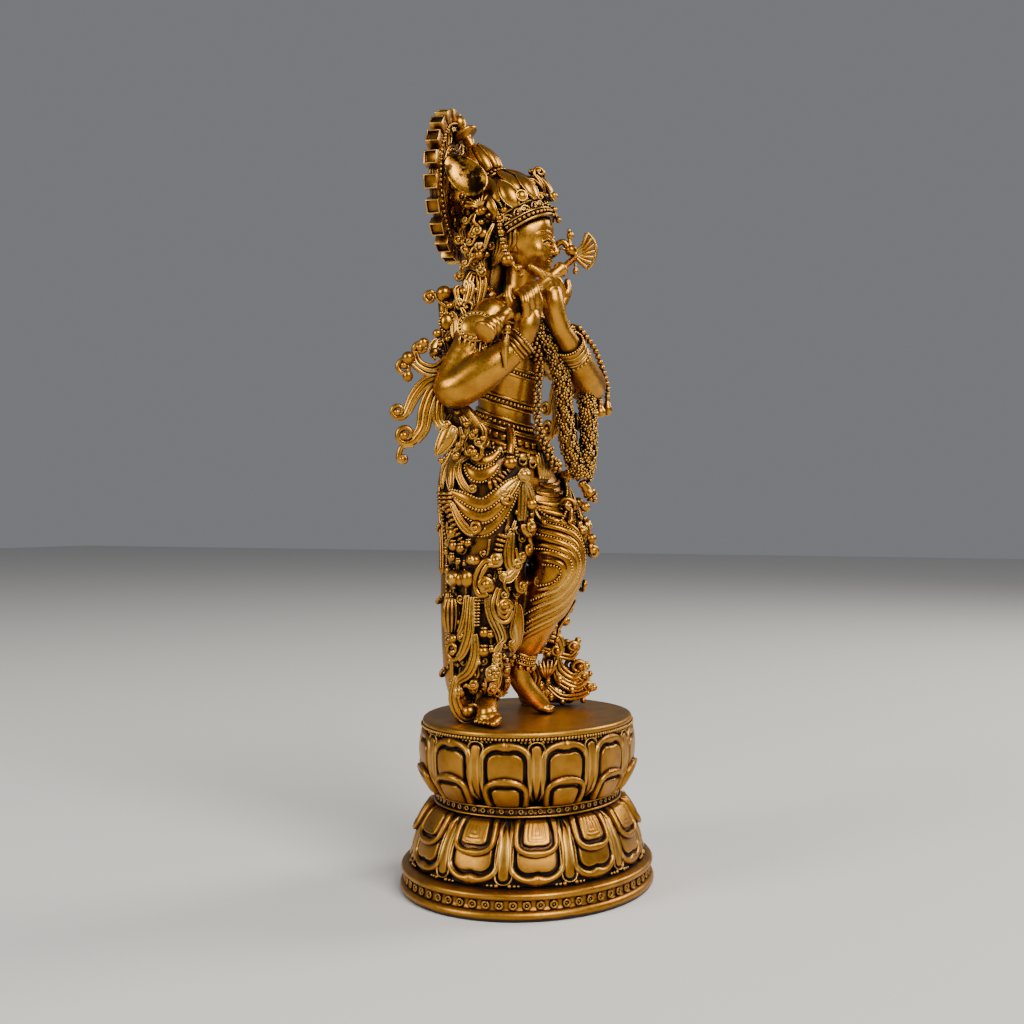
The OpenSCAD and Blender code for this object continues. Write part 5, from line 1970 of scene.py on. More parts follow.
@dataclass
class Halo:
    """The round halo behind the head: square tiles, bead row and rayed plate."""

    outer: float = 18.8
    tile_high: float = 3.0
    tile_wide: float = 3.4
    tile_deep: float = 3.3
    tiles: int = 20

    def tile(self) -> Form:
        """Makes one tile: an open box whose mouth faces outwards, along +Z."""
        small = bmesh.new()
        bmesh.ops.create_cube(
            small, size=1.0, matrix=Matrix.Diagonal((self.tile_wide, self.tile_deep, self.tile_high, 1)),
        )
        top = [f for f in small.faces if f.normal.z > 0.9]
        bmesh.ops.inset_region(small, faces=top, thickness=0.42)
        inner = bmesh.ops.extrude_face_region(small, geom=top)
        bmesh.ops.delete(small, geom=top, context="FACES")
        verts = [g for g in inner["geom"] if isinstance(g, bmesh.types.BMVert)]
        bmesh.ops.translate(small, vec=(0, 0, -1.1), verts=verts)
        bmesh.ops.recalc_face_normals(small, faces=small.faces)
        edges = [e for e in small.edges if e.calc_face_angle(0) > 0.5]
        bmesh.ops.bevel(
            small, geom=edges, offset=0.14, offset_type="OFFSET", affect="EDGES", segments=2, profile=0.5, material=-1,
        )
        form = Form()
        form.take(small)
        return form

    def build(self) -> None:
        """Makes every piece of the halo."""
        rim = self.outer - self.tile_high
        tiles, tile = Carving(), self.tile()
        for way in around(self.tiles, 1.0, start=180 / self.tiles):
            tiles.add(tile, facing(way * (self.outer - self.tile_high / 2), way, (0, 0, 1)))
        tiles.finish("halo_box_tiles", "halo_tiles", Finish.CLOTH, Place.HALO)
        plate = Carving()
        plate.turned(
            [(8.0, -0.5), (rim + 0.2, -0.5), (rim + 0.4, 0.0), (rim + 0.2, 0.5), (8.0, 0.5), (8.0, -0.5)], Matrix(), 96,
        )
        for z in (-0.75, 0.75):
            plate.hoop(around(90, rim - 0.3, z), 0.55)
            plate.hoop(around(90, rim - 5.6, z * 0.8), 0.4)
            plate.hoop(around(90, 8.2, z * 0.8), 0.5)
        for z in (-0.95, 0.95):
            way = above(copysign(1, z))
            for k in range(30):
                spin = Matrix.Rotation(tau * k / 30, 3, "Z")
                path = straight(
                    [
                        spin @ Vector((r, b, z * 0.7)) for r,
                        b in ((rim - 5.2, -0.5), (rim - 3.6, 0.5), (rim - 2.2, 0.2))
                    ],
                    way, 4,
                )
                plate.tendril(path, 0.3, 0.65, 1 if k % 2 else -1, ball=1.7)
                ray = straight([spin @ Vector((r, 0, z * 0.65)) for r in (8.6, 9.3, rim - 6.0)], way, 3)
                plate.leaf(ray, 0.7, 0.4)
        plate.finish("halo_rayed_plate", "halo_plate", Finish.ORNAMENT, Place.HALO)
        row = Carving()
        row.beads(around(120, rim - 0.5, -1.55), 0.42, 1.25, True)
        row.beads(around(120, rim - 1.6, 1.1), 0.42, 1.25, True)
        for k in range(-4, 5):
            a = radians(90 + 5.2 * k)
            at = Vector((cos(a), -sin(a), 0)) * (rim - 1.9) + above(-1.5)
            row.hoop_bead(Matrix.Translation(at), 0.5, 0.2, 10)
        row.finish("halo_bead_rows", "halo_beads", Finish.ORNAMENT, Place.HALO)
        stem = Carving()
        stem.turned([
            (0, -9.5), (3.0, -9.5), (3.1, -6.0), (3.4, -3.6), (4.6, -1.9), (7.0, -1.1), (8.6, -0.5), (8.6, 0.5),
            (6.4, 0.9), (3.2, 1.2), (0, 1.3),
        ], Matrix.Translation((0, 4, 0)), 40)
        middle = Vector((0, 4, 0))
        for k in range(12):
            turn = Matrix.Rotation(tau * k / 12, 3, "Z")
            stem.ball(middle + turn @ Vector((5.4, 0, 1.0)), 1.1, (1.5, 0.8, 0.5), turn, 2)
            stem.ball(middle + turn @ Vector((5.9, 0, -1.5)), 1.2, (1.4, 0.9, 0.6), turn, 2)
        for ball in around(12, 3.6, -3.4, degrees(0.26)):
            stem.ball(middle + ball, 0.8, fine=2)
        stem.finish("halo_stem_boss", "halo_stem", Finish.ORNAMENT, Place.HALO)


# Flute and jewels.


@dataclass
class Flute:
    """The flute, with a ringed and flared end, a fan-tailed bird and a tassel."""

    r: float = 1.5

    def build(self) -> None:
        """Makes the flute's pieces."""
        place = facing(FLUTE_NEAR, FLUTE_WAY)
        r, long = self.r, FLUTE_LONG
        tube = Carving()
        profile = [
            (0, -0.2), (2.3, -0.4), (2.75, 0.1), (2.6, 0.7), (1.9, 1.2), (2.2, 1.6), (2.2, 2.1), (1.8, 2.4), (2.3, 2.9),
            (2.3, 3.5), (1.75, 3.9), (2.0, 4.4), (2.0, 4.9), (r, 5.5),
        ]
        profile += [
            (r, 9.0), (r + 0.3, 9.2), (r + 0.3, 9.8), (r, 10.0), (r, long - 9), (r + 0.35, long - 8.7),
            (r + 0.35, long - 8.0), (0.8, long - 7.4), (0.8, long - 0.6), (0.5, long), (0, long),
        ]
        tube.turned(profile[::-1], place, 32)
        for k in range(6):
            tube.hoop_bead(
                place @ Matrix.Translation((-r * 0.92, 0, 15 + 3.6 * k)) @ Matrix.Rotation(pi / 2, 4, "Y"), 0.42, 0.16,
                12,
            )
        tube.finish("flute_tube", "flute", Finish.SKIN)
        bird = Carving()
        end = FLUTE_NEAR + FLUTE_WAY * (long - 1.5)
        way = Vector((-0.85, -0.45, 0.1)).normalized()
        ahead = Vector((0.42, -0.9, 0)).normalized()
        up = above(1)
        body = end + ahead * -0.4 + up * 3.2

        def spot(across: float, high: float, out: float = 0.0) -> Vector:
            """Gives a point of the bird from its own level and upright directions."""
            return body + ahead * across + up * high + way * out

        bird.sweep(
            straight([spot(-5.6, -3.4), spot(-4.4, -0.4), spot(-2.6, 0.6), spot(-1.0, -1.4), spot(0.6, -2.6)], way),
            lambda t: 0.55 + 0.5 * t, lambda t: 0.55 + 0.4 * t,
        )
        bird.sweep(
            straight([spot(-4.8, -3.2, 0.3), spot(-3.6, -1.4, 0.3), spot(-2.4, -1.2, 0.3), spot(-1.2, -2.6, 0.3)], way),
            lambda t: 0.3, lambda t: 0.35,
        )
        bird.ball(spot(-0.6, -1.6), 1.5, (1.3, 1, 1))
        for k in range(7):
            a = radians(-52 + 17.5 * k)
            tip = spot(0.2 + 5.0 * cos(a), -1.6 + 5.2 * sin(a))
            bend = spot(0.2 + 2.4 * cos(a - 0.25), -1.8 + 2.5 * sin(a - 0.25), 0.35)
            bird.sweep(straight([spot(-0.2, -2.0), bend, tip], way, 6), lambda t: 0.28 + 0.34 * t, lambda t: 0.38)
        bird.strand(
            [(*spot(0.2 + 5.3 * cos(a), -1.6 + 5.5 * sin(a)), 0.34) for a in (radians(-54 + 18 * k) for k in range(7))],
            5,
        )
        bird.ball(spot(-0.9, 2.2), 0.95, (0.9, 0.9, 1.25))
        bird.ball(spot(-1.2, 3.4), 0.5, fine=2)
        bird.strand([(*spot(-0.9, 1.6), 0.4), (*spot(-1.0, 0.6), 0.5), (*spot(-0.8, -0.6), 0.6)], 5)
        bird.drop(Matrix.Translation(spot(0.4, -4.6)), 0.7, 2.8)
        bird.finish("flute_fan_bird", "flute_bird")
        tassel = Carving()
        top = Vector((-23.2, -5.0, 92.4))
        tassel.ball(top, 1.1, fine=2)
        tassel.hoop_bead(Matrix.Translation(top + above(-1.1)), 0.7, 0.3, 14)
        tassel.leaf(
            straight(moves(top, (0, 0, -1.2), (-0.6, 0.1, -4.5), (0.2, 0.3, -9.6)), (-0.8, -0.6, 0)), 0.95, 0.6, 0.2,
        )
        tassel.finish("flute_tassel_leaf", "flute_tassel")


@dataclass
class Jewels:
    """The collar, armlets, bracelets and anklets."""

    skin: Skin

    def cuff(
        self, form: Carving, at: Sequence[float], way: Sequence[float], r: float, rings: Sequence[
            tuple[float, float]
        ], beads: Sequence[tuple[float, float]] = ()
    ) -> Matrix:
        """Adds rings and bead rows round a limb.

        Args:
            form: the form that takes them.
            at: the cuff's middle on the limb's own line.
            way: the limb's direction.
            r: the rings' radius.
            rings: each wire's shift along the limb and radius.
            beads: each bead row's shift along the limb and bead radius.

        Returns:
            The cuff's placing.
        """
        place = facing(at, way)
        for shift, wire in rings:
            form.hoop([place @ p for p in around(40, r, shift)], wire)
        for shift, bead in beads:
            form.beads([place @ p for p in around(40, r + 0.2, shift)], bead, bead * 2.1, True)
        return place

    def collar(self) -> None:
        """Makes the collar and the chest's bead lines."""
        form = Carving()
        for z, slope, wire, beaded in (
            (100.6, 0.50, 0.42, False), (99.0, 0.52, 0.5, True), (97.4, 0.54, 0.42, False), (95.6, 0.58, 0.55, True),
        ):
            ring = self.skin.ring(z, slope, 0.3)
            if beaded:
                form.chain(ring, wire, wire * 2.2, True)
            else:
                form.hoop([p for p, _ in ring], wire)
        ring = self.skin.ring(93.6, 0.6, 0.35)
        for place, way in ring[::5]:
            form.ball(place, 0.85, (0.8, 0.8, 1.2), fine=2)
            form.ball(place + above(-1.5) + way * 0.1, 0.45, fine=2)
        for z, slope in ((86.4, 0.34), (84.9, 0.36)):
            form.hoop([p for p, _ in self.skin.ring(z, slope, 0.15)], 0.34)
        form.chain(self.skin.ring(85.6, 0.35, 0.3), 0.36, 0.85, True)
        spot, way = self.skin.at(12, 91.0, 1.2)
        form.rosette(facing(spot, way), 2.4, 10)
        for k in range(11):
            a = radians(33 * k)
            place, out = self.skin.at(12 + 13 * cos(a), 90.5 + 3.6 * sin(a), 0.9)
            form.ball(place, 0.62, fine=2)
            form.tendril([
                (place, out), (place + Vector((0.5 * cos(a), 0, 0.9)), out),
                (place + Vector((1.0 * cos(a), 0, 1.4)), out),
            ], 0.28, 0.55, 1 if k % 2 else -1)
        form.finish("beaded_collar", "collar")

    def armlets(self) -> None:
        """Makes the armlets, each with an oval beaded plate and hanging leaves."""
        for name, node, arm, face_way in (
            ("right_armlet_plate", "right_armlet", RIGHT_ARM, Vector((-0.9, -0.36, 0.26))),
            ("left_armlet_plate", "left_armlet", LEFT_ARM, Vector((0.86, -0.42, 0.26))),
        ):
            form = Carving()
            a, b = Vector(arm[0][:3]), Vector(arm[2][:3])
            at, along = a.lerp(b, 0.36), (b - a).normalized()
            self.cuff(form, at, along, 4.85, ((-1.7, 0.38), (1.7, 0.38)), ((-0.9, 0.5), (0.9, 0.5)))
            form.beads([facing(at, along) @ p for p in around(40, 5.0)], 0.75, 1.7, True)
            place = facing(at + face_way.normalized() * 5.3 + above(1.2), face_way)
            form.ball(place.translation, 3.3, (1.12, 0.92, 0.34), place.to_3x3())
            for wide, wire, beaded in ((1.0, 0.3, False), (1.13, 0.42, True), (1.28, 0.26, False)):
                loop = [place @ p for p in around(48, 3.5 * wide, 0.1, squash=2.9 / 3.5)]
                if beaded:
                    form.beads(loop, wire, wire * 2.15, True)
                else:
                    form.hoop(loop, wire)
            way = place.to_3x3() @ above(1)
            for k in range(7):
                x = -3.6 + 1.2 * k
                top = place @ Vector((x, -3.1 + 0.08 * x * x, -0.1))
                form.tendril(
                    straight(moves(top, (0, 0, 0), (0.1 * x, 0.1, -1.6), (-0.2 * x, 0.2, -3.2)), way), 0.42, 0.75,
                    1 if k % 2 else -1, ball=1.6
                )
                form.ball(top + way * 0.4, 0.55, fine=2)
            form.finish(name, node)

    def bracelets(self) -> None:
        """Makes the right wrist's three rings and the left wrist's wide beaded band."""
        right = Carving()
        at, along = Vector((-18.1, -5.6, 89.2)), (Vector(RIGHT_ARM[6][:3]) - Vector(RIGHT_ARM[5][:3])).normalized()
        self.cuff(right, at, along, 3.1, ((-1.35, 0.5), (-0.35, 0.55), (0.7, 0.5)), ((1.5, 0.34),))
        for k in range(9):
            a = radians(200 + 16 * k)
            drop = facing(at, along) @ Vector((3.1 * cos(a), 3.1 * sin(a), -2.2))
            right.ball(drop, 0.48, fine=2)
        right.finish("right_triple_bracelet", "right_bracelet")
        left = Carving()
        a, b = Vector(LEFT_ARM[4][:3]), Vector(LEFT_ARM[6][:3])
        at, along = a.lerp(b, 0.55), (b - a).normalized()
        place = self.cuff(left, at, along, 3.55, ((-1.9, 0.42), (1.75, 0.5)), ((-2.7, 0.5), (2.5, 0.3)))
        left.turned([(3.0, 1.7), (3.5, 1.6), (3.75, 0.4), (3.85, -1.2), (3.5, -1.8), (3.0, -1.9)], place, 40)
        self.cuff(left, at, along, 3.75, ((-0.9, 0.22), (0.6, 0.22)))
        left.finish("left_wide_bracelet", "left_bracelet")

    def anklets(self) -> None:
        """Makes the anklets."""
        for name, node, at, way, r in (
            ("right_bell_anklet", "right_anklet", (-14.6, 4.3, 9.4), (-0.25, 0.05, -1), 3.5),
            ("left_bell_anklet", "left_anklet", (-2.9, 0.6, 14.6), (0.0, 0.35, -1), 3.6),
        ):
            form = Carving()
            place = self.cuff(form, at, way, r, ((-1.1, 0.42), (1.1, 0.42), (0.0, 0.3)), ((-0.55, 0.32), (0.55, 0.32)))
            for bell in around(12, r + 0.35, 1.95):
                form.ball(place @ bell, 0.66, fine=2)
            form.finish(name, node)

    def build(self) -> None:
        """Makes every jewel."""
        self.collar()
        self.armlets()
        self.bracelets()
        self.anklets()


@dataclass
class Garland:
    """The long garland of small flowers, with a braided bead rope beside it and a tassel."""

    seed: int = 7

    def flower(self, r: float) -> Form:
        """Makes one small flower, facing +Z."""
        form = Form()
        for petal in around(5, r * 0.56):
            form.ball(petal, r * 0.42, (1, 1, 0.6), fine=1)
        form.ball((0, 0, r * 0.26), r * 0.3, fine=1)
        return form

    def rope(
        self, form: Carving, points: Sequence[Sequence[float]], r: float, flower: Form, rng: random.Random,
    ) -> None:
        """Covers a rope with flowers.

        Args:
            form: the form that takes them.
            points: the rope's line.
            r: the rope's radius.
            flower: the flower.
            rng: the random numbers.
        """
        path = smooth_path([(*p, r * 0.72) for p in points], 8)
        form.strands.append((path, False))
        for k, (at, along) in enumerate(walk(path, 1.55)):
            base = facing(at, along)
            for j in range(5):
                a = tau * (j + 0.5 * (k % 2)) / 5 + rng.uniform(-0.15, 0.15)
                way = base.to_3x3() @ Vector((cos(a), sin(a), 0))
                spin = facing(
                    at + way * r * 0.86, way + along * rng.uniform(-0.25, 0.25),
                ) @ Matrix.Rotation(rng.uniform(0, 6), 4, "Z")
                form.add(flower, spin @ Matrix.Scale(rng.uniform(0.85, 1.15), 4))

    def build(self) -> None:
        """Makes the garland and its tassel."""
        rng = random.Random(self.seed)
        flower = self.flower(1.15)
        form = Carving()
        near = [
            (-11.5, 1.5, 100.5), (-7.4, -4.2, 96.5), (-2.6, -7.4, 90.0), (1.0, -8.6, 82.0), (2.6, -8.6, 74.0),
            (3.6, -9.6, 66.0), (5.6, -11.4, 59.6),
        ]
        far = [
            (8.5, 1.0, 100.6), (9.6, -6.0, 96.0), (10.4, -9.6, 88.0), (10.0, -11.6, 78.0), (8.8, -12.6, 69.5),
            (7.4, -12.8, 62.5), (6.0, -12.4, 58.6),
        ]
        self.rope(form, near, 2.35, flower, rng)
        self.rope(form, far, 2.35, flower, rng)
        braid = smooth_path([
            (-7.5, -4.4, 93.5), (-5.8, -5.6, 86.0), (-5.4, -4.8, 78.0), (-5.6, -5.4, 70.0), (-3.6, -7.6, 63.5),
            (-1.2, -8.4, 60.5),
        ], 10)
        for k, (at, along) in enumerate(walk(braid, 0.95)):
            base = facing(at, along).to_3x3()
            for j in range(3):
                a = 1.05 * k + tau * j / 3
                form.ball(at + base @ Vector((0.72 * cos(a), 0.72 * sin(a), 0)), 0.52, fine=2)
        form.finish("flower_garland", "garland")
        tassel = Carving()
        top = Vector((4.4, -12.2, 57.6))
        place = facing(top, Vector((-0.42, 0.45, 0.75)), (0, 0, 1))
        tassel.turned([
            (0, -4.6), (1.5, -4.4), (1.75, -3.8), (1.5, -3.2), (1.1, -2.6), (1.3, -2.2), (0.9, -1.4), (1.2, -0.9),
            (1.0, -0.3), (0, 0.2),
        ], place, 20)
        for bell in around(7, 1.1, -5.0):
            tassel.ball(place @ bell, 0.55, fine=2)
        tassel.ball(place @ above(-5.9), 0.8, fine=2)
        tassel.finish("garland_bell_tassel", "garland_pendant")


# Dress.


@dataclass
class Dress:
    """The draped cloth: skirt, back drape, belt, sash, swags and front panel."""

    raised: Sequence[Sequence[float]] = (
        (6, 7.0, 57, 10.6), (3.2, -0.8, 48, 9.2), (
            -1.2, -8.6, 39.2, 6.1,
        ), (-1.8, -7.0, 32, 5.8), (-2.4, -3.4, 24, 5.2), (-2.8, -0.6, 18.2, 4.6),
    )

    def skirt(self) -> Form:
        """Shapes the cloth round the hips and both legs."""
        form = Form()
        form.ball((-1, 7.6, 60.5), 12.6, (1.16, 1.02, 0.95))
        form.limb([
            (-6.5, 8, 56, 11.4), (-8.4, 6.8, 45, 9.8), (-9.4, 5.8, 33, 8.4), (-11.6, 5.6, 21, 7.4),
            (-13.2, 5.6, 11.5, 6.2),
        ], 8)
        form.limb(self.raised, 8)
        form.limb([(7, 10, 54, 9), (6, 10.5, 42, 7.6), (4.5, 10.5, 30, 6.2), (3, 10.5, 19, 4.6)], 6)
        form.fuse(0.6, 8)
        return form

    def back(self) -> Form:
        """Shapes the long drape at the back."""
        form = Form()
        form.limb([
            (-2, 13.5, 66, 7.0), (-2.6, 14.5, 56, 8.0), (-4.4, 13.6, 42, 7.6), (-6.4, 13.2, 27, 7.2),
            (-7.8, 12.6, 12, 6.4), (-8, 12.4, 5.2, 4.9),
        ], 8)
        form.limb(
            [(6, 13.0, 62, 6.0), (5.4, 13.6, 50, 6.2), (4.6, 13.4, 36, 5.4), (3.6, 13.0, 22, 4.6), (2.4, 12.6, 9, 4.0)],
            7,
        )
        form.fuse(0.6, 8)
        return form

    def belt(self, skin: Skin) -> None:
        """Makes the belt: bead lines, a smooth band, square studs and a scalloped edge.

        Args:
            skin: the body.
        """
        form = Carving()
        slope = 0.36

        def ring(z: float, out: float) -> Trail:
            """Lays one of the belt's lines."""
            return skin.ring(z, slope, out)

        for z, wire in ((79.0, 0.4), (76.9, 0.34), (73.9, 0.42), (71.5, 0.4), (71.0, 0.34), (68.0, 0.62)):
            form.hoop([p for p, _ in ring(z, 0.3)], wire)
        for z, bead in ((78.0, 0.48), (72.7, 0.56)):
            form.chain(ring(z, 0.5), bead, bead * 2.15, True)

        def places(z: float, out: float, gap: float) -> list[Matrix]:
            """Gives even placings along one of the belt's lines, facing outwards."""
            spots = [at for at, _ in walk([p for p, _ in ring(z, out)], gap, True)]
            return [facing(at, at - skin.middle(at.z)) for at in spots]

        for place in places(69.5, 0.55, 2.1):
            form.cube(place, (1.35, 1.5, 0.9), 0.3)
        for place in places(66.6, 0.5, 3.0):
            form.ball(place.translation, 1.35, (1.0, 0.85, 0.5), place.to_3x3(), 2)
            form.hoop_bead(place @ Matrix.Translation((0, -0.9, 0.2)), 1.0, 0.34, 14)
            for s in (-1, 1):
                form.ball(place @ Vector((s * 1.4, 0.5, 0.3)), 0.5, fine=2)
        form.finish("studded_belt", "waist_belt")

    def swag(self, form: Carving, path: Trail, wide: float) -> None:
        """Adds one swag: a smooth band with a bead line at each edge.

        Args:
            form: the form that takes it.
            path: the line of its middle.
            wide: greatest half width.
        """

        def half(t: float) -> float:
            """Gives the band's half width."""
            return wide * (0.22 + 0.78 * sin(pi * t) ** 0.8)

        form.sweep(path, half, lambda t: 0.55, 10)
        last = len(path) - 1
        for hand in (-1, 1):
            line = [
                p + n.cross(heading(path, i)) * hand * half(i / last) + n * 0.25
                for i, (p, n) in enumerate(path)
            ]
            form.beads(line, 0.34, 0.76)

    def sash(self, skin: Skin) -> None:
        """Makes the hip sash: knot, swags, hanging leaves and their mirrored twins.

        Args:
            skin: the body.
        """
        form = Carving()
        for s in (1, -1):
            run = partial(skin.run, hand=s)
            for low, wide, lift in ((45.6, 1.5, 0.9), (48.6, 1.45, 1.5), (51.6, 1.35, 2.0)):
                self.swag(
                    form,
                    run([
                        (44, 58.2), (58, low + 4.6), (76, low), (94, low + 2.0), (106, 54 + (low - 48) * 0.3),
                    ], lift, 8),
                    wide,
                )
            for low, wide in ((59.0, 1.6), (62.4, 1.3)):
                self.swag(form, run([(66, low + 2.2), (74, low), (84, low - 0.4), (94, low + 2.4)], 1.0, 8), wide)
            spot, way = skin.at(s * 109, 53.5, 1.8)
            for k in range(3):
                form.hoop_bead(Matrix.Translation(spot + above(0.9 - 0.95 * k)), 1.7, 0.42, 20)
            form.ball(spot, 1.5, fine=2)
            form.horn(run([(108, 52.0), (106, 48.5), (103, 45.4), (98, 43.4)], 1.6), 1.75, 1.0)
            form.horn(run([(122, 55.0), (126, 51.0), (128, 47.0), (126, 43.5)], 1.2), 1.3, 0.7)
            form.tendril(run([(105, 52.6), (99, 48.6), (90, 45.6), (84, 45.0)], 2.2), 0.62, 1.2, s, lines=3)
            form.leaf(run([(108, 66.5), (109, 62.0), (107, 57.6), (106, 54.6)], 1.0), 1.5, 0.8, 0.25, 0.2)
            form.leaf(run([(118, 65.5), (120, 60.0), (119, 55.0)], 0.8), 1.3, 0.7, 0.25, 0.2)
            form.tendril(run([(100, 63.6), (99, 59.4), (93, 56.0), (88, 54.6)], 1.2), 0.55, 0.9, s, lines=3)
            form.tendril(run([(103, 61.0), (93, 63.4), (91, 66.6)], 1.2), 0.62, 1.5, -s, lines=2, turns=1.3)
            form.horn(run([(72, 56.4), (67, 56.8), (62, 58.6), (57, 59.6)], 1.3), 1.75, 0.75)
            form.tendril(run([(70, 55.0), (62, 56.2), (54, 57.4)], 1.4), 0.36, lines=2)
            for turn, hand in ((58, 1), (52, -1)):
                form.tendril(run([(46, 58.4), (turn, 55.6), (turn + 4, 53.4)], 2.2), 0.6, 1.2, s * hand, lines=2)
            spot, _ = skin.at(s * 56, 61.4, 1.9)
            form.ball(spot, 1.7)
            form.hoop_bead(Matrix.Translation(spot + above(1.5)), 0.8, 0.3)
            form.chain(run([(130, 68), (133, 58), (134, 48), (131, 38), (128, 30)], 0.6), 0.5, 1.1)
            form.chain(run([(145, 68), (148, 56), (148, 44), (146, 30), (144, 16)], 0.5), 0.42, 0.95)
        form.sweep(skin.run([(54, 70.6), (54, 67.0), (56, 63.4)], 1.4), lambda t: 1.15 - 0.2 * t, lambda t: 0.5)
        form.chain(skin.run([(50, 70.0), (50, 66.0), (50, 61.5)], 1.6), 0.34, 0.8)
        for turn in (44, -44):
            spot, way = skin.at(turn, 58.6, 2.2)
            form.ball(spot, 1.9, (1, 1, 0.8))
            form.rosette(facing(spot + way * 0.9, way), 1.7)
        form.finish("hip_sash_swags", "hip_sash", Finish.CLOTH)

    def front(self, skin: Skin) -> None:
        """Makes the front panel of hanging strands, beads and leaves.

        Args:
            skin: the body.
        """
        form = Carving()
        for s in (1, -1):
            run = partial(skin.run, hand=s)
            for k, (turn, low, wire) in enumerate(
                ((38, 47, 0.75), (31, 45, 0.6), (22, 47, 0.85), (12, 50, 0.7), (4, 46, 0.7))
            ):
                path = run([(43, 57.8), (lerp(43, turn, 0.6), lerp(57.8, low, 0.45)), (turn, low)], 1.4)
                form.tendril(path, wire, 1.0 if k % 2 else 0.0, s, lines=3 if k in (0, 2) else 1)
                form.chain(run([
                    (42 - 2 * k, 57.0), (lerp(43, turn, 0.6) - 3, lerp(57.8, low, 0.45)), (turn - 4, low + 1),
                ], 1.5), 0.34, 0.8)
            form.ball(skin.at(s * 30, 51.8, 2.2)[0], 1.5)
            for z, r in ((49.4, 0.6), (47.8, 0.95), (46.4, 1.3)):
                form.ball(skin.at(s * 27, z, 2.2)[0], r, fine=2)
            form.tendril(run([(38, 47.2), (36, 45.4), (31, 44.6)], 2.4), 0.85, 1.5, s, turns=1.3)
            form.tendril(run([(26, 44.4), (23, 43.0), (19, 42.0)], 2.2), 0.7, 1.25, -s, turns=1.3)
        for k in range(5):
            turn = 20 - 5 * k
            path = skin.run([(turn, 64.5), (turn - 2, 61), (turn - 5, 58.2)], 0.9)
            form.leaf(path, 1.2, 0.6, 0.2)
            form.ball(path[-1][0], 0.5, fine=2)
        form.finish("front_hanging_panel", "front_panel")

    def folds(self, form: Carving, skin: Skin) -> None:
        """Adds the curved folds round the raised knee, edged with beads.

        Args:
            form: the form that takes them.
            skin: the body.
        """
        leg = Form()
        leg.limb(self.raised, 8)
        shin = Skin([leg], axis=[(p[0], p[1], p[2]) for p in self.raised[::-1]], leap=2.6)
        for k in range(9):
            edge, tall, mid = 46 - 10 * k, 2.6 + 1.35 * k, 35.0 + 0.25 * k
            loop = (
                (104, 1.25), (76, 1.2), (lerp(76, edge, 0.7), 0.85), (edge, 0.05),
                (lerp(76, edge, 0.75), -0.8), (72, -1.25), (98, -1.5),
            )
            path = shin.run([(turn, mid + tall * up) for turn, up in loop], 0.35, 8)
            form.sweep(path, lambda t: 0.3 + 0.62 * sin(pi * t) ** 0.7, lambda t: 0.6, 8)
            if k % 2 == 0:
                inner = list(enumerate(path))[2:-2]
                line = [p + n * 0.35 - n.cross(heading(path, i)) * 0.95 for i, (p, n) in inner]
                form.beads(line, 0.32, 0.74)
        for z in (52.5, 55.0, 57.2):
            form.sweep(
                skin.run([(8, z), (-6, z - 0.8), (-22, z - 0.6), (-38, z + 1)], 0.1),
                lambda t: 0.9 * sin(pi * (0.08 + 0.84 * t)), lambda t: 0.5, 8,
            )
        form.leaf(skin.run([(26, 28.5), (24, 24.0), (20, 19.5), (16, 17.4)], 1.0), 2.1, 0.8, rim=0.18)
        form.leaf(skin.run([(36, 24.5), (32, 20.0), (25, 16.0)], 0.8), 1.6, 0.8, rim=0.18)

    def build(self, bare: Form) -> Skin:
        """Makes the dress.

        Args:
            bare: the bare torso.

        Returns:
            The surface for laying more ornaments on.
        """
        skirt, back = self.skirt(), self.back()
        skin = Skin([bare, skirt, back])
        cloth = Carving()
        cloth.add(skirt)
        self.folds(cloth, skin)
        cloth.finish("draped_skirt", "skirt", Finish.CLOTH)
        drape = Carving()
        drape.add(back)
        for k in range(9):
            turn = 150 + 7.5 * k
            drape.sweep(skin.run([
                (turn, 66), (turn + 1, 50), (turn - 1, 32), (turn, 9),
            ], 0.1), lambda t: 0.75, lambda t: 0.5, 8)
        for z in (12, 30, 48):
            drape.chain(skin.run([(146, z), (165, z - 2), (180, z - 2.6), (195, z - 2), (214, z)], 0.9), 0.5, 1.1)
        drape.finish("back_long_drape", "back_drape", Finish.CLOTH)
        self.belt(skin)
        self.sash(skin)
        self.front(skin)
        return skin


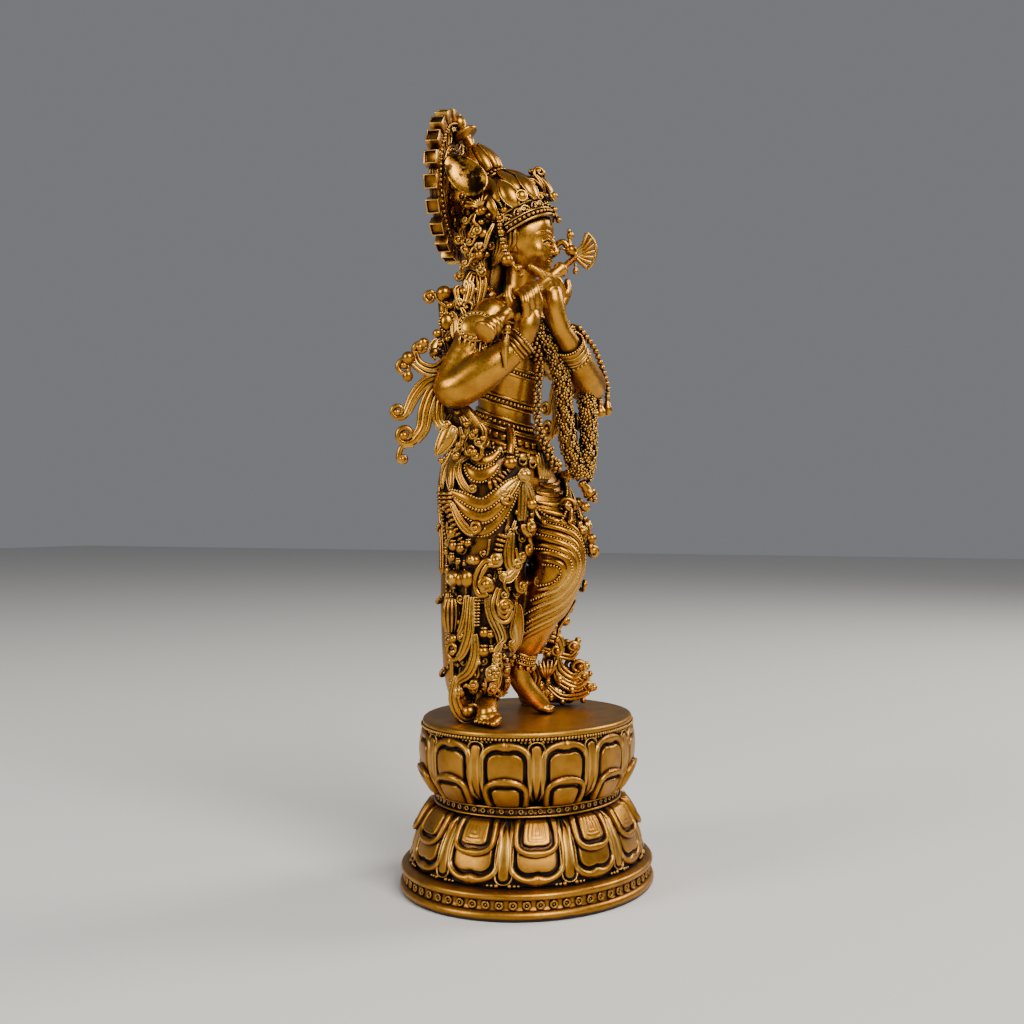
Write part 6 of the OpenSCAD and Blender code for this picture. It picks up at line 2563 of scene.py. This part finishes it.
@dataclass
class Ribbons:
    """The curled ribbons, drops and scrolls that cover the sides, shoulders and plate."""

    skin: Skin
    seed: int = 21

    def side(self, form: Carving, s: int) -> None:
        """Covers one side of the legs.

        Args:
            form: the form that takes the ornaments.
            s: 1 for the figure's right side, -1 for its left.
        """
        skin = self.skin
        run = partial(skin.run, hand=s)

        def spot(turn: float, z: float, out: float) -> Vector:
            """Gives a point outside the skin on this side."""
            return skin.at(s * turn, z, out)[0]

        def upright(turn: float, z: float, out: float) -> Matrix:
            """Gives a placing whose Z is upright."""
            return Matrix.Translation(spot(turn, z, out))

        form.tendril(
            run([(63, 37.6), (70, 38.0), (75, 34.2), (70, 30.8), (62, 31.2)], 2.2), 1.05, 1.5, s, first=1.2,
            first_hand=s, lines=2, turns=1.2,
        )
        form.ball(spot(86, 34.2, 2.2), 1.75, (0.95, 0.95, 1.25))
        form.ball(spot(96, 34.0, 2.0), 1.3, (1, 1, 1.3))
        form.ball(spot(107, 34.2, 2.0), 2.05)
        form.hoop_bead(facing(spot(107, 34.2, 3.6), clock(s * 107)), 1.0, 0.3, 18)
        form.ball(spot(84, 38.8, 2.4), 1.3, fine=2)
        form.ball(spot(80, 38.6, 2.4), 1.3, fine=2)
        for turn, z, r in (
            (108, 45.0, 1.5), (107, 42.0, 1.35), (110, 39.2, 1.1), (98, 41.4, 1.2), (90, 42.6, 1.0), (101, 38.2, 0.9),
            (92, 37.8, 0.8),
        ):
            form.ball(spot(turn, z, 1.7), r, fine=2)
            form.hoop_bead(facing(spot(turn, z + r * 0.9, 1.7), (0, 0, 1)), r * 0.62, r * 0.2, 12)
        form.barrel(upright(111, 25.2, 1.9), 2.15, 8.2)
        form.barrel(upright(127, 27.0, 1.6), 1.7, 7.0)
        for k in range(12):
            at, way = skin.at(s * 72, 31.2 - 0.72 * k, 1.9)
            form.ball(at, 1.0, (1, 0.55, 0.34), facing(at, above(1), way).to_3x3(), 2)
        for base in (0, 1, 2):
            form.tendril(run([
                (64 - 4 * base, 31.0), (60 - 4 * base, 25.5), (50 - 3 * base, 20.6), (49, 17.0 + base),
                (55, 14.6 + base),
            ], 1.8 + 0.3 * base), 0.5, 1.1 if base == 0 else 0.9, s, lines=2)
        form.tendril(
            run([(52, 32.4), (54, 28.4), (50, 25.2), (42, 24.6), (37, 27.2)], 2.4), 0.95, 1.55, s, lines=2, turns=1.3,
        )
        form.horn(run([(58, 44.6), (60, 41.6), (58, 38.6), (55, 36.4)], 1.9), 1.5, 0.9)
        form.tendril(run([(50, 45.4), (50, 41.6), (46, 37.6), (40, 36.4)], 2.2), 0.75, 1.2, s, lines=3)
        form.tendril(run([(44, 41.8), (38, 38.6), (33, 38.2)], 2.6), 0.55, 1.0, s)
        form.leaf(run([(54, 35.6), (46, 34.4), (38, 36.6), (31, 40.2)], 2.2), 1.35, 0.6, 0.22, 0.18)
        form.tendril(run([(47, 35.0), (48, 32.6), (43, 31.0)], 2.6), 0.42, 0.85, -s)
        form.tendril(run([(37, 34.6), (33, 31.6), (27, 31.0)], 2.6), 0.62, 1.1, s, turns=1.3)
        form.tendril(run([(29, 29.0), (33, 24.6), (36, 21.6), (32, 19.4)], 2.0), 0.52, 0.8, -s, lines=2)
        form.tendril(run([(86, 30.6), (84, 26.6), (88, 22.6), (93, 21.0)], 1.9), 0.6, 0.95, s, lines=3)
        form.tendril(
            run([(79, 30.4), (78, 25.0), (80, 20.4), (86, 16.8), (93, 15.2)], 2.1), 0.72, 2.0, -s, lines=3, turns=1.1,
        )
        form.ball(spot(100, 19.8, 2.2), 1.2)
        form.ball(spot(106, 20.0, 2.0), 0.95, fine=2)
        form.tendril(
            run([(74, 21.6), (72, 17.0), (78, 12.4), (88, 10.8), (98, 9.6)], 2.2), 0.72, 1.7, s, lines=3, turns=1.2,
        )
        form.ball(spot(93, 8.2, 2.8), 1.6)
        form.tendril(run([(84, 9.2), (80, 9.6), (76, 9.0)], 2.6), 0.6, 0.95, s)
        form.tendril(run([(104, 16.6), (110, 13.4), (108, 8.8), (100, 6.4)], 1.8), 0.7, 1.2, s, lines=2)
        for turn, z, r in (
            (64, 21.4, 1.25), (58, 21.0, 0.95), (64, 17.2, 1.4), (57, 17.6, 0.9), (40, 12.6, 0.95), (38, 10.2, 0.8),
            (44, 15.8, 0.7), (30, 15.6, 0.6), (69, 14.6, 0.8), (120, 19.0, 1.2), (122, 36.0, 1.2), (120, 40.6, 0.95),
        ):
            form.ball(spot(turn, z, 1.9), r, fine=2)
            form.hoop_bead(facing(spot(turn, z + r, 1.9), (0, 0, 1)), r * 0.6, r * 0.2, 12)
        at, way = skin.at(s * 55, 12.2, 2.2)
        form.rosette(facing(at, way), 1.9, 7)
        form.tendril(run([(118, 46.0), (124, 42.0), (121, 37.0), (125, 32.6)], 1.0), 0.5, 0.9, s, lines=2)
        form.tendril(run([(118, 15.0), (124, 11.0), (120, 6.4)], 1.4), 0.7, 1.3, -s, lines=2)
        for k in range(5):
            form.tendril(
                run([(136 + 3 * (k % 2), 60 - 11 * k), (131, 55 - 11 * k), (137, 51 - 11 * k)], 0.8), 0.5, 0.95,
                s if k % 2 else -s, lines=2
            )
        foot = Vector((-19.6 if s > 0 else 12.0, 6.6 if s > 0 else 5.4, 2.1))
        way = Vector((-s * 0.9, -0.4, 0))
        side = Vector((-s * 0.42, 0.9, 0))
        form.tendril(straight([
            foot + side * 2.6 + above(9), foot + side * 3.4 + above(3.6), foot + side * 1.4 + above(-0.9),
            foot - side * 1.2 + above(-0.8),
        ], way), 0.8, 1.5, s, lines=3, turns=1.0)
        form.ball(foot + above(0.6), 1.75)
        rng = random.Random(self.seed + s)
        for _ in range(130):
            turn, z = rng.uniform(26, 140), rng.uniform(7, 56)
            at, way = skin.at(s * turn, z, 0.8)
            kind = rng.random()
            if kind < 0.5:
                form.ball(at, rng.uniform(0.5, 0.95), fine=2)
            else:
                lean = rng.uniform(-6, 6)
                form.tendril(
                    run([(turn, z), (turn + lean, z - 2), (turn + lean * 0.4, z - 4)], 0.9), 0.45,
                    rng.uniform(0.75, 1.15), rng.choice((-1, 1)), lines=rng.choice((1, 2)),
                )

    def knee(self) -> None:
        """Makes the scroll ornament that stands out over the raised knee."""
        form = Carving()
        way = Vector((-0.9, -0.42, 0))
        ahead = Vector((0.42, -0.9, 0))

        def at(across: float, z: float, out: float = 0.0) -> Vector:
            """Gives a point from the ornament's own level direction and height."""
            return Vector((-1.0, -8.0, z)) + ahead * across - way * out

        def lay(*spots: Sequence[float]) -> Trail:
            """Lays a free path through such points."""
            return straight([at(*spot) for spot in spots], way)


        form.tendril(lay((0, 46.2), (2.4, 43.4), (5.0, 42.2), (7.0, 44.0)), 0.9, 1.3, 1, lines=3)
        form.tendril(lay((3.4, 42.0), (6.0, 41.0), (8.4, 41.6)), 0.75, 1.2, -1, lines=2)
        form.ball(at(8.6, 43.4), 1.35)
        form.ball(at(7.6, 40.6), 0.9, fine=2)
        form.tendril(lay((1.6, 45.4, 0.6), (3.0, 48.6, 0.6), (4.2, 50.2, 0.6)), 0.75, 1.7, 1, lines=2, turns=1.3)
        form.ball(at(3.4, 48.4), 1.5)
        form.ball(at(7.2, 51.2), 1.25)
        form.ball(at(5.6, 47.0), 0.95, fine=2)
        form.tendril(lay((4.6, 41.0), (5.2, 38.6), (4.6, 36.6)), 0.5, 0.8, -1, lines=2)
        place = facing(at(-4.2, 33.2, -3.2), way)
        form.ball(place.translation, 1.8, (1, 0.9, 0.7))
        form.hoop_bead(place @ Matrix.Translation((0, 0, 1.1)), 1.2, 0.34, 20)
        form.finish("knee_scroll_ornament", "knee_ornament")

    def shawl(self, s: int, elbow: Vector, name: str, node: str) -> None:
        """Makes one shawl: shoulder scrolls and long ribbons that curl behind the elbow.

        Args:
            s: 1 for the figure's right side, -1 for its left.
            elbow: the elbow's back.
            name: the piece's name.
            node: the CAD node that it stands for.
        """
        form = Carving()
        way = Vector((-s * 0.9, -0.42, 0))
        back = Vector((-s * 0.42, 0.9, 0)) if s > 0 else Vector((0.55, 0.6, 0)).normalized()

        def at(b: float, z: float, out: float = 0.0) -> Vector:
            """Gives a point behind the elbow from a distance back and a height."""
            return elbow + back * b + above(z) + way * out

        def lay(*spots: Sequence[float]) -> Trail:
            """Lays a free path through such points."""
            return straight([at(*spot) for spot in spots], way)


        form.tendril(lay((-1, 7.6), (2.6, 4.6), (6.2, 5.6), (7.4, 8.6)), 0.8, 1.3, -s, lines=2)
        form.ball(at(5.2, 10.4), 1.3)
        form.tendril(lay((1.0, 3.2), (4.8, 3.6), (8.4, 6.2)), 0.8, 1.7, s, lines=2)
        form.ball(at(8.8, 6.8, 0.6), 1.6)
        form.ball(at(9.0, 2.6), 1.25, (1, 1, 1.2))
        form.tendril(lay((0.4, 2.2), (4.2, 1.4), (7.2, -1.8), (9.4, -6.4)), 0.75, 1.6, -s, lines=3, turns=1.3)
        form.tendril(
            lay((0.2, 1.0), (2.8, -0.8), (4.6, -5.2), (5.4, -9.6), (7.4, -12.6)), 0.95, 2.0, -s, lines=3, turns=1.3,
        )
        form.tendril(lay((0.6, 0.0), (1.6, -3.6), (1.8, -7.6), (0.6, -9.4)), 0.75, 0.8, s, lines=3)
        form.tendril(lay((7.6, -13.8), (10.4, -14.2), (11.2, -16.6)), 0.7, 0.9, s)
        form.tendril(lay((2.4, -9.6), (0.0, -9.2), (-2.2, -9.8)), 0.6, 0.7, -s, lines=2)
        form.leaf(lay((-1.6, -9.2), (-0.2, -12.2), (2.2, -16.2)), 1.9, 1.0, 0.3, 0.25)
        form.tendril(lay((-3.4, -9.4), (-3.8, -12.8), (-1.8, -15.4)), 0.42, 0.8, s, lines=2)
        for b, z, r in ((-3.0, -13.6, 0.8), (-4.2, -11.8, 0.6), (-2.4, -16.4, 0.95), (1.0, -17.4, 0.8)):
            form.ball(at(b, z, 0.3), r, fine=2)
        shoulder = Vector((-14.6, 13.0, 103.0)) if s > 0 else Vector((12.0, 8.0, 102.5))
        form.ball(shoulder + back * 2.6, 1.95)
        form.tendril(
            straight([shoulder + above(-3.6), shoulder + back * 2.4 + above(-2.4), shoulder + back * 4.8], way), 0.7,
            1.3, s, lines=2,
        )
        drop = shoulder - elbow

        def edge(b: float, t: float, out: float = 0.0) -> Vector:
            """Gives a point behind the upper arm from a distance back and a share of the way up."""
            return elbow + drop * t + back * b + way * out

        form.sweep(straight([
            edge(1.6, 1.0, -1.6), edge(0.4, 0.66, -1.8), edge(-0.6, 0.34, -1.8), edge(-1.0, 0.06, -1.8),
        ], way), lambda t: 2.6, lambda t: 0.6)
        form.ball(edge(0.8, 0.86, 0.4), 1.0)
        jewel = facing(edge(1.2, 0.68, 0.5), way)
        form.ball(jewel.translation, 1.5, (1, 1.35, 0.6), jewel.to_3x3())
        form.beads([jewel @ p for p in around(30, 1.75, 0.1, squash=2.3 / 1.75)], 0.34, 0.74, True)
        for b, t, r in (
            (2.6, 0.78, 0.7), (3.2, 0.56, 1.15), (0.4, 0.5, 1.0), (2.2, 0.44, 0.8), (3.4, 0.36, 1.25), (0.8, 0.3, 0.9),
            (-2.4, 0.72, 0.8), (-2.8, 0.5, 0.9),
        ):
            form.ball(edge(b, t, 0.5), r)
        for b, t, long, size, hand in (
            (-0.6, 0.92, 4.2, 1.2, 1), (-2.0, 0.84, 4.6, 1.0, -1), (0.2, 0.58, 3.4, 1.1, 1), (-1.2, 0.62, 4.4, 1.1, -1),
            (1.8, 0.5, 3.2, 1.0, -1), (-1.6, 0.44, 4.2, 1.2, 1), (0.6, 0.36, 3.8, 1.2, -1), (-1.4, 0.26, 3.6, 1.0, 1),
        ):
            top = edge(b, t, 0.3)
            form.tendril(straight([
                top, top + back * 0.8 * hand + above(-long * 0.4), top + back * 1.1 * hand + above(-long),
            ], way), 0.55, size, s * hand, lines=2)
        form.leaf(straight([edge(2.8, 0.5, 0.4), edge(3.8, 0.4, 0.6), edge(3.2, 0.28, 0.4)], way), 1.1, 0.5, 0.2, 0.16)
        form.leaf(
            straight([edge(0.4, 0.8, 0.2), edge(-0.8, 0.66, 0.5), edge(-0.8, 0.5, 0.3)], way), 1.1, 0.5, 0.2, 0.16,
        )
        form.sweep(
            lay((0.6, -1.0, -2.6), (-2.6, -6.0, -3.0), (-6.2, -10.4, -3.4), (-8.0, -15.0, -3.2)),
            lambda t: 1.6 + 2.0 * sin(pi * t), lambda t: 0.7,
        )
        for b, z, long, size, hand, lines in (
            (-1.2, -6.2, 4.4, 1.0, 1, 2), (-3.6, -6.8, 4.6, 1.2, -1, 3), (-6.0, -7.2, 4.0, 1.0, 1, 2),
            (-8.2, -8.6, 4.4, 0.9, -1, 2), (-5.0, -11.4, 3.6, 1.1, 1, 2), (-7.6, -13.2, 3.2, 0.9, -1, 1),
        ):
            top = at(b, z, -1.4)
            form.tendril(
                straight([top, top + back * hand + above(-long * 0.45), top + back * 0.6 * hand + above(-long)], way),
                0.55, size, s * hand, lines=lines,
            )
        for b, z, r in (
            (-2.6, -5.8, 0.8), (-4.8, -8.8, 0.9), (-7.0, -10.4, 0.8), (-3.0, -11.0, 0.9), (-6.6, -15.4, 1.0),
            (-8.8, -12.0, 0.7),
        ):
            form.ball(at(b, z, -0.9), r)
        neck = Vector((-3 - s * 6, 6.5, 102.5))
        for t, rise, fall, size, hand, lines, wire in (
            (0.16, 1.8, 3.6, 1.5, 1, 2, 0.6), (
                0.34, 3.6, 2.6, 1.4, -1, 3, 0.7,
            ), (0.52, 5.6, 3.4, 1.2, 1, 3, 0.7), (0.7, 6.6, 2.6, 1.3, -1, 3, 0.75), (0.9, 6.0, 3.4, 1.1, 1, 2, 0.6),
        ):
            p = shoulder.lerp(neck, t)
            top = p + above(rise) + way * 0.4
            form.tendril(
                straight([top, p + back * 0.9 * hand + above(rise * 0.4) + way, p + above(-fall) + way * 1.2], way),
                wire, size, s * hand, lines=lines,
            )
        for t, z, r in (
            (0.1, -1.6, 0.9), (
                0.26, 0.6, 1.15,
            ), (0.44, -1.4, 0.8), (0.6, 1.2, 1.0), (0.8, -0.6, 0.85), (0.95, 1.6, 1.0),
        ):
            form.ball(shoulder.lerp(neck, t) + above(z) + way * 0.6, r)
        form.limb([(*(shoulder + back * 0.6 - way * 2.4), 1.8), (*(neck - way * 1.6), 2.6)], 6)
        form.finish(name, node)

    def elbow_drops(self, form: Carving) -> None:
        """Adds the chain and drops below the left elbow.

        Args:
            form: the form that takes them.
        """
        path = smooth_path([(14.0, -8.0, 97), (17.4, -10.8, 92), (18.2, -13.0, 86), (17.6, -14.4, 81.5)], 6)
        form.beads(path, 0.8, 1.5)
        form.drop(Matrix.Translation((17.4, -14.4, 80.6)), 1.25, 6.0)
        form.drop(Matrix.Translation((14.0, -13.6, 78.6)), 1.7, 4.6)
        form.drop(Matrix.Translation((11.2, -13.0, 77.6)), 1.5, 4.2)

    def floor(self) -> None:
        """Makes the scrolls that stand on the plate at the figure's left."""
        form = Carving()
        way = Vector((-0.9, -0.42, 0))
        ahead = Vector((0.42, -0.9, 0))

        def at(across: float, z: float, out: float = 0.0) -> Vector:
            """Gives a point of the scroll group from a level distance and a height."""
            return Vector((11.5, 1.0, z)) + ahead * across - way * out

        groups = (
            ([(-3.4, 17.2), (0.4, 18.2), (3.6, 17.4), (4.8, 15.2)], 0.85, 1.25, -1, 3),
            ([(-1.0, 15.0), (2.4, 14.0), (4.6, 13.2), (7.2, 12.8), (8.8, 14.4)], 0.75, 1.2, 1, 2),
            ([(3.6, 13.0), (4.4, 9.6), (7.2, 7.4), (9.8, 8.2)], 0.8, 1.7, 1, 3),
            ([(3.0, 10.6), (4.6, 6.8), (8.4, 5.0), (11.0, 6.4)], 0.75, 1.3, 1, 3),
            ([(1.4, 5.2), (4.6, 2.6), (8.6, 2.6), (12.0, 4.0)], 0.75, 1.1, 1, 2),
            ([(-3.4, 12.4), (-1.4, 8.0), (-2.4, 4.2)], 0.8, 1.2, -1, 2),
            ([(-2.0, 20.6), (1.0, 22.4), (3.2, 21.0)], 0.7, 1.0, -1, 2),
        )
        for shift in (0.0, 3.4):
            for points, wire, size, hand, lines in groups:
                form.tendril(
                    straight([at(a - shift * 0.5, z, shift) for a, z in points], way), wire, size, hand, lines=lines,
                    turns=1.2,
                )
        balls = (
            (6.6, 25.0, 1.25), (5.7, 22.0, 1.35), (2.8, 22.8, 0.8), (9.0, 16.8, 0.9), (7.4, 15.8, 0.85), (
                11.2, 10.4, 1.05,
            ), (12.2, 8.4, 0.7),
            (4.2, 7.0, 1.25), (7.4, 4.2, 1.15), (-0.6, 5.2, 1.25), (13.2, 4.9, 0.9), (-3.4, 9.2, 0.8), (
                -1.0, 14.4, 0.95,
            ), (2.0, 2.2, 1.1), (5.0, 1.2, 0.9), (10.4, 1.6, 0.8),
        )
        for a, z, r in balls:
            form.ball(at(a, max(z, r), 0.3), r)
            form.hoop_bead(Matrix.Translation(at(a, z + r * 0.9, 0.3)), r * 0.55, r * 0.2, 12)
        form.ball(at(0.8, 9.6, 0.2), 2.0, (0.9, 1, 1.1))
        for k in range(5):
            form.leaf(
                straight([at(0.8, 7.6, -0.6), at(-0.4 + 0.7 * k, 9.6, -1.9), at(-1.2 + 1.2 * k, 12.2, -1.2)], way), 0.6,
                0.4,
            )
        form.limb([(*at(-2.0, 2.6, 2.4), 2.2), (*at(2.0, 3.4, 2.6), 2.8), (*at(6.6, 2.4, 2.6), 2.0)], 5)
        form.limb([(*at(1.0, 5.0, 2.6), 2.0), (*at(1.8, 13.0, 2.6), 1.8), (*at(4.4, 22.0, 1.4), 1.0)], 5)
        form.finish("floor_scroll_group", "floor_scrolls")

    def build(self) -> None:
        """Makes every ribbon piece."""
        right, left = Carving(), Carving()
        self.side(right, 1)
        right.finish("right_side_ribbons", "right_ribbons")
        self.side(left, -1)
        self.elbow_drops(left)
        left.finish("left_side_ribbons", "left_ribbons")
        self.knee()
        self.shawl(1, Vector((-23.0, 11.0, 79.5)), "right_shawl_ribbons", "right_shawl")
        self.shawl(-1, Vector((15.6, -3.5, 83.5)), "left_shawl_ribbons", "left_shawl")
        self.floor()


# Studio.


@dataclass(frozen=True)
class Studio:
    """The floor, the lights and the camera."""

    camera_at: Point = (-291.7, -131.6, 91.0)
    view: Point = (0.9063, 0.4226, 0.0)
    lens: float = 45.45
    sensor: float = 36.0
    floor: float = 2.4
    sky: str = "C9CCD2"
    sky_power: float = 0.32
    aim: Point = (0, 0, 0.1)

    def lamp(self, name: str, at: Point, size: float, power: float, warm: float) -> None:
        """Adds a soft square lamp.

        Args:
            name: its name.
            at: its place in metres.
            size: its side in metres.
            power: its power in watts.
            warm: factor on its blue.
        """
        data = bpy.data.lights.new(name, "AREA")
        data.size = size
        data.energy = power
        data.color = (1.0, lerp(1.0, warm, 0.4), warm)
        lamp = show(name, data)
        lamp.location = at
        lamp.rotation_euler = (Vector(self.aim) - Vector(at)).to_track_quat("-Z", "Y").to_euler()

    def build(self) -> None:
        """Makes the floor, the world, the lamps and the camera."""
        small = bmesh.new()
        bmesh.ops.create_grid(small, x_segments=1, y_segments=1, size=self.floor)
        mesh = bpy.data.meshes.new("floor")
        small.to_mesh(mesh)
        small.free()
        floor = show("floor", mesh)
        mesh.materials.append(Finish.PAPER.material())
        world = bpy.data.worlds.new("studio")
        bpy.context.scene.world = world
        world.use_nodes = True
        shade = world.node_tree.nodes["Background"]
        shade.inputs["Color"].default_value = linear(self.sky)
        shade.inputs["Strength"].default_value = self.sky_power
        self.lamp("key", (-0.5, -0.72, 0.8), 0.55, 15.0, 0.93)
        self.lamp("side", (-0.8, 0.5, 0.5), 0.4, 6.0, 0.95)
        self.lamp("far_rim", (0.6, -0.5, 0.6), 0.35, 6.0, 0.9)
        data = bpy.data.cameras.new("camera")
        data.lens = self.lens
        data.sensor_width = self.sensor
        camera = show("camera", data)
        camera.location = Vector(self.camera_at) * MM
        camera.rotation_euler = Vector(self.view).to_track_quat("-Z", "Y").to_euler()
        bpy.context.scene.camera = camera


# Carried nodes.


def dress_carried_nodes() -> None:
    """Gives every CAD node that still shows its finish."""
    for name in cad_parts:
        obj = bpy.data.objects.get(name)
        if obj is not None:
            finish = Finish.STEEL if name in STEEL_NODES else Finish.ORNAMENT
            obj.data.materials.clear()
            obj.data.materials.append(finish.material())
            log.info("carried %s", name)


def main() -> None:
    """Builds the statuette, piece by piece."""
    bpy.context.view_layer.update()
    Studio().build()
    dress_carried_nodes()
    Pedestal().build()
    bare = Body().build()
    Head().build()
    Crown().build()
    Halo().build()
    skin = Dress().build(bare)
    Jewels(skin).build()
    Flute().build()
    Garland().build()
    Ribbons(skin).build()


if __name__ == "__main__":
    main()
